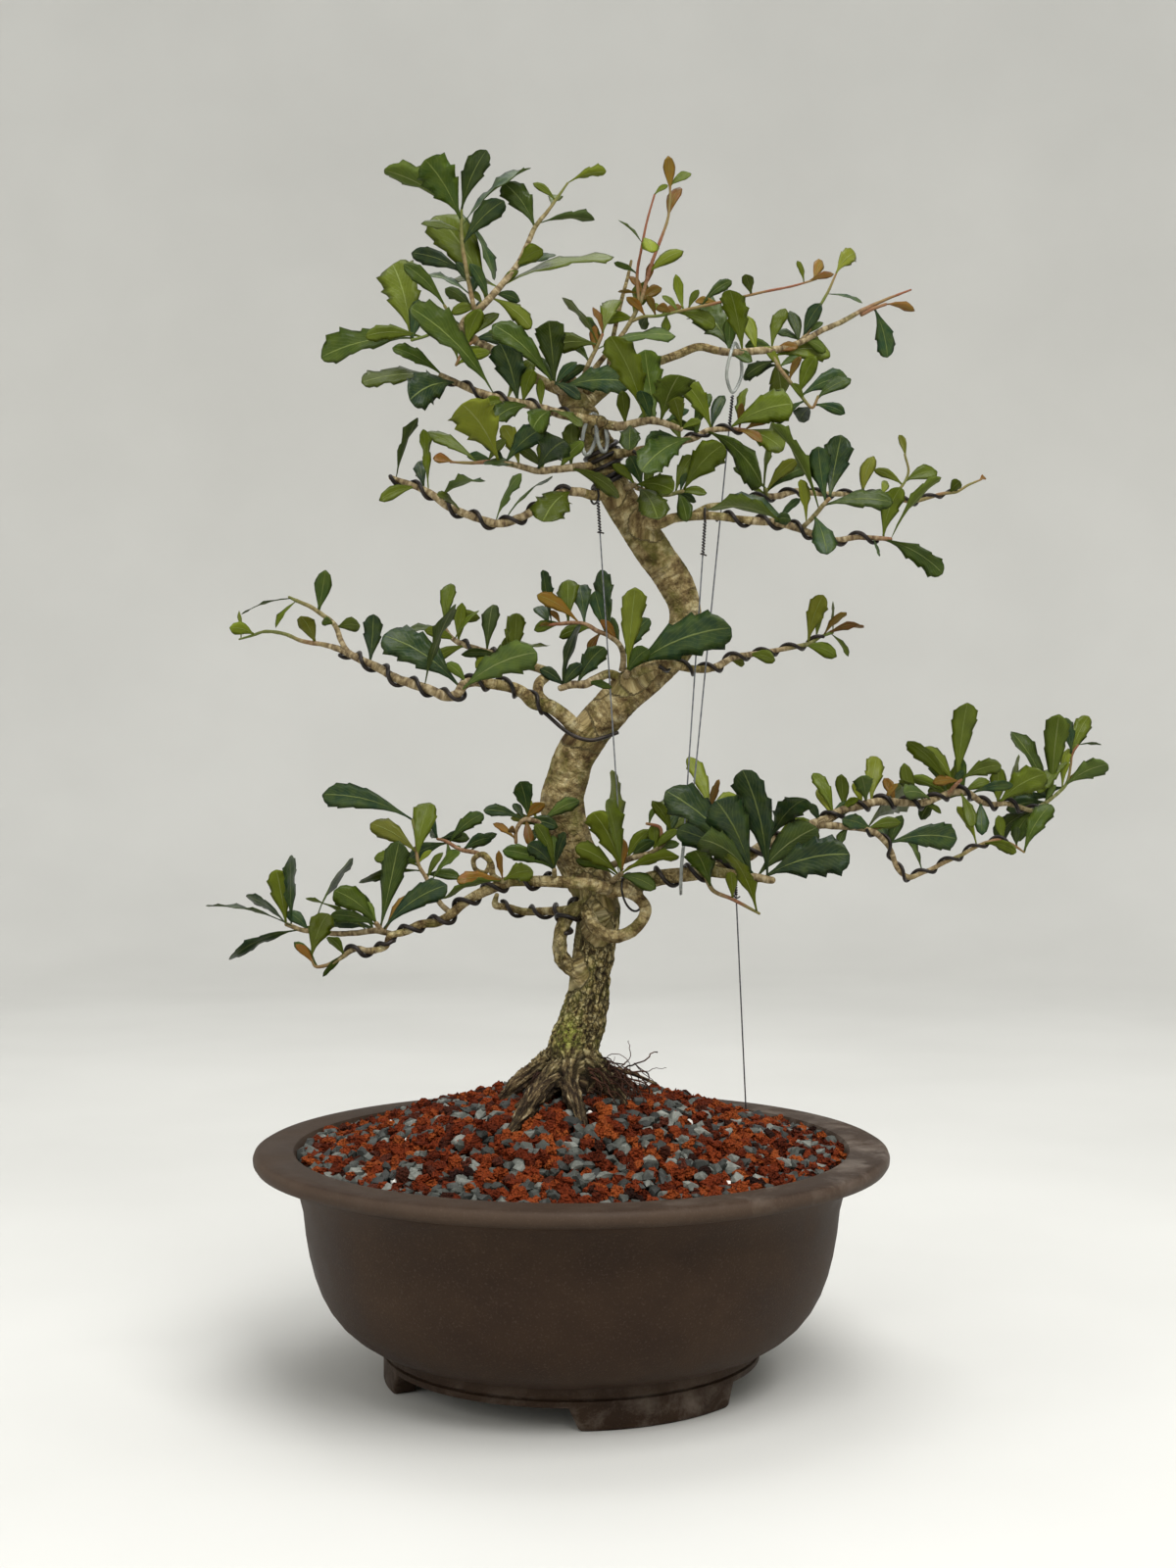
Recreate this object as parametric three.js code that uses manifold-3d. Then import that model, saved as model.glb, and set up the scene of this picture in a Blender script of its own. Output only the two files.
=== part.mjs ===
// A southern live oak bonsai in a round clay pot, with its bending wires.
// Millimetres, +Z up. The tree is described about the pot's axis and moved at the end.
import * as THREE from 'three';
import { mergeVertices } from 'three/addons/utils/BufferGeometryUtils.js';
import Module from 'manifold-3d';

const wasm = await Module();
wasm.setup();

// Driving dimensions
const plantShift = -50;
const potFacets = 24;
const trunkSides = 8;
const rootSides = 5;
const moundTop = 149.5;
const seat = 0.35;
const simplifyBy = 0.2;
const bladeThickness = 0.8;
const stalkHalfWidth = 0.65;
const stalkSpacing = 1.7;
const ringTolerance = 0.4;
const sampleStep = 1.5;
const takeoverGap = 0.3;
const seatStep = 0.2;
const seatReach = 8;
const coilPitch = 17;
const coilStepsPerTurn = 5;
const coilGap = 0.7;
const leafGap = 2.9;
const woodGap = 1.3;
const wireGap = 1;
const leafSampleStep = 2.2;

// The front view is drawn from this point: a place read in that view spreads
// away from it with its depth y.
const eye = { x: 8.53, y: -1133.6, z: 334.1 };

function seen(x, y, z) {
  const spread = 1 - y / eye.y;
  return new THREE.Vector3(eye.x + (x - eye.x) * spread, y, eye.z + (z - eye.z) * spread);
}

const colours = {
  clay: 0x4a3d38,
  gravel: 0x7a4030,
  mesh: 0x2b2c2d,
  bark: 0x8f8468,
  wire: 0x2f2925,
  steel: 0x6d6b66,
  clear: 0xd7dcd6,
  deep: 0x35523a,
  mid: 0x50702f,
  olive: 0x7a8a30,
  pale: 0x93a84a,
  bronze: 0x8a5a3c,
};

// A seeded stream of numbers between 0 and 1
function randomStream(seed) {
  let state = seed;
  return () => {
    state = (state * 16807) % 2147483647;
    return state / 2147483647;
  };
}

// Solids and named pieces
function solidOf(geometry) {
  geometry.deleteAttribute('normal');
  geometry.deleteAttribute('uv');
  const merged = mergeVertices(geometry, 1e-4);
  return new wasm.Manifold(new wasm.Mesh({
    numProp: 3,
    vertProperties: new Float32Array(merged.attributes.position.array),
    triVerts: new Uint32Array(merged.index.array),
  }));
}

function unite(shapes) {
  return shapes.reduce((whole, shape) => whole.add(shape));
}

function geometryOf(shape) {
  const bodies = shape.asOriginal().simplify(simplifyBy).decompose();
  const main = bodies.reduce((best, body) => (body.volume() > best.volume() ? body : best));
  const mesh = main.getMesh();
  const geometry = new THREE.BufferGeometry();
  geometry.setAttribute('position', new THREE.BufferAttribute(new Float32Array(mesh.vertProperties), 3));
  geometry.setIndex(new THREE.BufferAttribute(new Uint32Array(mesh.triVerts), 1));
  return geometry;
}

const plant = new THREE.Group();

function addPiece(name, shape, colour, roughness, metalness = 0) {
  const geometry = geometryOf(shape);
  geometry.translate(plantShift, 0, 0);
  geometry.computeVertexNormals();
  const material = new THREE.MeshStandardMaterial({ color: colours[colour], roughness, metalness });
  const mesh = new THREE.Mesh(geometry, material);
  mesh.name = name;
  plant.add(mesh);
}

// A limb: its fine samples run along a smooth curve through [x, y, z, radius] points
// read in the front view; a knot is the sample at one of those points.
class Limb {
  constructor(points) {
    const places = points.map(([x, y, z]) => seen(x, y, z));
    const curve = new THREE.CatmullRomCurve3(places, false, 'centripetal');
    const spans = points.length - 1;
    this.points = points;
    this.samples = [];
    this.knots = [];
    for (let i = 0; i < spans; i += 1) {
      const parts = Math.max(2, Math.ceil(places[i].distanceTo(places[i + 1]) / sampleStep));
      this.knots.push(this.samples.length);
      for (let j = 0; j < parts; j += 1) {
        const radius = points[i][3] + (points[i + 1][3] - points[i][3]) * (j / parts);
        this.samples.push({ place: curve.getPoint((i + j / parts) / spans), radius });
      }
    }
    this.knots.push(this.samples.length);
    this.samples.push({ place: places[spans].clone(), radius: points[spans][3] });
    this.addFrames();
  }

  // A frame that turns as little as it can along the limb
  addFrames() {
    const last = this.samples.length - 1;
    let normal = new THREE.Vector3(0, -1, 0);
    let reach = 0;
    for (let i = 0; i <= last; i += 1) {
      const sample = this.samples[i];
      const before = this.samples[Math.max(0, i - 1)].place;
      const after = this.samples[Math.min(last, i + 1)].place;
      sample.along = after.clone().sub(before).normalize();
      if (i === 0 && Math.abs(sample.along.y) > 0.9) {
        normal = new THREE.Vector3(1, 0, 0);
      }
      normal = normal.clone().addScaledVector(sample.along, -normal.dot(sample.along)).normalize();
      sample.normal = normal;
      sample.across = new THREE.Vector3().crossVectors(sample.along, normal);
      reach += i === 0 ? 0 : sample.place.distanceTo(before);
      sample.reach = reach;
    }
    this.length = reach;
  }

  // Whether the samples between two of them stay close to a straight taper
  isStraight(from, to) {
    const a = this.samples[from];
    const b = this.samples[to];
    for (let i = from + 1; i < to; i += 1) {
      const share = (this.samples[i].reach - a.reach) / (b.reach - a.reach);
      const off = a.place.clone().lerp(b.place, share).distanceTo(this.samples[i].place);
      const radiusOff = Math.abs(a.radius + (b.radius - a.radius) * share - this.samples[i].radius);
      if (off > ringTolerance + a.radius * 0.05 || radiusOff > 0.3 + a.radius * 0.03) {
        return false;
      }
    }
    return true;
  }

  // The samples that carry a ring: the fewest knots that keep the bends
  ringSamples(first, last) {
    const chosen = [first];
    const inner = [...this.knots.filter((knot) => knot > first + 1 && knot < last - 1), last];
    for (let i = 0; i < inner.length - 1; i += 1) {
      if (!this.isStraight(chosen[chosen.length - 1], inner[i + 1])) {
        chosen.push(inner[i]);
      }
    }
    chosen.push(last);
    return chosen;
  }

  // The tapered tube between two samples
  tube(sides, first, last, swell = 0, startGap = 0) {
    const rings = this.ringSamples(first, last).map((index) => ({ ...this.samples[index], shift: 0 }));
    const steps = rings.length - 1;
    rings[0].shift = startGap - swell;
    rings[steps].shift = swell;
    const geometry = new THREE.CylinderGeometry(1, 1, 1, sides, steps);
    const position = geometry.attributes.position;
    for (let i = 0; i < position.count; i += 1) {
      const ring = rings[Math.round((position.getY(i) + 0.5) * steps)];
      const radius = ring.radius + swell;
      const place = ring.place.clone().addScaledVector(ring.along, ring.shift);
      place.addScaledVector(ring.normal, position.getX(i) * radius);
      place.addScaledVector(ring.across, -position.getZ(i) * radius);
      position.setXYZ(i, place.x, place.y, place.z);
    }
    return solidOf(geometry);
  }

  whole(sides, swell = 0) {
    return this.tube(sides, 0, this.samples.length - 1, swell);
  }

  // Where the limb first passes a sideways place of the front view
  sampleNear(x) {
    let best = 0;
    let least = Infinity;
    for (let i = 0; i < this.samples.length; i += 1) {
      const { place } = this.samples[i];
      const spread = 1 - place.y / eye.y;
      const away = Math.abs(eye.x + (place.x - eye.x) / spread - x);
      if (away < least) {
        least = away;
        best = i;
      }
      if (least < 1 && away > least + 6) {
        break;
      }
    }
    return best;
  }

  // The frame at a length along the limb
  at(reach) {
    let i = 1;
    while (i < this.samples.length - 1 && this.samples[i].reach < reach) {
      i += 1;
    }
    const a = this.samples[i - 1];
    const b = this.samples[i];
    const share = Math.min(1, Math.max(0, (reach - a.reach) / (b.reach - a.reach)));
    return {
      place: a.place.clone().lerp(b.place, share),
      normal: a.normal.clone().lerp(b.normal, share).normalize(),
      across: a.across.clone().lerp(b.across, share).normalize(),
      radius: a.radius + (b.radius - a.radius) * share,
    };
  }
}

// What each piece has to pass: balls in a grid of cells
const cellSize = 8;
const cells = new Map();

function cellKey(x, y, z) {
  return (Math.floor(x / cellSize) * 1009 + Math.floor(y / cellSize)) * 1009 + Math.floor(z / cellSize);
}

function addBall(place, radius, owner, share = 0) {
  const key = cellKey(place.x, place.y, place.z);
  if (!cells.has(key)) {
    cells.set(key, []);
  }
  cells.get(key).push({ place, radius, owner, share });
}

function addLimbBalls(limb, owner, first = 0, last = limb.samples.length - 1) {
  for (let i = first; i <= last; i += 1) {
    addBall(limb.samples[i].place, limb.samples[i].radius, owner);
  }
}

function eachBallNear(place, visit) {
  for (let i = -2; i <= 2; i += 1) {
    for (let j = -2; j <= 2; j += 1) {
      for (let k = -2; k <= 2; k += 1) {
        const key = cellKey(place.x + i * cellSize, place.y + j * cellSize, place.z + k * cellSize);
        const cell = cells.get(key);
        if (cell) {
          cell.forEach(visit);
        }
      }
    }
  }
}

// The pot
const potProfile = [
  [14, 14], [92, 14], [94, 11.5], [98.5, 11.8], [98.5, 15], [96.6, 15.8], [99.6, 17.5], [99.2, 21.5],
  [110, 25], [121.5, 34], [130.5, 48], [136.3, 67], [139.5, 90], [149, 111.5], [161, 112],
  [165, 116.5], [162, 120.9], [144, 120.9], [141, 111], [131.5, 90], [122, 48], [98, 28], [60, 26],
  [14, 26], [14, 14],
];
const footTop = 15;
const footInner = 86;
const footOuter = 98.2;
const footHalfSpan = 29.5;
const footTaper = 0.9;
const footCentres = [28, 148, -92];

function turned(profile) {
  const geometry = new THREE.LatheGeometry(profile.map(([r, z]) => new THREE.Vector2(r, z)), potFacets);
  geometry.rotateX(Math.PI / 2);
  return geometry;
}

function foot(centre) {
  const half = THREE.MathUtils.degToRad(footHalfSpan);
  const outline = new THREE.Shape();
  outline.absarc(0, 0, footOuter, -half, half, false);
  outline.absarc(0, 0, footInner, half, -half, true);
  const geometry = new THREE.ExtrudeGeometry(outline, { depth: footTop, bevelEnabled: false, curveSegments: 3 });
  const position = geometry.attributes.position;
  const turn = THREE.MathUtils.degToRad(centre - 90);
  for (let i = 0; i < position.count; i += 1) {
    const x = position.getX(i);
    const y = position.getY(i);
    const z = position.getZ(i);
    const narrow = z < 1 ? footTaper : 1;
    const angle = Math.atan2(y, x) * narrow + turn;
    const radius = Math.hypot(x, y);
    position.setXYZ(i, radius * Math.cos(angle), radius * Math.sin(angle), z);
  }
  return solidOf(geometry);
}

function buildPot() {
  return unite([solidOf(turned(potProfile)), ...footCentres.map(foot)]);
}

// The screen over the drainage hole
const screenSide = 46;
const screenBottom = 26.3;
const screenThickness = 1.2;
const screenHole = 5;
const screenPitch = 8;

function plate(width, depth, height, x, y, bottom) {
  const geometry = new THREE.BoxGeometry(width, depth, height);
  geometry.translate(x, y, bottom + height / 2);
  return solidOf(geometry);
}

function buildScreen() {
  let screen = plate(screenSide, screenSide, screenThickness, 0, 0, screenBottom);
  for (const x of [-screenPitch, 0, screenPitch]) {
    for (const y of [-screenPitch, 0, screenPitch]) {
      screen = screen.subtract(plate(screenHole, screenHole, 3 * screenThickness, x, y, screenBottom - screenThickness));
    }
  }
  return screen;
}

// The soil: a mound with a pebbly relief, filled to just under the rim
const soilProfile = [
  [0, 27.9], [97.4, 28.4], [121.4, 48.3], [130.9, 90.2], [140.4, 111.1], [142.3, 117.4], [124, 122],
  [106, 127.5], [88, 134.3], [70, 139.7], [52, 144.2], [34, 147.2], [17, 148.8], [0, moundTop],
];
const reliefStart = 119;
const reliefEdge = 139;
const reliefDepth = 2.3;

function buildSoil(cuts) {
  const geometry = turned(soilProfile);
  const position = geometry.attributes.position;
  for (let i = 0; i < position.count; i += 1) {
    const x = position.getX(i);
    const y = position.getY(i);
    const z = position.getZ(i);
    const radius = Math.hypot(x, y);
    if (z > reliefStart && radius < reliefEdge && radius > 1) {
      const angle = Math.atan2(y, x);
      const relief = Math.sin(5 * angle + radius * 1.3) * Math.cos(11 * angle - radius * 0.7);
      position.setZ(i, z + reliefDepth * relief);
    }
  }
  return cuts.reduce((soil, cut) => soil.subtract(cut), solidOf(geometry));
}

// The trunk with its surface roots
const trunkPoints = [
  [6, 0, 100, 17], [3, 0, 128, 19], [1, 0, 150, 17], [1, 0, 160, 15.5], [1, 0, 170, 13.8],
  [4, 0, 180, 12.8], [7, 0, 190, 11.8], [9, 0, 200, 11.2], [10, 0, 212, 10.8], [12, 0, 225, 11],
  [14, 0, 238, 11.5], [12, 1, 252, 11.8], [6, 2, 264, 11.8], [0, 2, 276, 11.8], [-3, 2, 288, 11.5],
  [-5, 1, 300, 11.5], [-2, 0, 312, 11], [1, -1, 322, 10.8], [7, -2, 332, 10.5], [15, -3, 342, 10.5],
  [24, -4, 352, 10.2], [34, -4, 361, 10], [46, -3, 371, 9.6], [56, -1, 382, 9.2], [59, 0, 394, 8.6],
  [58, 1, 404, 8.6], [52, 2, 416, 9.4], [44, 2, 428, 9.6], [36, 2, 440, 9.4], [28, 2, 452, 9.2],
  [21, 1, 464, 8.8], [17, 0, 476, 8.2], [14, -1, 486, 7.6], [8, -1, 497, 7.4], [1, 0, 508, 7.4],
  [-2, 0, 516, 6.4], [-3, 0, 521, 4],
];

const rootPoints = [
  [[-4, -6, 162, 7], [-13, -22, 151, 6.5], [-20, -38, 143, 5.5], [-27, -54, 133, 4], [-33, -66, 126, 2.5]],
  [[-1, -8, 162, 6], [-1, -22, 152, 5.2], [1, -36, 143, 5], [4, -48, 136, 4.2], [6, -58, 126, 3]],
  [[-8, 0, 166, 7], [-18, -4, 159, 6], [-27, -8, 152, 5], [-36, -12, 144, 3.5]],
  [[-6, 8, 164, 7], [-20, 24, 155, 5], [-32, 40, 146, 3.5]],
  [[-7, -20, 156, 2], [-14, -28, 152, 1.8], [-22, -36, 146, 1.5], [-29, -44, 140, 1.2]],
  [[10, -4, 164, 7], [17, -10, 156, 5.5], [22, -16, 148, 4.5], [28, -24, 140, 3]],
  [[8, 8, 164, 7], [20, 18, 156, 5], [32, 30, 149, 3.5], [42, 40, 142, 2.5]],
  [[0, 10, 164, 7], [-2, 26, 154, 5.5], [-4, 44, 144, 3.5]],
  [[8, 0, 168, 1.6], [22, -2, 160, 1.2], [32, 0, 157, 1], [44, 4, 152, 0.8]],
];

// Bare wood above the soil: curls, loops, the stub, and the wired bare branch
const bareWood = {
  curl: [
    [8, -8, 243, 4.2], [10, -14, 237, 3.8], [15, -17, 231.5, 3.6], [22, -18, 229, 3.5], [30, -18, 231, 3.4],
    [36, -17, 236.5, 3.3], [38.5, -16, 244, 3.2], [34, -16, 250, 3.2], [27, -15, 253, 3.2], [20, -12, 252, 3.2],
  ],
  leftLoop: [
    [6, -6, 245, 4.2], [0, -9, 242, 4], [-4, -10, 236, 3.8], [-6, -10, 228, 3.8], [-5.5, -8, 220, 4],
    [-2, -5, 214, 4], [3, -2, 210, 3.5],
  ],
  stub: [[14, -1, 491, 4], [15, -2, 494, 3.5], [15, -12, 497, 3.4]],
  backLow: [
    [6, 8, 246, 3.2], [0, 26, 243, 2.8], [-9, 42, 242.5, 2.5], [-18, 50, 242, 2.3], [-26, 54, 242.2, 2.2],
    [-34, 57, 244.5, 2.1], [-40, 58, 245.5, 2], [-39, 58, 251, 1.4],
  ],
  whip: [[-2, 1, 510, 1.8], [16, 3, 516, 1.6], [21, 6, 538, 1.3], [25, 8, 556, 1.1], [29, 10, 571, 0.9], [31, 11, 580, 0.7]],
};

// Leafy branches. The first stem is the branch itself: up to its takeover knot it
// belongs to the trunk, and a branch with takeover 0 stands clear of the wood.
// A leaf is [base x, base z, tip x, tip z, width seen, tint].
const leafyBranches = [
  {
    name: 'leafy_top_left', colour: 'mid', lean: 0, takeover: 4,
    stems: [
      [
        [-2, 0, 512, 3.2], [-10, -1, 515, 3], [-18, -2, 519, 2.8], [-27, -3, 525, 2.6], [-38, -5, 532, 2.5],
        [-47, -6, 537, 2.4], [-53, -7, 541, 2.3], [-57, -8, 544, 2.3], [-55, -9, 549, 2.2], [-49, -10, 554, 2.1],
        [-42, -10, 561, 2], [-35, -9, 569, 1.8], [-28, -7, 578, 1.6], [-23, -5, 588, 1.5], [-19, -3, 597, 1.3],
        [-12, 0, 606, 1], [-7, 3, 613, 0.8], [-2, 5, 620, 0.6],
      ],
      [[-50, -10, 553, 1.4], [-52, -12, 562, 1.2], [-55, -13, 578, 1.1], [-57, -13, 592, 1], [-57, -12, 606, 0.8]],
      [[-57, -8, 543, 1.3], [-60, -9, 547, 1.1], [-63, -10, 552, 1], [-66, -11, 557, 0.8]],
      [[-60, -9, 547, 0.9], [-69, -11, 544, 0.8], [-76, -13, 541, 0.8], [-83, -15, 539, 0.8]],
      [[-50, -7, 539, 0.9], [-56, -10, 534, 0.8], [-60, -11, 526, 0.7]],
    ],
    leaves: [
      [-57, 607, -44, 637, 11, 1], [-60, 600, -76, 632, 19, 1], [-60, 602, -97, 627, 5, 1], [-54, 600, -21, 628, 5, 0],
      [-52, 588, -35, 611, 12, 0], [-58, 605, -40, 570, 5, 0], [-58, 596, -78, 599, 5, 2], [-53, 562, -74, 573, 4, 0],
      [-56, 572, -83, 584, 8, 0], [-47, 561, -71, 603, 20, 2], [-65, 556, -87, 578, 9, 1], [-84, 541, -93, 578, 19, 2],
      [-84, 539, -130, 530, 12, 1], [-84, 540, -107, 541, 8, 2], [-83, 541, -79, 560, 8, 0], [-38, 566, 22, 582, 12, 2],
      [-41, 560, -21, 545, 9, 2], [-60, 524, -42, 533, 6, 2], [-57, 531, -56, 541, 5, 2], [-62, 530, -66, 543, 4, 2],
      [-21, 598, -35, 620, 12, 1], [-17, 597, 12, 601, 2, 0], [-9, 611, -20, 620, 4, 2], [-8, 607, -7, 614, 7, 2],
      [0, 620, 18, 626, 3, 2], [-28, 576, -15, 586, 9, 2], [-26, 573, -8, 583, 5, 0],
    ],
  },
  {
    name: 'leafy_left', colour: 'mid', lean: -1, takeover: 2,
    stems: [
      [
        [16, -11, 497, 3], [6, -12, 498.5, 2.6], [-6, -12, 501, 2.4], [-20, -14, 505, 2.2], [-32, -16, 507.5, 2.1],
        [-45, -18, 511, 2], [-57, -19, 515.7, 1.8], [-68, -20, 521, 1.4],
      ],
    ],
    leaves: [
      [-67, 519, -93, 535, 8, 1], [-66, 519, -109, 517, 8, 2], [-60, 516, -84, 508, 17, 0], [-36, 504, -84, 556, 11, 1],
      [-29, 504, -37, 537, 15, 0], [-34, 505, -46, 505, 6, 2], [-26, 506, -20, 524, 8, 2], [-10, 504, -20, 493, 13, 1],
      [-22, 503, -40, 498, 10, 1], [-12, 498, 5, 494, 5, 2],
    ],
  },
  {
    name: 'leafy_centre_top', colour: 'mid', lean: -1, takeover: 0,
    stems: [[[-3, -4, 511, 1.6], [-8, -11, 514, 1.5], [-10, -14, 517, 1.2]]],
    leaves: [
      [-11, 517, -41, 547, 13, 1], [-9, 517, -12, 549, 15, 1], [-7, 517, 7, 526, 5, 0], [-6, 514, 31, 517, 14, 0],
    ],
  },
  {
    name: 'leafy_centre_back', colour: 'olive', lean: 1, takeover: 0,
    stems: [[[4, -6, 512, 1.6], [8, -12, 525, 1.3], [13, -15, 535, 1], [16, -16, 542, 0.8]]],
    leaves: [
      [9, 527, -5, 541, 6, 1], [14, 536, -5, 561, 5, 2], [15, 541, 5, 550, 4, 1], [16, 542, 11, 556, 3, 4],
      [18, 543, 22, 560, 9, 2], [17, 535, 54, 541, 7, 0],
    ],
  },
  {
    name: 'leafy_red_tips', colour: 'bronze', lean: 0, takeover: 3,
    stems: [
      [
        [6, -2, 512, 2], [12, -5, 524, 1.6], [20, -6, 534, 1.4], [27, -6, 543, 1.2], [35, -5, 557, 1.1],
        [39, -3, 570, 1], [42, -2, 580, 0.9], [47, 0, 593, 0.8], [50, 2, 602, 0.7], [51, 3, 612, 0.6],
        [51, 4, 620, 0.5],
      ],
      [[35, -5, 557, 0.9], [34, -4, 573, 0.8], [36, -3, 585, 0.7], [39, -2, 600, 0.6], [43, 0, 614, 0.5]],
      [
        [30.5, -5.6, 548.5, 1], [37, -6, 551, 0.9], [45, -7, 551.5, 0.8], [58, -8, 554.5, 0.8], [70, -8, 557, 0.8],
        [85, -7, 560.5, 0.7], [100, -5, 564, 0.7], [115, -3, 567, 0.6], [127, -1, 570.5, 0.5],
      ],
    ],
    leaves: [
      [52, 616, 50, 634, 6, 4], [53, 617, 62, 625, 5, 2], [51, 602, 56, 618, 6, 4], [43, 614, 50, 619, 3, 2],
      [37, 592, 42, 584, 8, 2], [35, 591, 24, 601, 2, 1], [41, 573, 58, 585, 7, 2], [33, 573, 22, 579, 2.5, 1],
      [38, 571, 34, 557, 9, 2], [33, 563, 24, 564, 2, 4], [126, 570, 130, 580, 6, 4], [127, 571, 136, 573, 4, 4],
      [120, 568, 117, 580, 2.5, 2], [93, 562, 90, 573, 6, 2], [76, 558, 64, 559, 4, 4], [57, 556, 54, 573, 5, 2],
      [58, 556, 66, 565, 4, 2], [56, 556, 47, 562, 3.5, 2], [56, 555, 44, 556, 5, 4], [55, 553, 49, 543, 5, 2],
      [40, 553, 36, 545, 7, 0],
    ],
  },
  {
    name: 'leafy_pale_top', colour: 'olive', lean: 1, takeover: 7,
    stems: [
      [
        [8, 4, 506, 4], [17, 4, 514, 3.6], [24, 3, 519, 3.2], [31, 2, 524, 2.8], [45, 0, 528, 2.4],
        [55, 0, 531.5, 2.3], [66, 0, 535.5, 2.2], [76, 1, 533.5, 2.1], [86, 2, 532.5, 2.1], [97, 4, 533.5, 2],
        [108, 7, 534.5, 1.8], [119, 10, 538, 1.6], [130, 14, 544, 1.5], [140, 18, 548.5, 1.4], [150, 22, 554, 1.2],
        [163, 28, 560, 0.8], [176, 34, 565, 0.5],
      ],
      [[118, 10, 537.5, 1.2], [124, 13, 545, 1], [128, 16, 555, 0.9], [133, 19, 564, 0.8], [137, 22, 573, 0.6]],
      [[150, 22, 552, 1.1], [157, 24, 555.5, 1], [163, 26, 557.5, 0.8]],
      [
        [104, 6, 533, 1.2], [107, 5, 526, 1.1], [113, 5, 518, 1], [120, 5, 509, 0.9], [125, 4, 504, 0.8],
        [128, 4, 510, 0.7],
      ],
    ],
    leaves: [
      [163, 557, 178, 554, 3.5, 4], [157, 554, 164, 530, 11, 0], [137, 574, 147, 584, 9, 3], [133, 562, 151, 558, 2.5, 0],
      [87, 535, 82, 565, 12, 2], [85, 534, 64, 556, 18, 1], [104, 530, 134, 533, 14, 2], [103, 529, 109, 510, 13, 2],
      [102, 527, 89, 520, 9, 0], [105, 535, 90, 536, 7, 1], [122, 512, 143, 520, 10, 0], [128, 509, 145, 519, 8, 1],
      [127, 507, 142, 501, 5.5, 0], [124, 504, 118, 497, 9, 0],
    ],
  },
  {
    name: 'leafy_right_fan', colour: 'deep', lean: -1, takeover: 1,
    stems: [
      [
        [15, -8, 496, 2.8], [24, -12, 494.5, 2.4], [33, -14, 496, 2.2], [41, -18, 497.5, 2], [50, -20, 495.5, 1.7],
        [57, -21, 493, 1.3],
      ],
    ],
    leaves: [
      [38, 500, 20, 541, 15, 2], [44, 500, 38, 534, 14, 1], [45, 500, 56, 521, 16, 1], [46, 502, 61, 503, 4, 0],
      [39, 502, 36, 513, 7, 0], [57, 493, 53, 509, 9, 2], [24, 498, 26, 513, 7, 2], [24, 494, 30, 482, 10, 1],
    ],
  },
  {
    name: 'leafy_right', colour: 'olive', lean: -1, takeover: 2,
    stems: [
      [
        [20, -5, 480, 2.8], [30, -9, 481, 2.4], [41, -12, 483, 2.2], [50, -14, 484.5, 2], [58, -15, 487, 1.9],
        [65, -15, 489, 1.7], [70, -15, 492, 1.6], [80, -14, 493, 1.3], [90, -12, 492.5, 1],
      ],
    ],
    leaves: [
      [82, 495, 115, 506, 17, 2], [88, 494, 110, 482, 12, 2], [88, 492, 99, 486, 5, 4], [70, 491, 99, 464, 9, 1],
      [68, 490, 48, 497, 5, 1], [70, 494, 58, 518, 11, 2], [58, 489, 38, 485, 9, 0], [64, 487, 36, 471, 15, 1],
      [66, 491, 58, 495, 5, 1],
    ],
  },
  {
    name: 'leafy_right_trunk', colour: 'olive', lean: -1, takeover: 0,
    stems: [
      [[26, -4, 462, 1.8], [33, -9, 464, 1.5]],
      [[33, -9, 463, 1.3], [42, -9, 460, 1.2], [50, -9, 459, 1.1], [58, -10, 461, 1]],
    ],
    leaves: [
      [33, 464, 53, 461, 12, 2], [34, 463, 45, 446, 14, 2], [33, 465, 30, 479, 9, 0], [58, 461, 79, 485, 15, 2],
      [60, 460, 60, 445, 8, 1],
    ],
  },
  {
    name: 'leafy_drop_fork', colour: 'pale', lean: 1, takeover: 3,
    stems: [
      [
        [64, -12, 449, 2], [71, -4, 452.5, 1.9], [78, 3, 453.5, 1.8], [85, 7, 455, 1.8], [100, 10, 458, 1.7],
        [108, 12, 458.5, 1.7], [116, 14, 461, 1.6], [124, 17, 460, 1.5], [137, 22, 459.3, 1.4], [150, 28, 459.5, 1.3],
        [165, 34, 458, 1.2], [176, 38, 455.5, 1.1], [184, 42, 457, 1], [192, 46, 459.5, 0.9], [200, 49, 460.5, 0.8],
        [206, 52, 464, 0.7], [213, 55, 467, 0.5],
      ],
      [[101, 10, 458, 1.1], [101, 7, 462, 1]],
      [[165, 34, 458, 0.9], [172, 37, 464, 0.8], [175, 39, 471, 0.7], [173, 40, 480, 0.6]],
    ],
    leaves: [
      [101, 462, 84, 473, 6, 1], [102, 463, 124, 474, 8, 1], [100, 463, 104, 497, 4, 1], [152, 463, 157, 479, 7, 3],
      [171, 465, 157, 472, 5, 3], [173, 464, 190, 471, 8, 2], [173, 479, 170, 490, 4, 3], [161, 460, 164, 466, 5, 3],
      [197, 460, 202, 466, 6, 2], [212, 467, 215, 468, 3, 4],
    ],
  },
  {
    name: 'leafy_drop_right', colour: 'deep', lean: -1, takeover: 6,
    stems: [
      [
        [38, -4, 444, 4], [46, -10, 444.5, 3.2], [53, -12, 447, 2.6], [65, -14, 448, 2.4], [75, -15, 448, 2.2],
        [85, -17, 446.5, 2.1], [95, -18, 445.5, 2.1], [107, -20, 444.5, 2], [118, -21, 441.5, 1.9],
        [127, -21, 438, 1.7], [137, -20, 435.5, 1.5], [148, -19, 437, 1.4], [158, -18, 436.5, 1.3], [166, -18, 436, 1],
      ],
      [[119, -21, 441, 1.4], [126, -26, 448, 1.3], [131, -29, 454, 1.2], [134, -30, 457, 1]],
    ],
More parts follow.
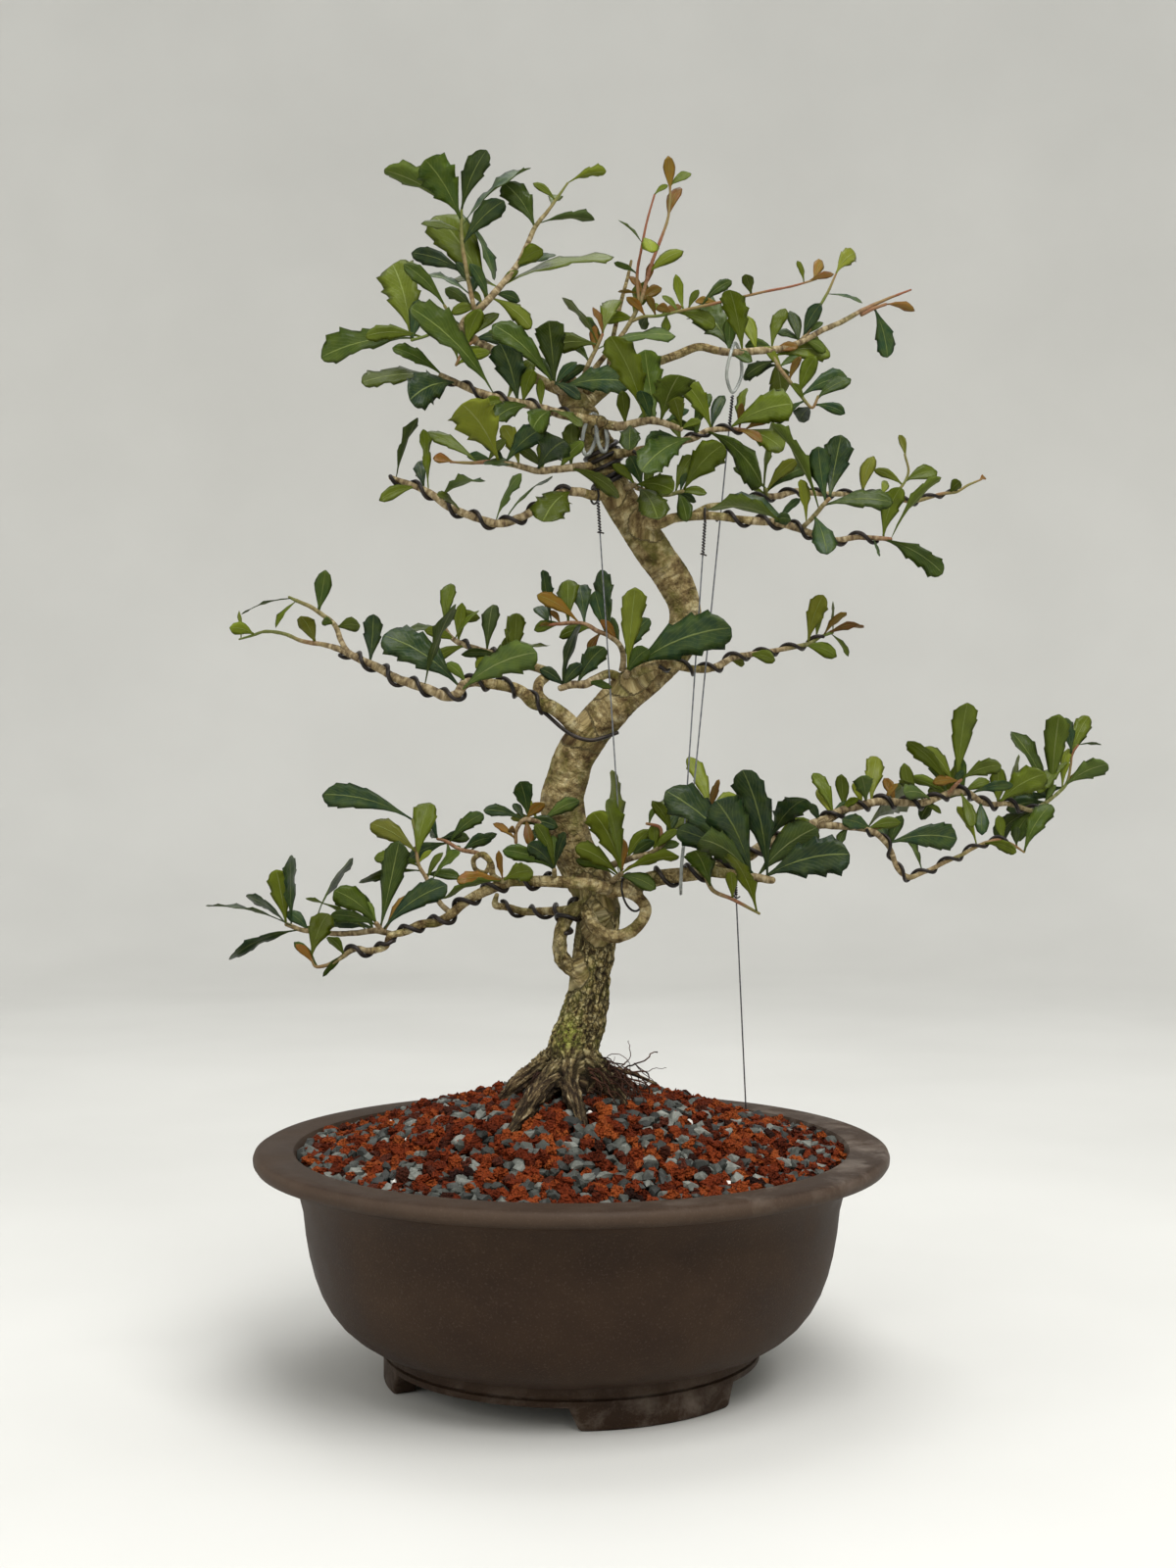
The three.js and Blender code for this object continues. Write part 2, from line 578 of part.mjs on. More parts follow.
    leaves: [
      [106, 447, 72, 452, 6, 1], [105, 448, 80, 457, 11, 0], [107, 449, 119, 457, 3, 0], [107, 446, 114, 446, 7, 0],
      [131, 456, 128, 484, 12, 0], [134, 458, 140, 490, 13, 0], [134, 456, 167, 455, 9, 1], [131, 456, 104, 496, 5, 1],
      [127, 447, 133, 428, 12, 0], [122, 444, 119, 467, 5, 3], [162, 438, 171, 463, 10, 2], [166, 437, 192, 468, 4, 1],
      [166, 435, 193, 418, 8, 1], [160, 435, 160, 427, 2, 0],
    ],
  },
  {
    name: 'leafy_left_drop', colour: 'deep', lean: -1, takeover: 2,
    stems: [
      [
        [20, -4, 460, 3], [12, -10, 458.5, 2.6], [4, -13, 460.5, 2.4], [-4, -15, 460.5, 2.3], [-13, -17, 455, 2.2],
        [-27, -20, 447, 2.1], [-38, -22, 444, 2.1], [-48, -22, 446.5, 2], [-57, -22, 449.8, 2], [-66, -22, 454, 1.9],
        [-72, -22, 459, 1.8], [-83, -21, 464, 1.6], [-94, -20, 468, 1.3],
      ],
    ],
    leaves: [
      [2, 459, -15, 445, 16, 2], [-39, 447, -26, 470, 4, 0], [-37, 447, -10, 468, 4, 0], [-81, 462, -100, 456, 6, 2],
      [-78, 463, -80, 476, 7, 0], [-76, 464, -77, 493, 3, 2], [-68, 457, -48, 466, 2, 0], [-91, 467, -80, 499, 2, 0],
      [-57, 451, -70, 459, 5, 2],
    ],
  },
  {
    name: 'leafy_mid_left_twig', colour: 'mid', lean: -1, takeover: 1,
    stems: [
      [
        [13, -4, 474, 2.4], [5, -9, 473.5, 2.2], [-6, -13, 472.5, 2], [-18, -16, 471.5, 1.8], [-30, -18, 474.5, 1.5],
        [-42, -18, 476, 1.2], [-52, -17, 475.5, 0.9], [-63, -16, 476, 0.6],
      ],
    ],
    leaves: [
      [-37, 477, -57, 506, 22, 3], [-49, 478, -76, 491, 8, 2], [-36, 478, -14, 494, 12, 0], [-18, 472, -3, 487, 15, 0],
      [-20, 473, -46, 475, 5, 1], [-62, 476, -72, 478, 5, 4], [-16, 473, -14, 488, 7, 2], [-2, 471, 25, 458, 7, 2],
    ],
  },
  {
    name: 'leafy_mid_left', colour: 'deep', lean: -1, takeover: 8,
    stems: [
      [
        [8, -3, 333, 5], [2, -8, 338, 4.2], [-4, -12, 344, 3.9], [-12, -16, 349.5, 3.7], [-20, -19, 351, 3.4],
        [-25, -22, 356, 3.2], [-31, -25, 359, 3], [-40, -28, 360.5, 2.7], [-50, -31, 362, 2.6], [-56, -32, 360.5, 2.6],
        [-60, -33, 355, 2.6], [-66, -33, 354.5, 2.5], [-73, -33, 357.5, 2.4], [-82, -32, 360.5, 2.3],
        [-92, -30, 364, 2.3], [-100, -27, 369, 2.2], [-110, -23, 373.5, 2], [-119, -18, 378, 1.9],
        [-128, -12, 381, 1.3], [-140, -4, 383, 1.1], [-150, 4, 387, 1], [-160, 12, 388, 0.9], [-166, 17, 386, 0.8],
        [-173, 22, 384, 0.5],
      ],
      [
        [-116, -20, 376.5, 1.6], [-120, -18, 383, 1.5], [-123, -15, 391, 1.4], [-130, -10, 397, 1.2],
        [-137, -4, 401.5, 1.1], [-143, 0, 404, 1], [-147, 4, 406, 0.7],
      ],
    ],
    leaves: [
      [-165, 387, -178, 390, 7, 2], [-173, 386, -173, 399, 3, 3], [-133, 382, -141, 396, 8, 3], [-131, 399, -128, 420, 8, 1],
      [-124, 389, -110, 391, 7, 2], [-124, 391, -130, 393, 5, 1], [-146, 405, -172, 397, 1.5, 0],
      [-143, 404, -154, 390, 3, 2], [-59, 359, -98, 386, 18, 0], [-57, 359, -18, 377, 13, 0],
      [-105, 373, -103, 397, 9, 0], [-76, 361, -61, 402, 4, 0],
    ],
  },
  {
    name: 'leafy_back_mid', colour: 'olive', lean: 1, takeover: 5,
    stems: [
      [
        [-12, -16, 349.5, 3], [-17, -14, 355, 2.9], [-17, -9, 361, 2.8], [-12, -3, 366, 2.6], [-16, 6, 368.5, 2.4],
        [-26, 14, 371.5, 2.2], [-38, 22, 375.5, 2], [-50, 28, 379, 1.8], [-60, 33, 383, 1.5], [-65, 36, 388, 1.3],
        [-67, 38, 394, 0.9],
      ],
    ],
    leaves: [
      [-66, 390, -63, 413, 8, 2], [-65, 386, -86, 389, 5, 1], [-58, 384, -57, 403, 6, 2], [-60, 384, -48, 399, 4, 2],
      [-42, 378, -41, 402, 9, 0], [-38, 377, -30, 386, 4, 2], [-39, 374, -50, 369, 6, 2], [-29, 374, -28, 394, 6, 2],
      [-27, 372, -17, 380, 9, 2],
    ],
  },
  {
    name: 'leafy_arch', colour: 'bronze', lean: 0, takeover: 0,
    stems: [
      [
        [26, -8, 366, 2], [27, -9, 374, 1.5], [25, -9, 381, 1.4], [19, -9, 386, 1.3], [13, -9, 388.5, 1.2],
        [8, -9, 391.5, 1.2], [1, -10, 392.5, 1.1], [-6, -10, 392, 1], [-13, -10, 391.5, 0.7],
      ],
    ],
    leaves: [
      [4, 394, -18, 407, 8, 4], [-6, 392, -11, 399, 3, 4], [-8, 391, -17, 391, 2, 4], [-2, 391, -2, 415, 11, 2],
      [4, 391, 4, 412, 10, 0], [-11, 393, -18, 401, 7, 0], [-11, 394, -15, 420, 3, 0], [18, 388, 12, 409, 8, 0],
      [21, 387, 15, 420, 8, 0],
    ],
  },
  {
    name: 'leafy_mid_right_front', colour: 'deep', lean: -1, takeover: 0,
    stems: [[[28, -10, 363, 1.8], [29, -20, 367, 1.5]]],
    leaves: [[28, 367, 83, 390, 20, 0], [28, 368, 40, 379, 9, 1], [28, 368, 36, 376, 3, 4], [27, 371, 33, 411, 12, 3]],
  },
  {
    name: 'leafy_mid_right_left', colour: 'mid', lean: -1, takeover: 2,
    stems: [
      [
        [27, -8, 362, 3], [20, -9, 366, 2.4], [12, -11, 363, 2.3], [6, -12, 360.5, 2.2], [0, -12, 360.5, 2],
        [-6, -12, 358.5, 1.7],
      ],
    ],
    leaves: [[-6, 361, 4, 392, 7, 0], [3, 362, 17, 380, 10, 0], [6, 363, 21, 359, 4, 1]],
  },
  {
    name: 'leafy_mid_right', colour: 'pale', lean: 0, takeover: 7,
    stems: [
      [
        [28, -10, 364, 3], [36, -18, 367.5, 2.5], [44, -20.5, 370, 2.3], [52, -19.5, 371, 2.2], [58, -15.5, 369.5, 2.1],
        [64, -11, 368.5, 2], [70, -6, 368.5, 2], [76, -3, 370, 1.9], [84, 0, 374.5, 1.7], [92, 3, 376, 1.5],
        [100, 6, 377, 1.4], [108, 10, 378.5, 1.3], [116, 14, 380, 1.2], [124, 18, 382, 1.1], [130, 21, 385.5, 0.9],
        [136, 24, 387.5, 0.7],
      ],
    ],
    leaves: [
      [123, 382, 131, 407, 9, 3], [125, 384, 131, 405, 5, 2], [123, 381, 138, 375, 7, 2], [136, 389, 136, 404, 2, 2],
      [133, 388, 149, 392, 4, 4], [136, 389, 143, 398, 4, 4], [136, 386, 152, 390, 4, 4], [135, 386, 144, 375, 2, 2],
      [81, 375, 90, 371, 5, 3], [92, 376, 106, 373, 7, 2],
    ],
  },
  {
    name: 'leafy_rosette', colour: 'deep', lean: -1, takeover: 2,
    stems: [
      [
        [70, -26, 263.5, 3], [80, -34, 262, 2.7], [90, -42, 260.5, 2.4], [98, -47, 259.5, 2.2], [105, -49, 258.5, 1.8],
      ],
    ],
    leaves: [
      [100, 261, 145, 272, 20, 0], [98, 262, 128, 286, 16, 0], [100, 262, 89, 316, 14, 0], [97, 262, 75, 300, 22, 0],
      [93, 262, 49, 305, 12, 0], [91, 262, 55, 285, 14, 0], [91, 261, 67, 280, 14, 0],
    ],
  },
  {
    name: 'leafy_rosette_low', colour: 'olive', lean: -1, takeover: 0,
    stems: [[[70, -26, 260, 1.4], [74, -34, 253, 1.1], [84, -38, 248.5, 1], [98, -42, 241, 0.7]]],
    leaves: [[98, 243, 84, 271, 10, 2], [84, 249, 83, 263, 6, 2], [73, 255, 64, 274, 12, 1]],
  },
  {
    name: 'leafy_inner_right', colour: 'olive', lean: 0, takeover: 0,
    stems: [
      [[20, -7, 266, 2], [31, -14, 270, 1.6], [42, -16, 273, 1.4], [48, -17, 278, 1.2], [52, -17, 283, 1]],
      [[47, -17, 279, 1], [46, -17, 286, 0.9], [39, -17, 288, 0.7]],
    ],
    leaves: [
      [31, 270, 43, 279, 6, 0], [42, 275, 43, 288, 7, 2], [40, 288, 44, 297, 3, 1], [52, 284, 51, 302, 11, 2],
      [53, 284, 61, 294, 9, 2], [30, 272, 41, 285, 7, 2],
    ],
  },
  {
    name: 'leafy_low_right_back', colour: 'pale', lean: 1, takeover: 0,
    stems: [[[66, -20, 265, 1.6], [70, -12, 280, 1.4], [72, -8, 293, 1.1]]],
    leaves: [[71, 294, 61, 323, 9, 3], [73, 294, 86, 303, 8, 3], [70, 284, 62, 290, 5, 2], [73, 294, 77, 311, 3, 4]],
  },
  {
    name: 'leafy_low_right', colour: 'mid', lean: 0, takeover: 8,
    stems: [
      [
        [14, -2, 254, 5.5], [24, -8, 254.5, 5], [34, -14, 256.5, 4.6], [44, -19, 259.5, 4.2], [54, -22, 261, 4],
        [64, -24, 262, 3.7], [74, -25, 264.5, 3.5], [84, -25, 268, 3.3], [94, -24, 272.5, 3.1], [104, -22, 279, 2.9],
        [114, -19, 283, 2.8], [124, -16, 287, 2.7], [133, -13, 290, 2.6], [141, -10, 295, 2.4], [150, -6, 297.5, 2.3],
        [160, -2, 299.5, 2.1], [172, 3, 299, 2], [184, 8, 299, 1.9], [193, 12, 302.5, 1.8], [200, 15, 304.5, 1.8],
        [207, 18, 304, 1.7], [213, 21, 299.5, 1.6], [219, 24, 298, 1.5], [227, 27, 298.5, 1.4], [234, 30, 296.5, 1.3],
        [240, 32, 295, 1.2], [247, 35, 299, 1.1], [253, 38, 303.5, 1], [258, 40, 309, 0.9], [260, 41, 318, 0.7],
        [261, 42, 325, 0.6], [264, 43, 329, 0.5],
      ],
      [
        [128, -15, 287.5, 2], [143, -14, 286.5, 1.8], [154, -12, 285, 1.7], [160, -10, 282, 1.6], [166, -7, 275, 1.5],
        [170, -5, 264.5, 1.4], [176, -2, 260, 1.4], [182, 1, 262, 1.3], [188, 3, 264.5, 1.2], [195, 6, 268, 1.2],
        [203, 9, 271.5, 1.1], [209, 12, 275, 1.1], [216, 14, 278, 1], [223, 17, 279.5, 0.9], [230, 19, 277, 0.8],
        [236, 21, 273, 0.5],
      ],
      [[196, 13, 303.5, 1.2], [200, 11, 308, 1.1], [203, 10, 311, 0.9]],
    ],
    leaves: [
      [103, 282, 122, 301, 12, 0], [106, 283, 124, 290, 5, 2], [101, 280, 103, 297, 5, 3], [154, 299, 151, 313, 9, 0],
      [156, 300, 159, 323, 10, 3], [163, 301, 170, 309, 3, 4], [135, 293, 128, 306, 6, 3], [203, 308, 206, 351, 13, 2],
      [199, 309, 184, 328, 8, 2], [197, 306, 175, 331, 9, 2], [194, 306, 176, 312, 5, 1], [187, 302, 173, 304, 8, 0],
      [205, 308, 218, 310, 6, 2], [209, 306, 230, 308, 6, 0], [203, 303, 209, 286, 7, 2], [213, 299, 214, 282, 8, 0],
      [186, 299, 182, 290, 7, 1], [222, 300, 247, 314, 14, 2], [225, 301, 233, 324, 4, 2], [249, 303, 254, 345, 13, 1],
      [247, 302, 229, 336, 10, 1], [264, 329, 276, 329, 2, 0], [258, 310, 264, 314, 2, 4], [240, 294, 221, 280, 8, 1],
      [155, 286, 177, 302, 16, 2], [158, 284, 141, 290, 8, 0], [165, 277, 201, 280, 15, 0], [166, 273, 159, 288, 8, 0],
      [183, 263, 174, 281, 3, 1], [211, 276, 201, 297, 4, 2], [213, 277, 232, 273, 6, 2], [236, 274, 250, 298, 11, 1],
    ],
  },
  {
    name: 'leafy_low_left_end', colour: 'olive', lean: -1, takeover: 16,
    stems: [
      [
        [22, -8, 254, 4], [16, -17, 254.5, 3.5], [8, -20, 256.5, 3.2], [-4, -20, 257.5, 3.1], [-14, -20, 258, 3],
        [-20, -19, 258, 3], [-32, -19, 258, 3], [-42, -20, 254, 2.8], [-50, -20, 250.5, 2.7], [-57, -21, 246, 2.6],
        [-63, -22, 240.5, 2.5], [-70, -22, 236.5, 2.4], [-79, -23, 235.5, 2.3], [-87, -24, 231.5, 2.1],
        [-95, -25, 229, 1.9], [-97, -26, 224, 1.8], [-105, -27, 221.5, 1.7], [-113, -27, 222.5, 1.5],
        [-121, -27, 217.5, 1.2], [-128, -27, 214, 1], [-134, -27, 213.5, 0.8], [-136, -27, 218, 0.5],
      ],
    ],
    leaves: [
      [-135, 220, -127, 241, 12, 2], [-135, 214, -144, 225, 4, 4], [-119, 220, -127, 229, 6, 1],
      [-118, 220, -130, 208, 4, 1], [-136, 219, -145, 226, 5, 1],
    ],
  },
  {
    name: 'leafy_low_left_fan', colour: 'olive', lean: 0, takeover: 0,
    stems: [
      [
        [-92, -24, 229.5, 1.7], [-101, -22, 232, 1.6], [-112, -19, 231, 1.5], [-122, -17, 230.5, 1.4],
        [-132, -16, 231.5, 1.4], [-141, -15, 232.5, 1.3], [-149, -14, 235.5, 1.1],
      ],
      [[-97, -23, 231, 1.5], [-100, -28, 233, 1.4], [-102, -31, 236, 1.2]],
    ],
    leaves: [
      [-103, 237, -124, 253, 12, 1], [-104, 237, -126, 240, 7, 1], [-102, 238, -90, 279, 12, 1],
      [-99, 233, -65, 256, 13, 0], [-98, 236, -83, 250, 6, 4], [-101, 234, -127, 236, 6, 0],
      [-104, 238, -110, 252, 6, 1], [-105, 238, -139, 249, 3.5, 1], [-149, 236, -154, 264, 12, 2],
      [-149, 238, -147, 271, 7, 0], [-150, 236, -191, 245, 4, 0], [-150, 237, -170, 250, 7, 0],
      [-147, 234, -179, 217, 7, 0], [-137, 233, -149, 242, 6, 0], [-141, 233, -114, 270, 1.5, 0],
    ],
  },
  {
    name: 'leafy_low_left_up', colour: 'olive', lean: 1, takeover: 0,
    stems: [
      [
        [-63, -22, 241, 1.6], [-69, -20, 247, 1.5], [-73, -17, 254, 1.3], [-76, -14, 260, 1.2], [-80, -12, 267, 1],
        [-81, -8, 280, 0.9], [-83, -8, 290, 0.8],
      ],
    ],
    leaves: [
      [-81, 269, -74, 299, 12, 2], [-84, 291, -130, 303, 14, 0], [-82, 272, -105, 288, 11, 3], [-80, 266, -103, 270, 7, 2],
      [-79, 266, -111, 257, 7, 1], [-80, 267, -73, 274, 3, 3], [-77, 262, -58, 260, 6, 1], [-77, 262, -67, 273, 4, 2],
      [-76, 260, -58, 273, 2.5, 1],
    ],
  },
  {
    name: 'leafy_ring', colour: 'mid', lean: 0, takeover: 8,
    stems: [
      [
        [-36, -20, 257, 2], [-41, -23, 261, 1.7], [-42, -24, 267, 1.6], [-46, -22, 272, 1.5], [-51, -19, 269.5, 1.4],
        [-50, -16, 264, 1.3], [-45, -13, 262.5, 1.3], [-43, -10, 268, 1.3], [-49, -7, 272.5, 1.2],
        [-58, -4, 274.5, 1.1], [-66, -2, 279, 0.9], [-70, 0, 280, 0.7],
      ],
    ],
    leaves: [[-64, 279, -46, 293, 8, 1], [-62, 278, -58, 274, 3, 1], [-70, 280, -74, 283, 5, 0]],
  },
  {
    name: 'leafy_low_left_front', colour: 'bronze', lean: -1, takeover: 0,
    stems: [[[-34, -19, 258, 1.5], [-36, -27, 258, 1.3]]],
    leaves: [[-38, 258, -60, 258, 7, 4], [-38, 256, -67, 249, 4, 1], [-36, 260, -20, 263, 10, 2], [-37, 260, -38, 274, 3, 4]],
  },
  {
    name: 'leafy_centre_left', colour: 'mid', lean: -1, takeover: 0,
    stems: [[[-9, -20, 259, 1.5], [-9, -26, 264, 1.2]]],
    leaves: [
      [-11, 264, -36, 274, 9, 1], [-12, 266, -23, 277, 8, 0], [-8, 266, -19, 288, 7, 2], [-8, 266, -10, 282, 6, 1],
      [-6, 265, -3, 283, 6, 0],
    ],
  },
  {
    name: 'leafy_trunk_left', colour: 'deep', lean: -1, takeover: 0,
    stems: [[[-10, -8, 284, 1.6], [-18, -14, 289, 1.4], [-25, -15, 290, 1.3], [-29, -15, 284, 1.1], [-29, -15, 278, 0.9]]],
    leaves: [
      [-25, 291, -46, 295, 6, 0], [-25, 291, -27, 310, 10, 0], [-17, 291, -27, 304, 4, 3], [-16, 291, 4, 300, 8, 0],
      [-20, 289, -23, 278, 5, 0], [-29, 279, -41, 288, 3, 4], [-28, 281, -33, 285, 4, 4],
    ],
  },
  {
    name: 'leafy_centre_right', colour: 'olive', lean: -1, takeover: 0,
    stems: [[[20, -12, 257, 1.7], [26, -22, 262, 1.4]]],
    leaves: [
      [26, 262, 11, 294, 14, 2], [25, 262, 2, 276, 9, 2], [27, 265, 27, 280, 5, 4], [27, 266, 18, 300, 11, 2],
      [24, 265, 21, 316, 5, 3], [27, 265, 40, 269, 3, 4], [27, 264, 56, 271, 6, 2], [26, 259, 44, 254, 8, 1],
      [22, 262, 2, 269, 5, 1],
    ],
  },
];

// Limbs of the wood and of the leafy branches
const trunkLimb = new Limb(trunkPoints);
const rootLimbs = rootPoints.map((points) => new Limb(points));
const bareLimbs = {};
for (const [name, points] of Object.entries(bareWood)) {
  bareLimbs[name] = new Limb(points);
}
const branchLimbs = {};
for (const branch of leafyBranches) {
  branchLimbs[branch.name] = branch.stems.map((points) => new Limb(points));
}

function stemSides(limb) {
  const radius = limb.points[0][3];
  if (radius > 3.6) {
    return 5;
  }
  return radius > 1.6 ? 4 : 3;
}

// All wood that grew as one piece, with its balls
const woodLimbs = [
  { limb: trunkLimb, sides: trunkSides, last: trunkLimb.samples.length - 1 },
  ...rootLimbs.map((limb) => ({ limb, sides: rootSides, last: limb.samples.length - 1 })),
  ...Object.values(bareLimbs).map((limb) => ({ limb, sides: stemSides(limb), last: limb.samples.length - 1 })),
];
for (const branch of leafyBranches) {
  if (branch.takeover > 0) {
    const [limb] = branchLimbs[branch.name];
    woodLimbs.push({ limb, sides: stemSides(limb), last: limb.knots[branch.takeover] });
  }
}
for (const { limb, last } of woodLimbs) {
  addLimbBalls(limb, 'trunk', 0, last);
}

// The first sample at which a ring of the stem stands clear of all wood
function clearStart(limb) {
  for (let i = 0; i < limb.samples.length - 2; i += 1) {
    const sample = limb.samples[i];
    let clear = true;
    for (let k = 0; k < 8; k += 1) {
      const angle = (k * Math.PI) / 4;
      const rim = sample.place.clone();
      rim.addScaledVector(sample.normal, sample.radius * Math.cos(angle));
      rim.addScaledVector(sample.across, sample.radius * Math.sin(angle));
      eachBallNear(rim, (ball) => {
        if (ball.owner === 'trunk' && rim.distanceTo(ball.place) - ball.radius < seat) {
          clear = false;
        }
      });
    }
    if (clear) {
      return i;
    }
  }
  return 0;
}

for (const branch of leafyBranches) {
  const limbs = branchLimbs[branch.name];
  branch.start = branch.takeover > 0 ? limbs[0].knots[branch.takeover] : clearStart(limbs[0]);
  limbs.forEach((limb, index) => addLimbBalls(limb, branch.name, index === 0 ? branch.start : 0));
}

// The blade of a leaf: its half width along it, as shares of the widest
const largeOutline = [[0, 0], [0.55, 0.72], [0.66, 0.6], [0.82, 1]];
const middleOutline = [[0, 0], [0.45, 0.62], [0.78, 1]];
const smallOutline = [[0, 0], [0.62, 1]];
const largeLeaf = 36;
const smallLeaf = 22;
const slender = 0.28;
const foreshortened = 0.42;
const archShare = 0.08;
const looseLean = 0.35;

function outlineFor(length) {
  if (length > largeLeaf) {
    return largeOutline;
  }
  return length > smallLeaf ? middleOutline : smallOutline;
}

function halfWidthAt(blade, s) {
  const knots = [...blade.outline.map(([t, w]) => [t, t === 0 ? stalkHalfWidth : w * blade.halfWidth]), [1, 0]];
  let i = 1;
  while (i < knots.length - 1 && knots[i][0] < s) {
    i += 1;
  }
  const [t0, w0] = knots[i - 1];
  const [t1, w1] = knots[i];
  return w0 + ((w1 - w0) * (s - t0)) / (t1 - t0);
}

function bladePlace(blade, s, side, height) {
  const bow = 4 * blade.arch;
  const along = blade.chord.clone().addScaledVector(blade.up, bow * (1 - 2 * s)).normalize();
  const face = new THREE.Vector3().crossVectors(along, blade.side).normalize();
  const place = blade.base.clone().addScaledVector(blade.chord, s);
  place.addScaledVector(blade.up, bow * s * (1 - s));
  place.addScaledVector(blade.side, side);
  return place.addScaledVector(face, height);
}

function bladeOf(base, leaf, tipY, turn) {
  const tip = seen(leaf[2], tipY, leaf[3]);
  const chord = tip.clone().sub(base);
  const length = chord.length();
  const along = chord.clone().normalize();
  const width = Math.max(leaf[4], slender * length);
  const roll = turn * Math.acos(Math.min(1, leaf[4] / width));
  const flat = new THREE.Vector3().crossVectors(along, new THREE.Vector3(0, 1, 0)).normalize();
  const facing = new THREE.Vector3().crossVectors(flat, along);
  const up = new THREE.Vector3(0, 0, 1).addScaledVector(along, -along.z);
  if (up.length() < 0.3) {
    up.copy(facing);
  }
  const side = flat.clone().multiplyScalar(Math.cos(roll)).addScaledVector(facing, Math.sin(roll));
  return {
    base, chord, length, side, up: up.normalize(), arch: archShare * length, halfWidth: width / 2,
    outline: outlineFor(length),
  };
}

function bladeSolid(blade) {
  const sides = blade.outline.map(([t, w]) => [t, t === 0 ? stalkHalfWidth : w * blade.halfWidth]);
  const outline = new THREE.Shape();
  outline.moveTo(0, -sides[0][1]);
  for (const [t, w] of sides.slice(1)) {
    outline.lineTo(t, -w);
  }
  outline.lineTo(1, 0);
  for (const [t, w] of sides.slice().reverse()) {
    outline.lineTo(t, w);
  }
  const geometry = new THREE.ExtrudeGeometry(outline, { depth: bladeThickness, bevelEnabled: false });
  const position = geometry.attributes.position;
  for (let i = 0; i < position.count; i += 1) {
    const height = position.getZ(i) - bladeThickness / 2;
    const place = bladePlace(blade, position.getX(i), position.getY(i), height);
    position.setXYZ(i, place.x, place.y, place.z);
  }
  return solidOf(geometry);
}

function bladePoints(blade) {
  const rows = Math.ceil(blade.length / leafSampleStep);
  const points = [];
  for (let i = 0; i <= rows; i += 1) {
    const s = i / rows;
    const half = halfWidthAt(blade, s);
    const columns = Math.max(1, Math.ceil((2 * half) / leafSampleStep));
    for (let j = 0; j <= columns; j += 1) {
      points.push({ place: bladePlace(blade, s, half * ((2 * j) / columns - 1), 0), share: s });
    }
  }
  return points;
}

// How far a blade stands clear of everything else; 0 or more is clear
function bladeClearance(points, owner) {
  let least = Infinity;
  for (const { place, share } of points) {
    eachBallNear(place, (ball) => {
      const isLeaf = ball.share > 0;
      const isWood = ball.owner === 'trunk' || ball.owner.startsWith('leafy');
      const sameBranch = ball.owner === owner;
      const nearStem = isWood ? share < 0.08 : false;
      const counts = isLeaf ? !sameBranch || (share > 0.35 && ball.share > 0.35) : !sameBranch && !nearStem;
      if (counts) {
        const wanted = isWood ? woodGap : wireGap;
        const gap = place.distanceTo(ball.place) - ball.radius - (isLeaf ? leafGap : wanted);
        least = Math.min(least, gap);
      }
    });
  }
  return least;
}

const crowdedCost = 6;
const baseReach = 8;
const baseTries = 9;
const tipTries = [0, 5, -5, 10, -10, 15, -15, 20, -20, 26, -26, 32, -32];

// The places on the branch from which a leaf may grow, nearest to the read one first
function basesNear(limbs, start, x, z, taken) {
  const bases = [];
  limbs.forEach((limb, index) => {
    const first = index === 0 ? Math.min(start + 3, limb.samples.length - 1) : 0;
    for (let i = first; i < limb.samples.length; i += 1) {
      const { place } = limb.samples[i];
      const read = seen(x, place.y, z);
      const crowded = taken.some((other) => other.distanceTo(place) < stalkSpacing);
      const away = Math.hypot(read.x - place.x, read.z - place.z) + (crowded ? crowdedCost : 0);
      bases.push({ place, away });
    }
  });
  bases.sort((a, b) => a.away - b.away);
  const nearest = bases[0].away;
  return bases.filter(({ away }) => away < nearest + baseReach).slice(0, baseTries).map(({ place }) => place);
}

function growLeaves(branch) {
  const random = randomStream(branch.name.length * 97 + branch.leaves.length * 31 + 5);
  const limbs = branchLimbs[branch.name];
  const taken = [];
  branch.blades = branch.leaves.map((leaf) => {
    const bases = basesNear(limbs, branch.start, leaf[0], leaf[1], taken);
    const flatLength = Math.hypot(leaf[2] - leaf[0], leaf[3] - leaf[1]);
    const wanted = leaf[4] / foreshortened;
    const chance = random();
    const turn = random() < 0.5 ? -1 : 1;
    const way = branch.lean === 0 ? Math.sign(chance - 0.5) : branch.lean;
    const loose = flatLength * looseLean * Math.abs(2 * chance - 1);
    const depth = wanted > flatLength ? Math.sqrt(wanted * wanted - flatLength * flatLength) : loose;
    let best = null;
    let most = -Infinity;
    for (const base of bases) {
      for (const shift of tipTries) {
        const blade = bladeOf(base, leaf, base.y + way * depth + shift, turn);
        const points = bladePoints(blade);
        const gap = bladeClearance(points, branch.name);
        if (gap > most) {
          most = gap;
          best = { blade, points };
        }
        if (gap >= 0) {
          break;
        }
      }
      if (most >= 0) {
        break;
      }
    }
    taken.push(best.blade.base);
    best.points.forEach(({ place, share }) => addBall(place, 0, branch.name, Math.max(share, 0.01)));
    return best.blade;
  });
}

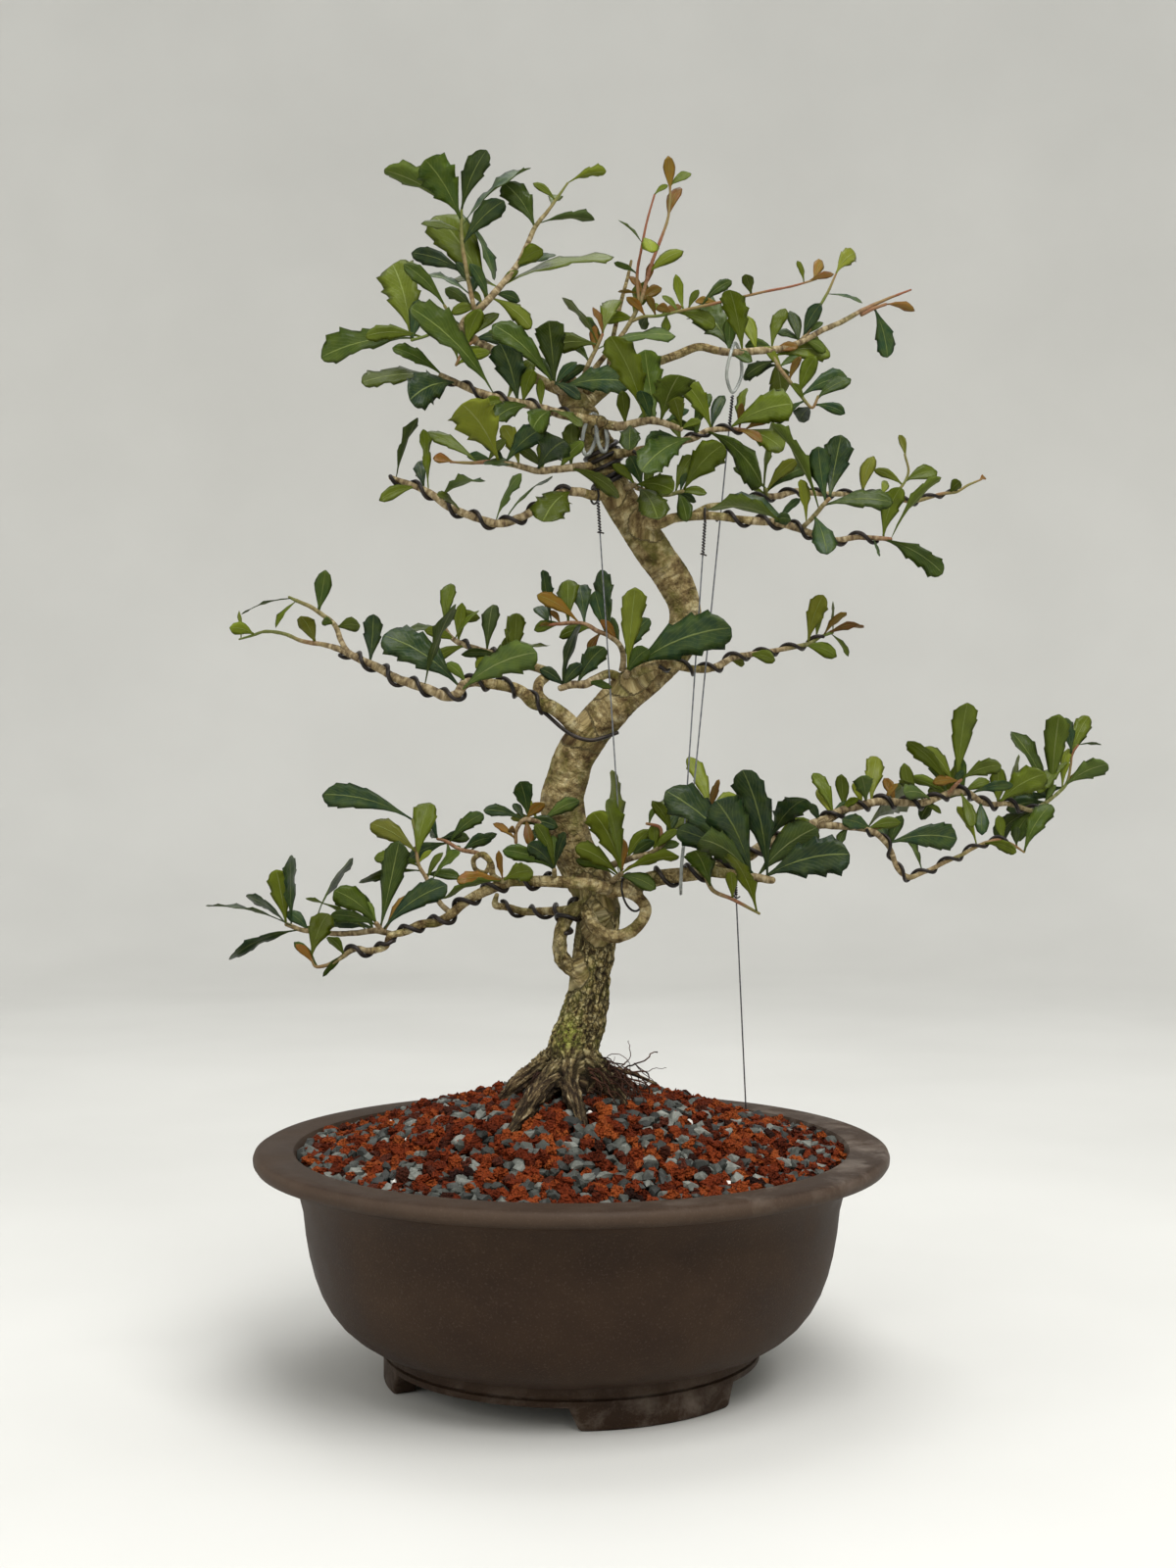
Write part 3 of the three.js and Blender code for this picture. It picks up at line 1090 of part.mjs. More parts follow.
// Wires coiled round the trained branches, [name, branch, stem, from x, to x, radius]
const coils = [
  ['wire_low_left', 'leafy_low_left_end', 0, -12, -118, 1.3],
  ['wire_mid_left', 'leafy_mid_left', 0, -14, -119, 1.2],
  ['wire_back_mid', 'leafy_back_mid', 0, -26, -60, 1.2],
  ['wire_mid_right', 'leafy_mid_right', 0, 46, 130, 1.1],
  ['wire_left_drop', 'leafy_left_drop', 0, -2, -94, 1.2],
  ['wire_left', 'leafy_left', 0, 0, -64, 1],
  ['wire_right', 'leafy_right', 0, 33, 88, 1],
  ['wire_drop_right', 'leafy_drop_right', 0, 75, 160, 1.2],
  ['wire_drop_fork', 'leafy_drop_fork', 0, 88, 200, 1],
  ['wire_low_right', 'leafy_low_right', 0, 40, 250, 1.3],
  ['wire_low_fork', 'leafy_low_right', 1, 153, 232, 1],
];
const backCoil = ['wire_back_low', -2, -37, 1.2];
const midLeftLead = [[24, -9.5, 335.5], [17, -14, 333], [10, -15.6, 331.5], [3, -15.3, 333], [-4, -13.5, 337]];
const trialPhases = 24;
const trialPitches = [1, 0.94, 1.06, 0.88, 1.12];

function coilPath(limb, from, to, wireRadius, phase, pitch) {
  const start = limb.samples[limb.sampleNear(from)].reach;
  const end = limb.samples[limb.sampleNear(to)].reach;
  const steps = Math.round(((end - start) / pitch) * coilStepsPerTurn);
  const path = [];
  for (let i = 0; i <= steps; i += 1) {
    const frame = limb.at(start + ((end - start) * i) / steps);
    const angle = phase + (i * 2 * Math.PI) / coilStepsPerTurn;
    const reach = (frame.radius + coilGap + wireRadius * 1.2) / Math.cos(Math.PI / coilStepsPerTurn);
    const place = frame.place.clone().addScaledVector(frame.normal, reach * Math.cos(angle));
    path.push(place.addScaledVector(frame.across, reach * Math.sin(angle)));
  }
  return path;
}

function pathConflict(path, wireRadius) {
  let conflict = 0;
  for (let i = 1; i < path.length; i += 1) {
    for (let k = 0; k < 3; k += 1) {
      const place = path[i - 1].clone().lerp(path[i], k / 3);
      eachBallNear(place, (ball) => {
        conflict += Math.max(0, wireRadius * 1.2 + 0.35 + ball.radius - place.distanceTo(ball.place));
      });
    }
  }
  return conflict;
}

function wireSolid(path, wireRadius) {
  const section = new THREE.Shape();
  for (let k = 0; k < 3; k += 1) {
    const angle = (k * 2 * Math.PI) / 3;
    section[k === 0 ? 'moveTo' : 'lineTo'](1.2 * wireRadius * Math.cos(angle), 1.2 * wireRadius * Math.sin(angle));
  }
  const curve = new THREE.CatmullRomCurve3(path, false, 'centripetal');
  curve.arcLengthDivisions = path.length * 8;
  return solidOf(new THREE.ExtrudeGeometry(section, { steps: path.length - 1, extrudePath: curve }));
}

function buildCoil(name, limb, from, to, wireRadius, lead = []) {
  let best = null;
  let least = Infinity;
  for (const stretch of trialPitches) {
    for (let k = 0; k < trialPhases && least > 0; k += 1) {
      const phase = (k * 2 * Math.PI) / trialPhases;
      const coil = coilPath(limb, from, to, wireRadius, phase, coilPitch * stretch);
      const path = [...lead.map((point) => seen(...point)), ...coil];
      const conflict = pathConflict(path, wireRadius);
      if (conflict < least) {
        least = conflict;
        best = path;
      }
    }
  }
  best.forEach((place, i) => {
    if (i > 0) {
      for (let k = 0; k < 4; k += 1) {
        addBall(best[i - 1].clone().lerp(place, k / 4), wireRadius * 1.2, name);
      }
    }
  });
  return wireSolid(best, wireRadius);
}

const wires = coils.map(([name, branch, stem, from, to, radius]) => {
  const lead = name === 'wire_mid_left' ? midLeftLead : [];
  return { name, shape: buildCoil(name, branchLimbs[branch][stem], from, to, radius, lead) };
});
const [backName, backFrom, backTo, backRadius] = backCoil;
wires.push({ name: backName, shape: buildCoil(backName, bareLimbs.backLow, backFrom, backTo, backRadius) });

// Guy wires, each a taut wire with a ring tied round a branch
const guyRadius = 0.5;
const guySeat = 0.5;
const ringTube = 0.6;

// A ring round a limb, moved aside where it holds a second strand as well
function ringRound(limb, x, radius, aside = [0, 0, 0]) {
  const { place, along, normal, across } = limb.samples[limb.sampleNear(x)];
  const centre = place.clone().add(new THREE.Vector3(...aside));
  const geometry = new THREE.TorusGeometry(radius, ringTube, 4, 10);
  geometry.applyQuaternion(new THREE.Quaternion().setFromUnitVectors(new THREE.Vector3(0, 0, 1), along));
  geometry.translate(centre.x, centre.y, centre.z);
  return { centre, along, normal, across, radius, shape: solidOf(geometry) };
}

function onRing(ring, target) {
  const toTarget = target.clone().sub(ring.centre);
  toTarget.addScaledVector(ring.along, -toTarget.dot(ring.along)).normalize();
  return ring.centre.clone().addScaledVector(toTarget, ring.radius);
}

function straightWire(from, to, radius) {
  const section = new THREE.Shape();
  section.moveTo(radius, 0);
  section.lineTo(0, radius);
  section.lineTo(-radius, 0);
  section.lineTo(0, -radius);
  return solidOf(new THREE.ExtrudeGeometry(section, { steps: 1, extrudePath: new THREE.LineCurve3(from, to) }));
}

// A guy runs between the two places named, or from the ring that holds it there
function buildGuy(name, rings, aims) {
  const [top, bottom] = rings.map((ring, index) => (ring ? onRing(ring, aims[index]) : aims[index]));
  for (let k = 0; k <= 120; k += 1) {
    addBall(top.clone().lerp(bottom, k / 120), guyRadius, name);
  }
  const tied = rings.filter(Boolean);
  tied.forEach((ring) => {
    for (let k = 0; k < 16; k += 1) {
      const place = ring.centre.clone().addScaledVector(ring.normal, ring.radius * Math.cos((k * Math.PI) / 8));
      addBall(place.addScaledVector(ring.across, ring.radius * Math.sin((k * Math.PI) / 8)), ringTube, name);
    }
  });
  return {
    name,
    shape: unite([straightWire(top, bottom, guyRadius), ...tied.map((ring) => ring.shape)]),
    hole: straightWire(top, bottom.clone().add(bottom.clone().sub(top).normalize()), guyRadius + guySeat),
  };
}

const dropLeftLimb = branchLimbs.leafy_left_drop[0];
const dropRightLimb = branchLimbs.leafy_drop_right[0];
const lowRightLimb = branchLimbs.leafy_low_right[0];
const guyPot = buildGuy('guy_pot', [ringRound(lowRightLimb, 84, 8.9), null], [
  seen(86, 0, 250), seen(91.5, 95, 130.1),
]);
const guys = [
  buildGuy('guy_left', [ringRound(dropLeftLimb, 12, 4.2), ringRound(lowRightLimb, 32, 10, [0, -1.5, -3.5])], [
    seen(13.5, -17, 454), seen(30, -25, 264),
  ]),
  buildGuy('guy_right_front', [ringRound(dropRightLimb, 69, 3.9), null], [
    seen(68.5, -17, 444), seen(58.4, -24.5, 279.2),
  ]),
  buildGuy('guy_right_top', [null, null], [seen(83.5, 2, 510.7), seen(61, -22, 279.4)]),
  guyPot,
];

// Clear sleeves over the bark
function buildLoop(name, points, tube, sides) {
  const curve = new THREE.CatmullRomCurve3(points.map((point) => seen(...point)), true, 'centripetal');
  curve.getPoints(40).forEach((place) => addBall(place, tube, name));
  return solidOf(new THREE.TubeGeometry(curve, 14, tube, sides, true));
}

const sleeves = [
  {
    name: 'sleeve_top_right',
    shape: buildLoop('sleeve_top_right', [
      [83.5, 2, 512], [80.5, -1, 520], [82, -2.5, 530], [85, 2, 537.5], [87.5, 6.5, 531], [88, 5, 520],
    ], 0.9, 4),
  },
  {
    name: 'sleeve_low_right',
    shape: buildLoop('sleeve_low_right', [
      [58.5, -24, 277], [57.5, -14, 268], [57, -12.6, 258], [57, -23, 251.2], [57, -34, 258], [57.5, -33, 268],
    ], 0.9, 4),
  },
];

function buildCrownSleeve() {
  const sample = trunkLimb.samples[trunkLimb.knots[32]];
  const geometry = new THREE.TorusGeometry(9.6, 1.3, 4, 14);
  geometry.applyQuaternion(new THREE.Quaternion().setFromUnitVectors(new THREE.Vector3(0, 0, 1), sample.along));
  geometry.translate(sample.place.x, sample.place.y, sample.place.z);
  return solidOf(geometry);
}

// All pieces
for (const branch of leafyBranches) {
  growLeaves(branch);
}

const wood = unite(woodLimbs.map(({ limb, sides, last }) => limb.tube(sides, 0, last)));

// A stem that grows from the trunk starts where it all but touches the wood
const seatNeighbours = [wood, ...wires.map((wire) => wire.shape)];

function seatedStem(limb, start) {
  const last = limb.samples.length - 1;
  const sides = stemSides(limb);
  let stem = limb.tube(sides, start, last);
  for (let back = seatStep; back <= seatReach; back += seatStep) {
    const longer = limb.tube(sides, start, last, 0, -back);
    if (seatNeighbours.some((shape) => longer.minGap(shape, seatReach) < takeoverGap)) {
      break;
    }
    stem = longer;
  }
  return stem;
}

const soilCuts = [trunkLimb, ...rootLimbs].map((limb) => limb.whole(limb === trunkLimb ? trunkSides : rootSides, seat));

addPiece('pot', buildPot(), 'clay', 0.75);
addPiece('drain_screen', buildScreen(), 'mesh', 0.6);
addPiece('soil', buildSoil([...soilCuts, guyPot.hole]), 'gravel', 0.95);
addPiece('trunk', wood, 'bark', 0.85);
for (const branch of leafyBranches) {
  const limbs = branchLimbs[branch.name];
  const [main, ...sideLimbs] = limbs;
  const last = main.samples.length - 1;
  const mainStem = branch.takeover > 0
    ? main.tube(stemSides(main), branch.start, last, 0, takeoverGap)
    : seatedStem(main, branch.start);
  const stems = [mainStem, ...sideLimbs.map((limb) => limb.whole(stemSides(limb)))];
  addPiece(branch.name, unite([...stems, ...branch.blades.map(bladeSolid)]), branch.colour, 0.5);
}
for (const { name, shape } of wires) {
  addPiece(name, shape, 'wire', 0.45, 0.6);
}
for (const { name, shape } of guys) {
  addPiece(name, shape, 'steel', 0.4, 0.8);
}
for (const { name, shape } of sleeves) {
  addPiece(name, shape, 'clear', 0.3);
}
addPiece('sleeve_crown', buildCrownSleeve(), 'clear', 0.3);

export default plant;
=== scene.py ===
import bpy
import math
import random
import numpy as np
from functools import partial
from mathutils import Matrix, Vector, noise
from mathutils.kdtree import KDTree


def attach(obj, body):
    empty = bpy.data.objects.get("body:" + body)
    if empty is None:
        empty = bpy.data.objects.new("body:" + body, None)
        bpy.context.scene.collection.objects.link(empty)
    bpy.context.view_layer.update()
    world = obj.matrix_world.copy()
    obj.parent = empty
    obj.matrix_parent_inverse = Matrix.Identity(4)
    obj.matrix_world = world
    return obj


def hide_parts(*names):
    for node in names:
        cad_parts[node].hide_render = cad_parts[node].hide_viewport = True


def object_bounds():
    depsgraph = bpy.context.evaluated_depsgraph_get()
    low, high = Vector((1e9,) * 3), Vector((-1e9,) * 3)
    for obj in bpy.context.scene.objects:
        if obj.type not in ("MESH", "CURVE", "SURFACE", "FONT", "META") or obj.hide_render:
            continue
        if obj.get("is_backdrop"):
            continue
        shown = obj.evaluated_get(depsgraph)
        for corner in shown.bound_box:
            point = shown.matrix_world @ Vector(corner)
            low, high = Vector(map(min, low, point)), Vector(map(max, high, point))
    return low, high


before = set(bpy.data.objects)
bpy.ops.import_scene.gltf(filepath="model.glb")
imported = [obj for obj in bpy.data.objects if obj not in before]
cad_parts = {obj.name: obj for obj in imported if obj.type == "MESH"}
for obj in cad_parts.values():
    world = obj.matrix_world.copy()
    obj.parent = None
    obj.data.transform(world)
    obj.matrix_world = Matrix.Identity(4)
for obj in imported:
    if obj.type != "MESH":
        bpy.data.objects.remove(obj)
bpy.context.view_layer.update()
mm = 0.001
plantShift = -50  # the pot's axis from the middle of the part, mm
weldGap = 1e-6  # metres; nearer points become one
print("frame loaded")

# The tree is drawn from this point: a place read in the front view spreads away from it with its depth
eye = np.array([8.53, -1133.6, 334.1])


def seen(x, y, z):
    spread = 1 - y / eye[1]
    return np.array([eye[0] + (x - eye[0]) * spread, y, eye[2] + (z - eye[2]) * spread])


def unit(v):
    return v / max(np.linalg.norm(v), 1e-12)


def randomStream(seed):
    state = seed
    while True:
        state = (state * 16807) % 2147483647
        yield state / 2147483647


def inPlace(points):  # mm about the pot's axis to metres in the part
    return (np.asarray(points, float) + [plantShift, 0, 0]) * mm


# Blender steps that are used again and again
def deselectAll():
    if bpy.context.object and bpy.context.object.mode != "OBJECT":
        bpy.ops.object.mode_set(mode="OBJECT")
    bpy.ops.object.select_all(action="DESELECT")


def pick(*objects):
    deselectAll()
    for o in objects:
        o.select_set(True)
    bpy.context.view_layer.objects.active = objects[0]


def pickPoints(piece, test):  # leaves the piece in edit mode with only those points selected
    bpy.ops.object.mode_set(mode="OBJECT")
    mesh = piece.data
    for edge in mesh.edges:
        edge.select = False
    for face in mesh.polygons:
        face.select = False
    for v in mesh.vertices:
        v.select = bool(test(v.co))
    bpy.ops.object.mode_set(mode="EDIT")
    bpy.ops.mesh.select_mode(type="VERT")


def editAll(piece):  # into edit mode with all of it selected
    pick(piece)
    bpy.ops.object.mode_set(mode="EDIT")
    bpy.ops.mesh.select_all(action="SELECT")


def endEdit(inside=False):  # faces turned outwards, or inwards, and back to object mode
    bpy.ops.mesh.select_all(action="SELECT")
    bpy.ops.mesh.normals_make_consistent(inside=inside)
    bpy.ops.object.mode_set(mode="OBJECT")


def drawProfile(profile, steps, **start):  # a ring drawn on along its section, still in edit mode
    r0, z0 = profile[0]
    deselectAll()
    bpy.ops.mesh.primitive_circle_add(vertices=steps, radius=r0 * mm, location=(0, 0, z0 * mm), **start)
    piece = bpy.context.object
    bpy.ops.object.transform_apply(location=True)
    editAll(piece)
    for (rBefore, zBefore), (r, z) in zip(profile, profile[1:]):
        bpy.ops.mesh.extrude_edges_move(TRANSFORM_OT_translate={"value": (0, 0, (z - zBefore) * mm)})
        bpy.ops.transform.resize(value=(r / rBefore, r / rBefore, 1), center_override=(0, 0, 0))
    return piece


def moveToPlant(piece):
    pick(piece)
    piece.location = (plantShift * mm, 0, 0)
    bpy.ops.object.transform_apply(location=True)


def addModifier(piece, kind, **settings):
    modifier = piece.modifiers.new(kind.lower(), kind)
    for name, value in settings.items():
        setattr(modifier, name, value)
    pick(piece)
    bpy.ops.object.modifier_apply(modifier=modifier.name)


def joinPieces(name, pieces):
    pick(*pieces)
    if len(pieces) > 1:
        bpy.ops.object.join()
    pieces[0].name = name
    pieces[0].data.name = name
    return pieces[0]


def newObject(name, data):
    made = bpy.data.objects.new(name, data)
    bpy.context.scene.collection.objects.link(made)
    return made


def meshPiece(name, points, faces):
    mesh = bpy.data.meshes.new(name)
    mesh.from_pydata([tuple(p) for p in points], [], faces)
    return newObject(name, mesh)


def pointsOf(piece):
    co = np.zeros(len(piece.data.vertices) * 3)
    piece.data.vertices.foreach_get("co", co)
    return co.reshape(-1, 3)


def setPoints(piece, co):
    piece.data.vertices.foreach_set("co", np.asarray(co, float).ravel())
    piece.data.update()


def setAttribute(piece, name, values):
    values = np.asarray(values, float)
    kind, field = ("FLOAT_VECTOR", "vector") if values.ndim == 2 else ("FLOAT", "value")
    attribute = piece.data.attributes.get(name) or piece.data.attributes.new(name, kind, "POINT")
    attribute.data.foreach_set(field, values.ravel())


def smooth(piece, degrees=180):
    pick(piece)
    if degrees < 180:
        bpy.ops.object.shade_smooth_by_angle(angle=math.radians(degrees))
    else:
        bpy.ops.object.shade_smooth()


def tubes(name, paths, sideSteps=2, cyclic=False):
    # one drawn curve per path, [(place in mm, radius in mm), ...], made round and turned into a mesh
    curve = bpy.data.curves.new(name, "CURVE")
    curve.dimensions = "3D"
    curve.bevel_depth = mm
    curve.bevel_resolution = sideSteps
    curve.use_fill_caps = not cyclic
    curve.twist_mode = "MINIMUM"
    for path in paths:
        spline = curve.splines.new("POLY")
        spline.use_cyclic_u = cyclic
        spline.points.add(len(path) - 1)
        places = inPlace([place for place, radius in path])
        for point, place, (at, radius) in zip(spline.points, places, path):
            point.co = (*place, 1)
            point.radius = radius
    pick(newObject(name, curve))
    bpy.ops.object.convert(target="MESH")
    piece = bpy.context.object
    editAll(piece)
    bpy.ops.mesh.remove_doubles(threshold=weldGap)
    endEdit()
    return piece


def roundedEnd(path):  # a tube's end closes in over its last two steps
    (before, r0), (last, r1) = path[-2], path[-1]
    along = unit(last - before)
    return path + [(last + along * r1 * 0.45, r1 * 0.8), (last + along * r1 * 0.7, r1 * 0.35)]


# The tree as read from the front, mm: [x, depth, z, radius] along each limb
trunkPoints = [
    [6, 0, 100, 17], [3, 0, 128, 19], [1, 0, 150, 17], [1, 0, 160, 15.5], [1, 0, 170, 13.8],
    [4, 0, 180, 12.8], [7, 0, 190, 11.8], [9, 0, 200, 11.2], [10, 0, 212, 10.8], [12, 0, 225, 11],
    [14, 0, 238, 11.5], [12, 1, 252, 11.8], [6, 2, 264, 11.8], [0, 2, 276, 11.8], [-3, 2, 288, 11.5],
    [-5, 1, 300, 11.5], [-2, 0, 312, 11], [1, -1, 322, 10.8], [7, -2, 332, 10.5], [15, -3, 342, 10.5],
    [24, -4, 352, 10.2], [34, -4, 361, 10], [46, -3, 371, 9.6], [56, -1, 382, 9.2], [59, 0, 394, 8.6],
    [58, 1, 404, 8.6], [52, 2, 416, 9.4], [44, 2, 428, 9.6], [36, 2, 440, 9.4], [28, 2, 452, 9.2],
    [21, 1, 464, 8.8], [17, 0, 476, 8.2], [14, -1, 486, 7.6], [8, -1, 497, 7.4], [1, 0, 508, 7.4],
    [-2, 0, 516, 6.4], [-3, 0, 521, 4],
]
rootPoints = [[
    [-4, -6, 162, 7], [-13, -22, 151, 6.5], [-20, -38, 143, 5.5], [-27, -54, 133, 4], [-33, -66, 126, 2.5],
], [
    [-1, -8, 162, 6], [-1, -22, 152, 5.2], [1, -36, 143, 5], [4, -48, 136, 4.2], [6, -58, 126, 3],
], [
    [-8, 0, 166, 7], [-18, -4, 159, 6], [-27, -8, 152, 5], [-36, -12, 144, 3.5],
], [
    [-6, 8, 164, 7], [-20, 24, 155, 5], [-32, 40, 146, 3.5],
], [
    [-7, -20, 156, 2], [-14, -28, 152, 1.8], [-22, -36, 146, 1.5], [-29, -44, 140, 1.2],
], [
    [10, -4, 164, 7], [17, -10, 156, 5.5], [22, -16, 148, 4.5], [28, -24, 140, 3],
], [
    [8, 8, 164, 7], [20, 18, 156, 5], [32, 30, 149, 3.5], [42, 40, 142, 2.5],
], [
    [0, 10, 164, 7], [-2, 26, 154, 5.5], [-4, 44, 144, 3.5],
], [
    [8, 0, 168, 1.6], [22, -2, 160, 1.2], [32, 0, 157, 1], [44, 4, 152, 0.8],
]]
# Bare wood above the soil: curls, loops, the stub, and the wired bare branch
bareWood = {
    "curl": [
        [8, -8, 243, 4.2], [10, -14, 237, 3.8], [15, -17, 231.5, 3.6], [22, -18, 229, 3.5],
        [30, -18, 231, 3.4], [36, -17, 236.5, 3.3], [38.5, -16, 244, 3.2], [34, -16, 250, 3.2],
        [27, -15, 253, 3.2], [20, -12, 252, 3.2],
    ],
    "leftLoop": [
        [6, -6, 245, 4.2], [0, -9, 242, 4], [-4, -10, 236, 3.8], [-6, -10, 228, 3.8], [-5.5, -8, 220, 4],
        [-2, -5, 214, 4], [3, -2, 210, 3.5],
    ],
    "stub": [[14, -1, 491, 4], [15, -2, 494, 3.5], [15, -12, 497, 3.4]],
    "backLow": [
        [6, 8, 246, 3.2], [0, 26, 243, 2.8], [-9, 42, 242.5, 2.5], [-18, 50, 242, 2.3],
        [-26, 54, 242.2, 2.2], [-34, 57, 244.5, 2.1], [-40, 58, 245.5, 2], [-39, 58, 251, 1.4],
    ],
    "whip": [
        [-2, 1, 510, 1.8], [16, 3, 516, 1.6], [21, 6, 538, 1.3], [25, 8, 556, 1.1], [29, 10, 571, 0.9],
        [31, 11, 580, 0.7],
    ],
}
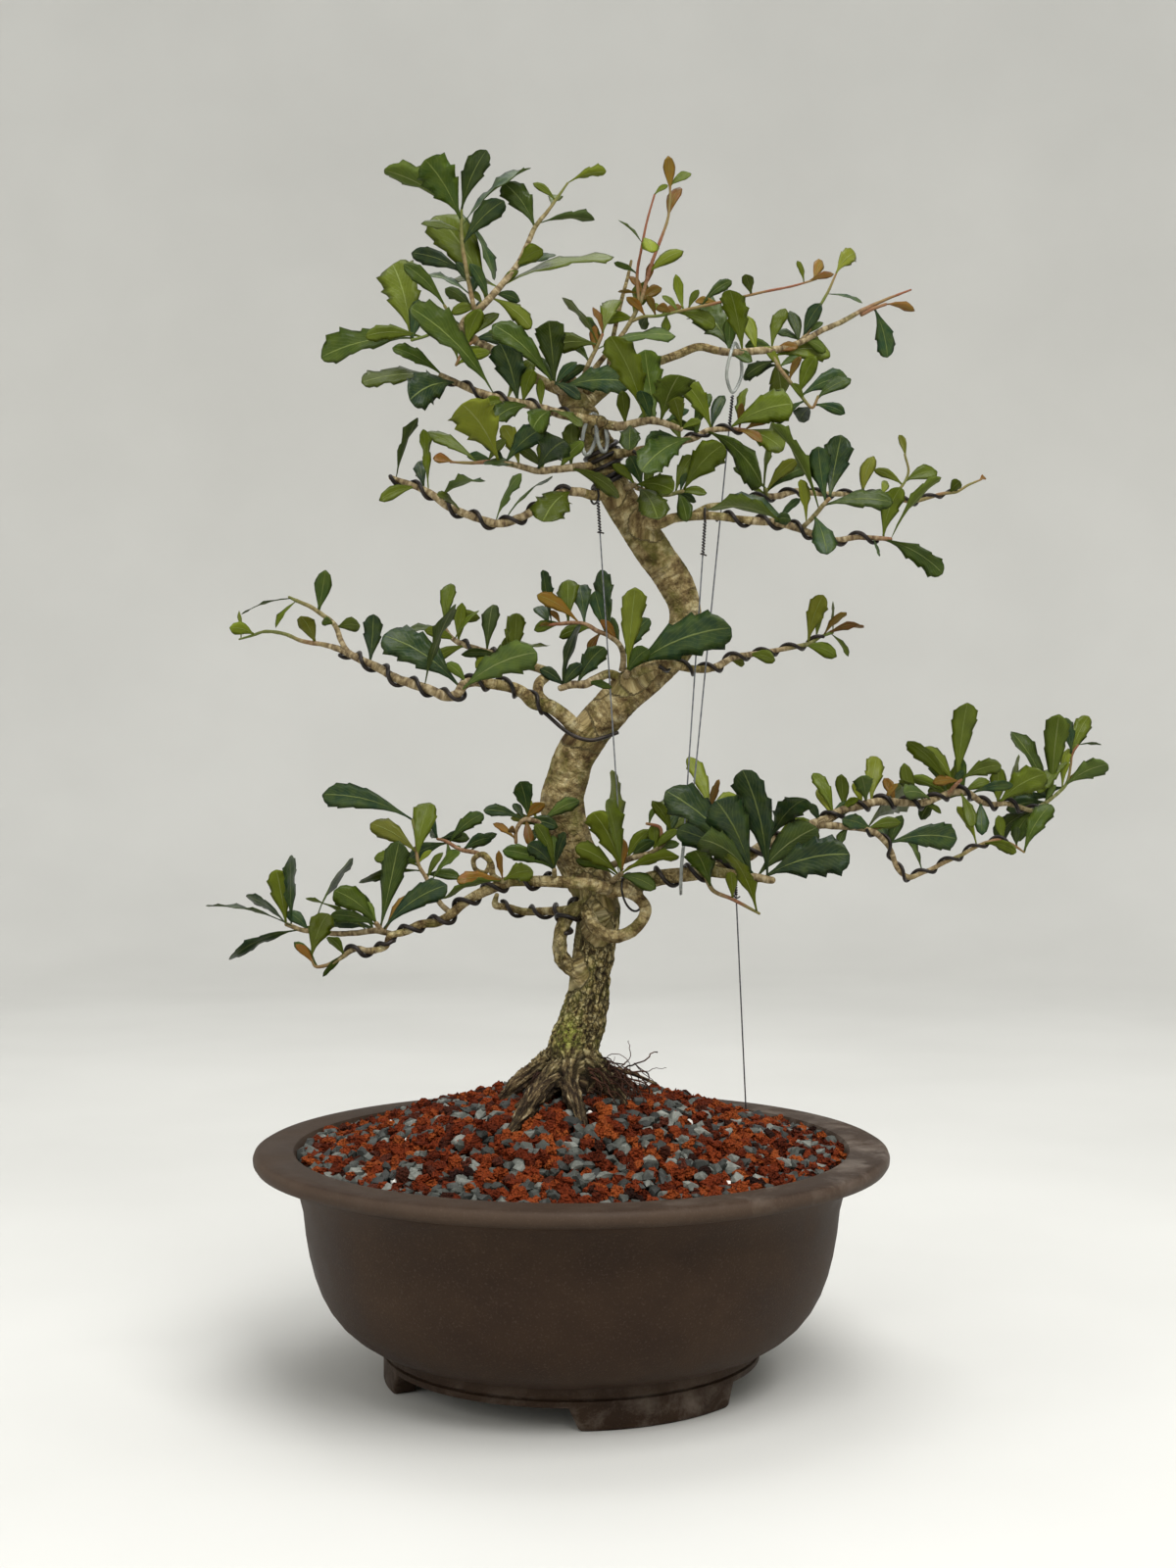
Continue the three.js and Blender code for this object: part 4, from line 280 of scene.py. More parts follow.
# Leafy branches: name, colour, lean, takeover, stems, leaves. The first stem is the branch itself: up to its
# takeover knot it belongs to the trunk, and a branch with takeover 0 stands clear of the wood.
# A leaf is [base x, base z, tip x, tip z, width seen, tint].
leafyBranches = [
    ("leafy_top_left", "mid", 0, 4, [[
        [-2, 0, 512, 3.2], [-10, -1, 515, 3], [-18, -2, 519, 2.8], [-27, -3, 525, 2.6], [-38, -5, 532, 2.5],
        [-47, -6, 537, 2.4], [-53, -7, 541, 2.3], [-57, -8, 544, 2.3], [-55, -9, 549, 2.2],
        [-49, -10, 554, 2.1], [-42, -10, 561, 2], [-35, -9, 569, 1.8], [-28, -7, 578, 1.6],
        [-23, -5, 588, 1.5], [-19, -3, 597, 1.3], [-12, 0, 606, 1], [-7, 3, 613, 0.8], [-2, 5, 620, 0.6],
    ], [
        [-50, -10, 553, 1.4], [-52, -12, 562, 1.2], [-55, -13, 578, 1.1], [-57, -13, 592, 1],
        [-57, -12, 606, 0.8],
    ], [
        [-57, -8, 543, 1.3], [-60, -9, 547, 1.1], [-63, -10, 552, 1], [-66, -11, 557, 0.8],
    ], [
        [-60, -9, 547, 0.9], [-69, -11, 544, 0.8], [-76, -13, 541, 0.8], [-83, -15, 539, 0.8],
    ], [
        [-50, -7, 539, 0.9], [-56, -10, 534, 0.8], [-60, -11, 526, 0.7],
    ]], [
        [-57, 607, -44, 637, 11, 1], [-60, 600, -76, 632, 19, 1], [-60, 602, -97, 627, 5, 1],
        [-54, 600, -21, 628, 5, 0], [-52, 588, -35, 611, 12, 0], [-58, 605, -40, 570, 5, 0],
        [-58, 596, -78, 599, 5, 2], [-53, 562, -74, 573, 4, 0], [-56, 572, -83, 584, 8, 0],
        [-47, 561, -71, 603, 20, 2], [-65, 556, -87, 578, 9, 1], [-84, 541, -93, 578, 19, 2],
        [-84, 539, -130, 530, 12, 1], [-84, 540, -107, 541, 8, 2], [-83, 541, -79, 560, 8, 0],
        [-38, 566, 22, 582, 12, 2], [-41, 560, -21, 545, 9, 2], [-60, 524, -42, 533, 6, 2],
        [-57, 531, -56, 541, 5, 2], [-62, 530, -66, 543, 4, 2], [-21, 598, -35, 620, 12, 1],
        [-17, 597, 12, 601, 2, 0], [-9, 611, -20, 620, 4, 2], [-8, 607, -7, 614, 7, 2],
        [0, 620, 18, 626, 3, 2], [-28, 576, -15, 586, 9, 2], [-26, 573, -8, 583, 5, 0],
    ]),
    ("leafy_left", "mid", -1, 2, [[
        [16, -11, 497, 3], [6, -12, 498.5, 2.6], [-6, -12, 501, 2.4], [-20, -14, 505, 2.2],
        [-32, -16, 507.5, 2.1], [-45, -18, 511, 2], [-57, -19, 515.7, 1.8], [-68, -20, 521, 1.4],
    ]], [
        [-67, 519, -93, 535, 8, 1], [-66, 519, -109, 517, 8, 2], [-60, 516, -84, 508, 17, 0],
        [-36, 504, -84, 556, 11, 1], [-29, 504, -37, 537, 15, 0], [-34, 505, -46, 505, 6, 2],
        [-26, 506, -20, 524, 8, 2], [-10, 504, -20, 493, 13, 1], [-22, 503, -40, 498, 10, 1],
        [-12, 498, 5, 494, 5, 2],
    ]),
    ("leafy_centre_top", "mid", -1, 0, [[
        [-3, -4, 511, 1.6], [-8, -11, 514, 1.5], [-10, -14, 517, 1.2],
    ]], [
        [-11, 517, -41, 547, 13, 1], [-9, 517, -12, 549, 15, 1], [-7, 517, 7, 526, 5, 0],
        [-6, 514, 31, 517, 14, 0],
    ]),
    ("leafy_centre_back", "olive", 1, 0, [[
        [4, -6, 512, 1.6], [8, -12, 525, 1.3], [13, -15, 535, 1], [16, -16, 542, 0.8],
    ]], [
        [9, 527, -5, 541, 6, 1], [14, 536, -5, 561, 5, 2], [15, 541, 5, 550, 4, 1],
        [16, 542, 11, 556, 3, 4], [18, 543, 22, 560, 9, 2], [17, 535, 54, 541, 7, 0],
    ]),
    ("leafy_red_tips", "bronze", 0, 3, [[
        [6, -2, 512, 2], [12, -5, 524, 1.6], [20, -6, 534, 1.4], [27, -6, 543, 1.2], [35, -5, 557, 1.1],
        [39, -3, 570, 1], [42, -2, 580, 0.9], [47, 0, 593, 0.8], [50, 2, 602, 0.7], [51, 3, 612, 0.6],
        [51, 4, 620, 0.5],
    ], [
        [35, -5, 557, 0.9], [34, -4, 573, 0.8], [36, -3, 585, 0.7], [39, -2, 600, 0.6], [43, 0, 614, 0.5],
    ], [
        [30.5, -5.6, 548.5, 1], [37, -6, 551, 0.9], [45, -7, 551.5, 0.8], [58, -8, 554.5, 0.8],
        [70, -8, 557, 0.8], [85, -7, 560.5, 0.7], [100, -5, 564, 0.7], [115, -3, 567, 0.6],
        [127, -1, 570.5, 0.5],
    ]], [
        [52, 616, 50, 634, 6, 4], [53, 617, 62, 625, 5, 2], [51, 602, 56, 618, 6, 4],
        [43, 614, 50, 619, 3, 2], [37, 592, 42, 584, 8, 2], [35, 591, 24, 601, 2, 1],
        [41, 573, 58, 585, 7, 2], [33, 573, 22, 579, 2.5, 1], [38, 571, 34, 557, 9, 2],
        [33, 563, 24, 564, 2, 4], [126, 570, 130, 580, 6, 4], [127, 571, 136, 573, 4, 4],
        [120, 568, 117, 580, 2.5, 2], [93, 562, 90, 573, 6, 2], [76, 558, 64, 559, 4, 4],
        [57, 556, 54, 573, 5, 2], [58, 556, 66, 565, 4, 2], [56, 556, 47, 562, 3.5, 2],
        [56, 555, 44, 556, 5, 4], [55, 553, 49, 543, 5, 2], [40, 553, 36, 545, 7, 0],
    ]),
    ("leafy_pale_top", "olive", 1, 7, [[
        [8, 4, 506, 4], [17, 4, 514, 3.6], [24, 3, 519, 3.2], [31, 2, 524, 2.8], [45, 0, 528, 2.4],
        [55, 0, 531.5, 2.3], [66, 0, 535.5, 2.2], [76, 1, 533.5, 2.1], [86, 2, 532.5, 2.1],
        [97, 4, 533.5, 2], [108, 7, 534.5, 1.8], [119, 10, 538, 1.6], [130, 14, 544, 1.5],
        [140, 18, 548.5, 1.4], [150, 22, 554, 1.2], [163, 28, 560, 0.8], [176, 34, 565, 0.5],
    ], [
        [118, 10, 537.5, 1.2], [124, 13, 545, 1], [128, 16, 555, 0.9], [133, 19, 564, 0.8],
        [137, 22, 573, 0.6],
    ], [
        [150, 22, 552, 1.1], [157, 24, 555.5, 1], [163, 26, 557.5, 0.8],
    ], [
        [104, 6, 533, 1.2], [107, 5, 526, 1.1], [113, 5, 518, 1], [120, 5, 509, 0.9], [125, 4, 504, 0.8],
        [128, 4, 510, 0.7],
    ]], [
        [163, 557, 178, 554, 3.5, 4], [157, 554, 164, 530, 11, 0], [137, 574, 147, 584, 9, 3],
        [133, 562, 151, 558, 2.5, 0], [87, 535, 82, 565, 12, 2], [85, 534, 64, 556, 18, 1],
        [104, 530, 134, 533, 14, 2], [103, 529, 109, 510, 13, 2], [102, 527, 89, 520, 9, 0],
        [105, 535, 90, 536, 7, 1], [122, 512, 143, 520, 10, 0], [128, 509, 145, 519, 8, 1],
        [127, 507, 142, 501, 5.5, 0], [124, 504, 118, 497, 9, 0],
    ]),
    ("leafy_right_fan", "deep", -1, 1, [[
        [15, -8, 496, 2.8], [24, -12, 494.5, 2.4], [33, -14, 496, 2.2], [41, -18, 497.5, 2],
        [50, -20, 495.5, 1.7], [57, -21, 493, 1.3],
    ]], [
        [38, 500, 20, 541, 15, 2], [44, 500, 38, 534, 14, 1], [45, 500, 56, 521, 16, 1],
        [46, 502, 61, 503, 4, 0], [39, 502, 36, 513, 7, 0], [57, 493, 53, 509, 9, 2],
        [24, 498, 26, 513, 7, 2], [24, 494, 30, 482, 10, 1],
    ]),
    ("leafy_right", "olive", -1, 2, [[
        [20, -5, 480, 2.8], [30, -9, 481, 2.4], [41, -12, 483, 2.2], [50, -14, 484.5, 2],
        [58, -15, 487, 1.9], [65, -15, 489, 1.7], [70, -15, 492, 1.6], [80, -14, 493, 1.3],
        [90, -12, 492.5, 1],
    ]], [
        [82, 495, 115, 506, 17, 2], [88, 494, 110, 482, 12, 2], [88, 492, 99, 486, 5, 4],
        [70, 491, 99, 464, 9, 1], [68, 490, 48, 497, 5, 1], [70, 494, 58, 518, 11, 2],
        [58, 489, 38, 485, 9, 0], [64, 487, 36, 471, 15, 1], [66, 491, 58, 495, 5, 1],
    ]),
    ("leafy_right_trunk", "olive", -1, 0, [[
        [26, -4, 462, 1.8], [33, -9, 464, 1.5],
    ], [
        [33, -9, 463, 1.3], [42, -9, 460, 1.2], [50, -9, 459, 1.1], [58, -10, 461, 1],
    ]], [
        [33, 464, 53, 461, 12, 2], [34, 463, 45, 446, 14, 2], [33, 465, 30, 479, 9, 0],
        [58, 461, 79, 485, 15, 2], [60, 460, 60, 445, 8, 1],
    ]),
    ("leafy_drop_fork", "pale", 1, 3, [[
        [64, -12, 449, 2], [71, -4, 452.5, 1.9], [78, 3, 453.5, 1.8], [85, 7, 455, 1.8],
        [100, 10, 458, 1.7], [108, 12, 458.5, 1.7], [116, 14, 461, 1.6], [124, 17, 460, 1.5],
        [137, 22, 459.3, 1.4], [150, 28, 459.5, 1.3], [165, 34, 458, 1.2], [176, 38, 455.5, 1.1],
        [184, 42, 457, 1], [192, 46, 459.5, 0.9], [200, 49, 460.5, 0.8], [206, 52, 464, 0.7],
        [213, 55, 467, 0.5],
    ], [
        [101, 10, 458, 1.1], [101, 7, 462, 1],
    ], [
        [165, 34, 458, 0.9], [172, 37, 464, 0.8], [175, 39, 471, 0.7], [173, 40, 480, 0.6],
    ]], [
        [101, 462, 84, 473, 6, 1], [102, 463, 124, 474, 8, 1], [100, 463, 104, 497, 4, 1],
        [152, 463, 157, 479, 7, 3], [171, 465, 157, 472, 5, 3], [173, 464, 190, 471, 8, 2],
        [173, 479, 170, 490, 4, 3], [161, 460, 164, 466, 5, 3], [197, 460, 202, 466, 6, 2],
        [212, 467, 215, 468, 3, 4],
    ]),
    ("leafy_drop_right", "deep", -1, 6, [[
        [38, -4, 444, 4], [46, -10, 444.5, 3.2], [53, -12, 447, 2.6], [65, -14, 448, 2.4],
        [75, -15, 448, 2.2], [85, -17, 446.5, 2.1], [95, -18, 445.5, 2.1], [107, -20, 444.5, 2],
        [118, -21, 441.5, 1.9], [127, -21, 438, 1.7], [137, -20, 435.5, 1.5], [148, -19, 437, 1.4],
        [158, -18, 436.5, 1.3], [166, -18, 436, 1],
    ], [
        [119, -21, 441, 1.4], [126, -26, 448, 1.3], [131, -29, 454, 1.2], [134, -30, 457, 1],
    ]], [
        [106, 447, 72, 452, 6, 1], [105, 448, 80, 457, 11, 0], [107, 449, 119, 457, 3, 0],
        [107, 446, 114, 446, 7, 0], [131, 456, 128, 484, 12, 0], [134, 458, 140, 490, 13, 0],
        [134, 456, 167, 455, 9, 1], [131, 456, 104, 496, 5, 1], [127, 447, 133, 428, 12, 0],
        [122, 444, 119, 467, 5, 3], [162, 438, 171, 463, 10, 2], [166, 437, 192, 468, 4, 1],
        [166, 435, 193, 418, 8, 1], [160, 435, 160, 427, 2, 0],
    ]),
    ("leafy_left_drop", "deep", -1, 2, [[
        [20, -4, 460, 3], [12, -10, 458.5, 2.6], [4, -13, 460.5, 2.4], [-4, -15, 460.5, 2.3],
        [-13, -17, 455, 2.2], [-27, -20, 447, 2.1], [-38, -22, 444, 2.1], [-48, -22, 446.5, 2],
        [-57, -22, 449.8, 2], [-66, -22, 454, 1.9], [-72, -22, 459, 1.8], [-83, -21, 464, 1.6],
        [-94, -20, 468, 1.3],
    ]], [
        [2, 459, -15, 445, 16, 2], [-39, 447, -26, 470, 4, 0], [-37, 447, -10, 468, 4, 0],
        [-81, 462, -100, 456, 6, 2], [-78, 463, -80, 476, 7, 0], [-76, 464, -77, 493, 3, 2],
        [-68, 457, -48, 466, 2, 0], [-91, 467, -80, 499, 2, 0], [-57, 451, -70, 459, 5, 2],
    ]),
    ("leafy_mid_left_twig", "mid", -1, 1, [[
        [13, -4, 474, 2.4], [5, -9, 473.5, 2.2], [-6, -13, 472.5, 2], [-18, -16, 471.5, 1.8],
        [-30, -18, 474.5, 1.5], [-42, -18, 476, 1.2], [-52, -17, 475.5, 0.9], [-63, -16, 476, 0.6],
    ]], [
        [-37, 477, -57, 506, 22, 3], [-49, 478, -76, 491, 8, 2], [-36, 478, -14, 494, 12, 0],
        [-18, 472, -3, 487, 15, 0], [-20, 473, -46, 475, 5, 1], [-62, 476, -72, 478, 5, 4],
        [-16, 473, -14, 488, 7, 2], [-2, 471, 25, 458, 7, 2],
    ]),
    ("leafy_mid_left", "deep", -1, 8, [[
        [8, -3, 333, 5], [2, -8, 338, 4.2], [-4, -12, 344, 3.9], [-12, -16, 349.5, 3.7],
        [-20, -19, 351, 3.4], [-25, -22, 356, 3.2], [-31, -25, 359, 3], [-40, -28, 360.5, 2.7],
        [-50, -31, 362, 2.6], [-56, -32, 360.5, 2.6], [-60, -33, 355, 2.6], [-66, -33, 354.5, 2.5],
        [-73, -33, 357.5, 2.4], [-82, -32, 360.5, 2.3], [-92, -30, 364, 2.3], [-100, -27, 369, 2.2],
        [-110, -23, 373.5, 2], [-119, -18, 378, 1.9], [-128, -12, 381, 1.3], [-140, -4, 383, 1.1],
        [-150, 4, 387, 1], [-160, 12, 388, 0.9], [-166, 17, 386, 0.8], [-173, 22, 384, 0.5],
    ], [
        [-116, -20, 376.5, 1.6], [-120, -18, 383, 1.5], [-123, -15, 391, 1.4], [-130, -10, 397, 1.2],
        [-137, -4, 401.5, 1.1], [-143, 0, 404, 1], [-147, 4, 406, 0.7],
    ]], [
        [-165, 387, -178, 390, 7, 2], [-173, 386, -173, 399, 3, 3], [-133, 382, -141, 396, 8, 3],
        [-131, 399, -128, 420, 8, 1], [-124, 389, -110, 391, 7, 2], [-124, 391, -130, 393, 5, 1],
        [-146, 405, -172, 397, 1.5, 0], [-143, 404, -154, 390, 3, 2], [-59, 359, -98, 386, 18, 0],
        [-57, 359, -18, 377, 13, 0], [-105, 373, -103, 397, 9, 0], [-76, 361, -61, 402, 4, 0],
    ]),
    ("leafy_back_mid", "olive", 1, 5, [[
        [-12, -16, 349.5, 3], [-17, -14, 355, 2.9], [-17, -9, 361, 2.8], [-12, -3, 366, 2.6],
        [-16, 6, 368.5, 2.4], [-26, 14, 371.5, 2.2], [-38, 22, 375.5, 2], [-50, 28, 379, 1.8],
        [-60, 33, 383, 1.5], [-65, 36, 388, 1.3], [-67, 38, 394, 0.9],
    ]], [
        [-66, 390, -63, 413, 8, 2], [-65, 386, -86, 389, 5, 1], [-58, 384, -57, 403, 6, 2],
        [-60, 384, -48, 399, 4, 2], [-42, 378, -41, 402, 9, 0], [-38, 377, -30, 386, 4, 2],
        [-39, 374, -50, 369, 6, 2], [-29, 374, -28, 394, 6, 2], [-27, 372, -17, 380, 9, 2],
    ]),
    ("leafy_arch", "bronze", 0, 0, [[
        [26, -8, 366, 2], [27, -9, 374, 1.5], [25, -9, 381, 1.4], [19, -9, 386, 1.3], [13, -9, 388.5, 1.2],
        [8, -9, 391.5, 1.2], [1, -10, 392.5, 1.1], [-6, -10, 392, 1], [-13, -10, 391.5, 0.7],
    ]], [
        [4, 394, -18, 407, 8, 4], [-6, 392, -11, 399, 3, 4], [-8, 391, -17, 391, 2, 4],
        [-2, 391, -2, 415, 11, 2], [4, 391, 4, 412, 10, 0], [-11, 393, -18, 401, 7, 0],
        [-11, 394, -15, 420, 3, 0], [18, 388, 12, 409, 8, 0], [21, 387, 15, 420, 8, 0],
    ]),
    ("leafy_mid_right_front", "deep", -1, 0, [[
        [28, -10, 363, 1.8], [29, -20, 367, 1.5],
    ]], [
        [28, 367, 83, 390, 20, 0], [28, 368, 40, 379, 9, 1], [28, 368, 36, 376, 3, 4],
        [27, 371, 33, 411, 12, 3],
    ]),
    ("leafy_mid_right_left", "mid", -1, 2, [[
        [27, -8, 362, 3], [20, -9, 366, 2.4], [12, -11, 363, 2.3], [6, -12, 360.5, 2.2], [0, -12, 360.5, 2],
        [-6, -12, 358.5, 1.7],
    ]], [
        [-6, 361, 4, 392, 7, 0], [3, 362, 17, 380, 10, 0], [6, 363, 21, 359, 4, 1],
    ]),
    ("leafy_mid_right", "pale", 0, 7, [[
        [28, -10, 364, 3], [36, -18, 367.5, 2.5], [44, -20.5, 370, 2.3], [52, -19.5, 371, 2.2],
        [58, -15.5, 369.5, 2.1], [64, -11, 368.5, 2], [70, -6, 368.5, 2], [76, -3, 370, 1.9],
        [84, 0, 374.5, 1.7], [92, 3, 376, 1.5], [100, 6, 377, 1.4], [108, 10, 378.5, 1.3],
        [116, 14, 380, 1.2], [124, 18, 382, 1.1], [130, 21, 385.5, 0.9], [136, 24, 387.5, 0.7],
    ]], [
        [123, 382, 131, 407, 9, 3], [125, 384, 131, 405, 5, 2], [123, 381, 138, 375, 7, 2],
        [136, 389, 136, 404, 2, 2], [133, 388, 149, 392, 4, 4], [136, 389, 143, 398, 4, 4],
        [136, 386, 152, 390, 4, 4], [135, 386, 144, 375, 2, 2], [81, 375, 90, 371, 5, 3],
        [92, 376, 106, 373, 7, 2],
    ]),
    ("leafy_rosette", "deep", -1, 2, [[
        [70, -26, 263.5, 3], [80, -34, 262, 2.7], [90, -42, 260.5, 2.4], [98, -47, 259.5, 2.2],
        [105, -49, 258.5, 1.8],
    ]], [
        [100, 261, 145, 272, 20, 0], [98, 262, 128, 286, 16, 0], [100, 262, 89, 316, 14, 0],
        [97, 262, 75, 300, 22, 0], [93, 262, 49, 305, 12, 0], [91, 262, 55, 285, 14, 0],
        [91, 261, 67, 280, 14, 0],
    ]),
    ("leafy_rosette_low", "olive", -1, 0, [[
        [70, -26, 260, 1.4], [74, -34, 253, 1.1], [84, -38, 248.5, 1], [98, -42, 241, 0.7],
    ]], [
        [98, 243, 84, 271, 10, 2], [84, 249, 83, 263, 6, 2], [73, 255, 64, 274, 12, 1],
    ]),
    ("leafy_inner_right", "olive", 0, 0, [[
        [20, -7, 266, 2], [31, -14, 270, 1.6], [42, -16, 273, 1.4], [48, -17, 278, 1.2], [52, -17, 283, 1],
    ], [
        [47, -17, 279, 1], [46, -17, 286, 0.9], [39, -17, 288, 0.7],
    ]], [
        [31, 270, 43, 279, 6, 0], [42, 275, 43, 288, 7, 2], [40, 288, 44, 297, 3, 1],
        [52, 284, 51, 302, 11, 2], [53, 284, 61, 294, 9, 2], [30, 272, 41, 285, 7, 2],
    ]),
    ("leafy_low_right_back", "pale", 1, 0, [[
        [66, -20, 265, 1.6], [70, -12, 280, 1.4], [72, -8, 293, 1.1],
    ]], [
        [71, 294, 61, 323, 9, 3], [73, 294, 86, 303, 8, 3], [70, 284, 62, 290, 5, 2],
        [73, 294, 77, 311, 3, 4],
    ]),
    ("leafy_low_right", "mid", 0, 8, [[
        [14, -2, 254, 5.5], [24, -8, 254.5, 5], [34, -14, 256.5, 4.6], [44, -19, 259.5, 4.2],
        [54, -22, 261, 4], [64, -24, 262, 3.7], [74, -25, 264.5, 3.5], [84, -25, 268, 3.3],
        [94, -24, 272.5, 3.1], [104, -22, 279, 2.9], [114, -19, 283, 2.8], [124, -16, 287, 2.7],
        [133, -13, 290, 2.6], [141, -10, 295, 2.4], [150, -6, 297.5, 2.3], [160, -2, 299.5, 2.1],
        [172, 3, 299, 2], [184, 8, 299, 1.9], [193, 12, 302.5, 1.8], [200, 15, 304.5, 1.8],
        [207, 18, 304, 1.7], [213, 21, 299.5, 1.6], [219, 24, 298, 1.5], [227, 27, 298.5, 1.4],
        [234, 30, 296.5, 1.3], [240, 32, 295, 1.2], [247, 35, 299, 1.1], [253, 38, 303.5, 1],
        [258, 40, 309, 0.9], [260, 41, 318, 0.7], [261, 42, 325, 0.6], [264, 43, 329, 0.5],
    ], [
        [128, -15, 287.5, 2], [143, -14, 286.5, 1.8], [154, -12, 285, 1.7], [160, -10, 282, 1.6],
        [166, -7, 275, 1.5], [170, -5, 264.5, 1.4], [176, -2, 260, 1.4], [182, 1, 262, 1.3],
        [188, 3, 264.5, 1.2], [195, 6, 268, 1.2], [203, 9, 271.5, 1.1], [209, 12, 275, 1.1],
        [216, 14, 278, 1], [223, 17, 279.5, 0.9], [230, 19, 277, 0.8], [236, 21, 273, 0.5],
    ], [
        [196, 13, 303.5, 1.2], [200, 11, 308, 1.1], [203, 10, 311, 0.9],
    ]], [
        [103, 282, 122, 301, 12, 0], [106, 283, 124, 290, 5, 2], [101, 280, 103, 297, 5, 3],
        [154, 299, 151, 313, 9, 0], [156, 300, 159, 323, 10, 3], [163, 301, 170, 309, 3, 4],
        [135, 293, 128, 306, 6, 3], [203, 308, 206, 351, 13, 2], [199, 309, 184, 328, 8, 2],
        [197, 306, 175, 331, 9, 2], [194, 306, 176, 312, 5, 1], [187, 302, 173, 304, 8, 0],
        [205, 308, 218, 310, 6, 2], [209, 306, 230, 308, 6, 0], [203, 303, 209, 286, 7, 2],
        [213, 299, 214, 282, 8, 0], [186, 299, 182, 290, 7, 1], [222, 300, 247, 314, 14, 2],
        [225, 301, 233, 324, 4, 2], [249, 303, 254, 345, 13, 1], [247, 302, 229, 336, 10, 1],
        [264, 329, 276, 329, 2, 0], [258, 310, 264, 314, 2, 4], [240, 294, 221, 280, 8, 1],
        [155, 286, 177, 302, 16, 2], [158, 284, 141, 290, 8, 0], [165, 277, 201, 280, 15, 0],
        [166, 273, 159, 288, 8, 0], [183, 263, 174, 281, 3, 1], [211, 276, 201, 297, 4, 2],
        [213, 277, 232, 273, 6, 2], [236, 274, 250, 298, 11, 1],
    ]),
    ("leafy_low_left_end", "olive", -1, 16, [[
        [22, -8, 254, 4], [16, -17, 254.5, 3.5], [8, -20, 256.5, 3.2], [-4, -20, 257.5, 3.1],
        [-14, -20, 258, 3], [-20, -19, 258, 3], [-32, -19, 258, 3], [-42, -20, 254, 2.8],
        [-50, -20, 250.5, 2.7], [-57, -21, 246, 2.6], [-63, -22, 240.5, 2.5], [-70, -22, 236.5, 2.4],
        [-79, -23, 235.5, 2.3], [-87, -24, 231.5, 2.1], [-95, -25, 229, 1.9], [-97, -26, 224, 1.8],
        [-105, -27, 221.5, 1.7], [-113, -27, 222.5, 1.5], [-121, -27, 217.5, 1.2], [-128, -27, 214, 1],
        [-134, -27, 213.5, 0.8], [-136, -27, 218, 0.5],
    ]], [
        [-135, 220, -127, 241, 12, 2], [-135, 214, -144, 225, 4, 4], [-119, 220, -127, 229, 6, 1],
        [-118, 220, -130, 208, 4, 1], [-136, 219, -145, 226, 5, 1],
    ]),
    ("leafy_low_left_fan", "olive", 0, 0, [[
        [-92, -24, 229.5, 1.7], [-101, -22, 232, 1.6], [-112, -19, 231, 1.5], [-122, -17, 230.5, 1.4],
        [-132, -16, 231.5, 1.4], [-141, -15, 232.5, 1.3], [-149, -14, 235.5, 1.1],
    ], [
        [-97, -23, 231, 1.5], [-100, -28, 233, 1.4], [-102, -31, 236, 1.2],
    ]], [
        [-103, 237, -124, 253, 12, 1], [-104, 237, -126, 240, 7, 1], [-102, 238, -90, 279, 12, 1],
        [-99, 233, -65, 256, 13, 0], [-98, 236, -83, 250, 6, 4], [-101, 234, -127, 236, 6, 0],
        [-104, 238, -110, 252, 6, 1], [-105, 238, -139, 249, 3.5, 1], [-149, 236, -154, 264, 12, 2],
        [-149, 238, -147, 271, 7, 0], [-150, 236, -191, 245, 4, 0], [-150, 237, -170, 250, 7, 0],
        [-147, 234, -179, 217, 7, 0], [-137, 233, -149, 242, 6, 0], [-141, 233, -114, 270, 1.5, 0],
    ]),
    ("leafy_low_left_up", "olive", 1, 0, [[
        [-63, -22, 241, 1.6], [-69, -20, 247, 1.5], [-73, -17, 254, 1.3], [-76, -14, 260, 1.2],
        [-80, -12, 267, 1], [-81, -8, 280, 0.9], [-83, -8, 290, 0.8],
    ]], [
        [-81, 269, -74, 299, 12, 2], [-84, 291, -130, 303, 14, 0], [-82, 272, -105, 288, 11, 3],
        [-80, 266, -103, 270, 7, 2], [-79, 266, -111, 257, 7, 1], [-80, 267, -73, 274, 3, 3],
        [-77, 262, -58, 260, 6, 1], [-77, 262, -67, 273, 4, 2], [-76, 260, -58, 273, 2.5, 1],
    ]),
    ("leafy_ring", "mid", 0, 8, [[
        [-36, -20, 257, 2], [-41, -23, 261, 1.7], [-42, -24, 267, 1.6], [-46, -22, 272, 1.5],
        [-51, -19, 269.5, 1.4], [-50, -16, 264, 1.3], [-45, -13, 262.5, 1.3], [-43, -10, 268, 1.3],
        [-49, -7, 272.5, 1.2], [-58, -4, 274.5, 1.1], [-66, -2, 279, 0.9], [-70, 0, 280, 0.7],
    ]], [
        [-64, 279, -46, 293, 8, 1], [-62, 278, -58, 274, 3, 1], [-70, 280, -74, 283, 5, 0],
    ]),
    ("leafy_low_left_front", "bronze", -1, 0, [[
        [-34, -19, 258, 1.5], [-36, -27, 258, 1.3],
    ]], [
        [-38, 258, -60, 258, 7, 4], [-38, 256, -67, 249, 4, 1], [-36, 260, -20, 263, 10, 2],
        [-37, 260, -38, 274, 3, 4],
    ]),
    ("leafy_centre_left", "mid", -1, 0, [[
        [-9, -20, 259, 1.5], [-9, -26, 264, 1.2],
    ]], [
        [-11, 264, -36, 274, 9, 1], [-12, 266, -23, 277, 8, 0], [-8, 266, -19, 288, 7, 2],
        [-8, 266, -10, 282, 6, 1], [-6, 265, -3, 283, 6, 0],
    ]),
    ("leafy_trunk_left", "deep", -1, 0, [[
        [-10, -8, 284, 1.6], [-18, -14, 289, 1.4], [-25, -15, 290, 1.3], [-29, -15, 284, 1.1],
        [-29, -15, 278, 0.9],
    ]], [
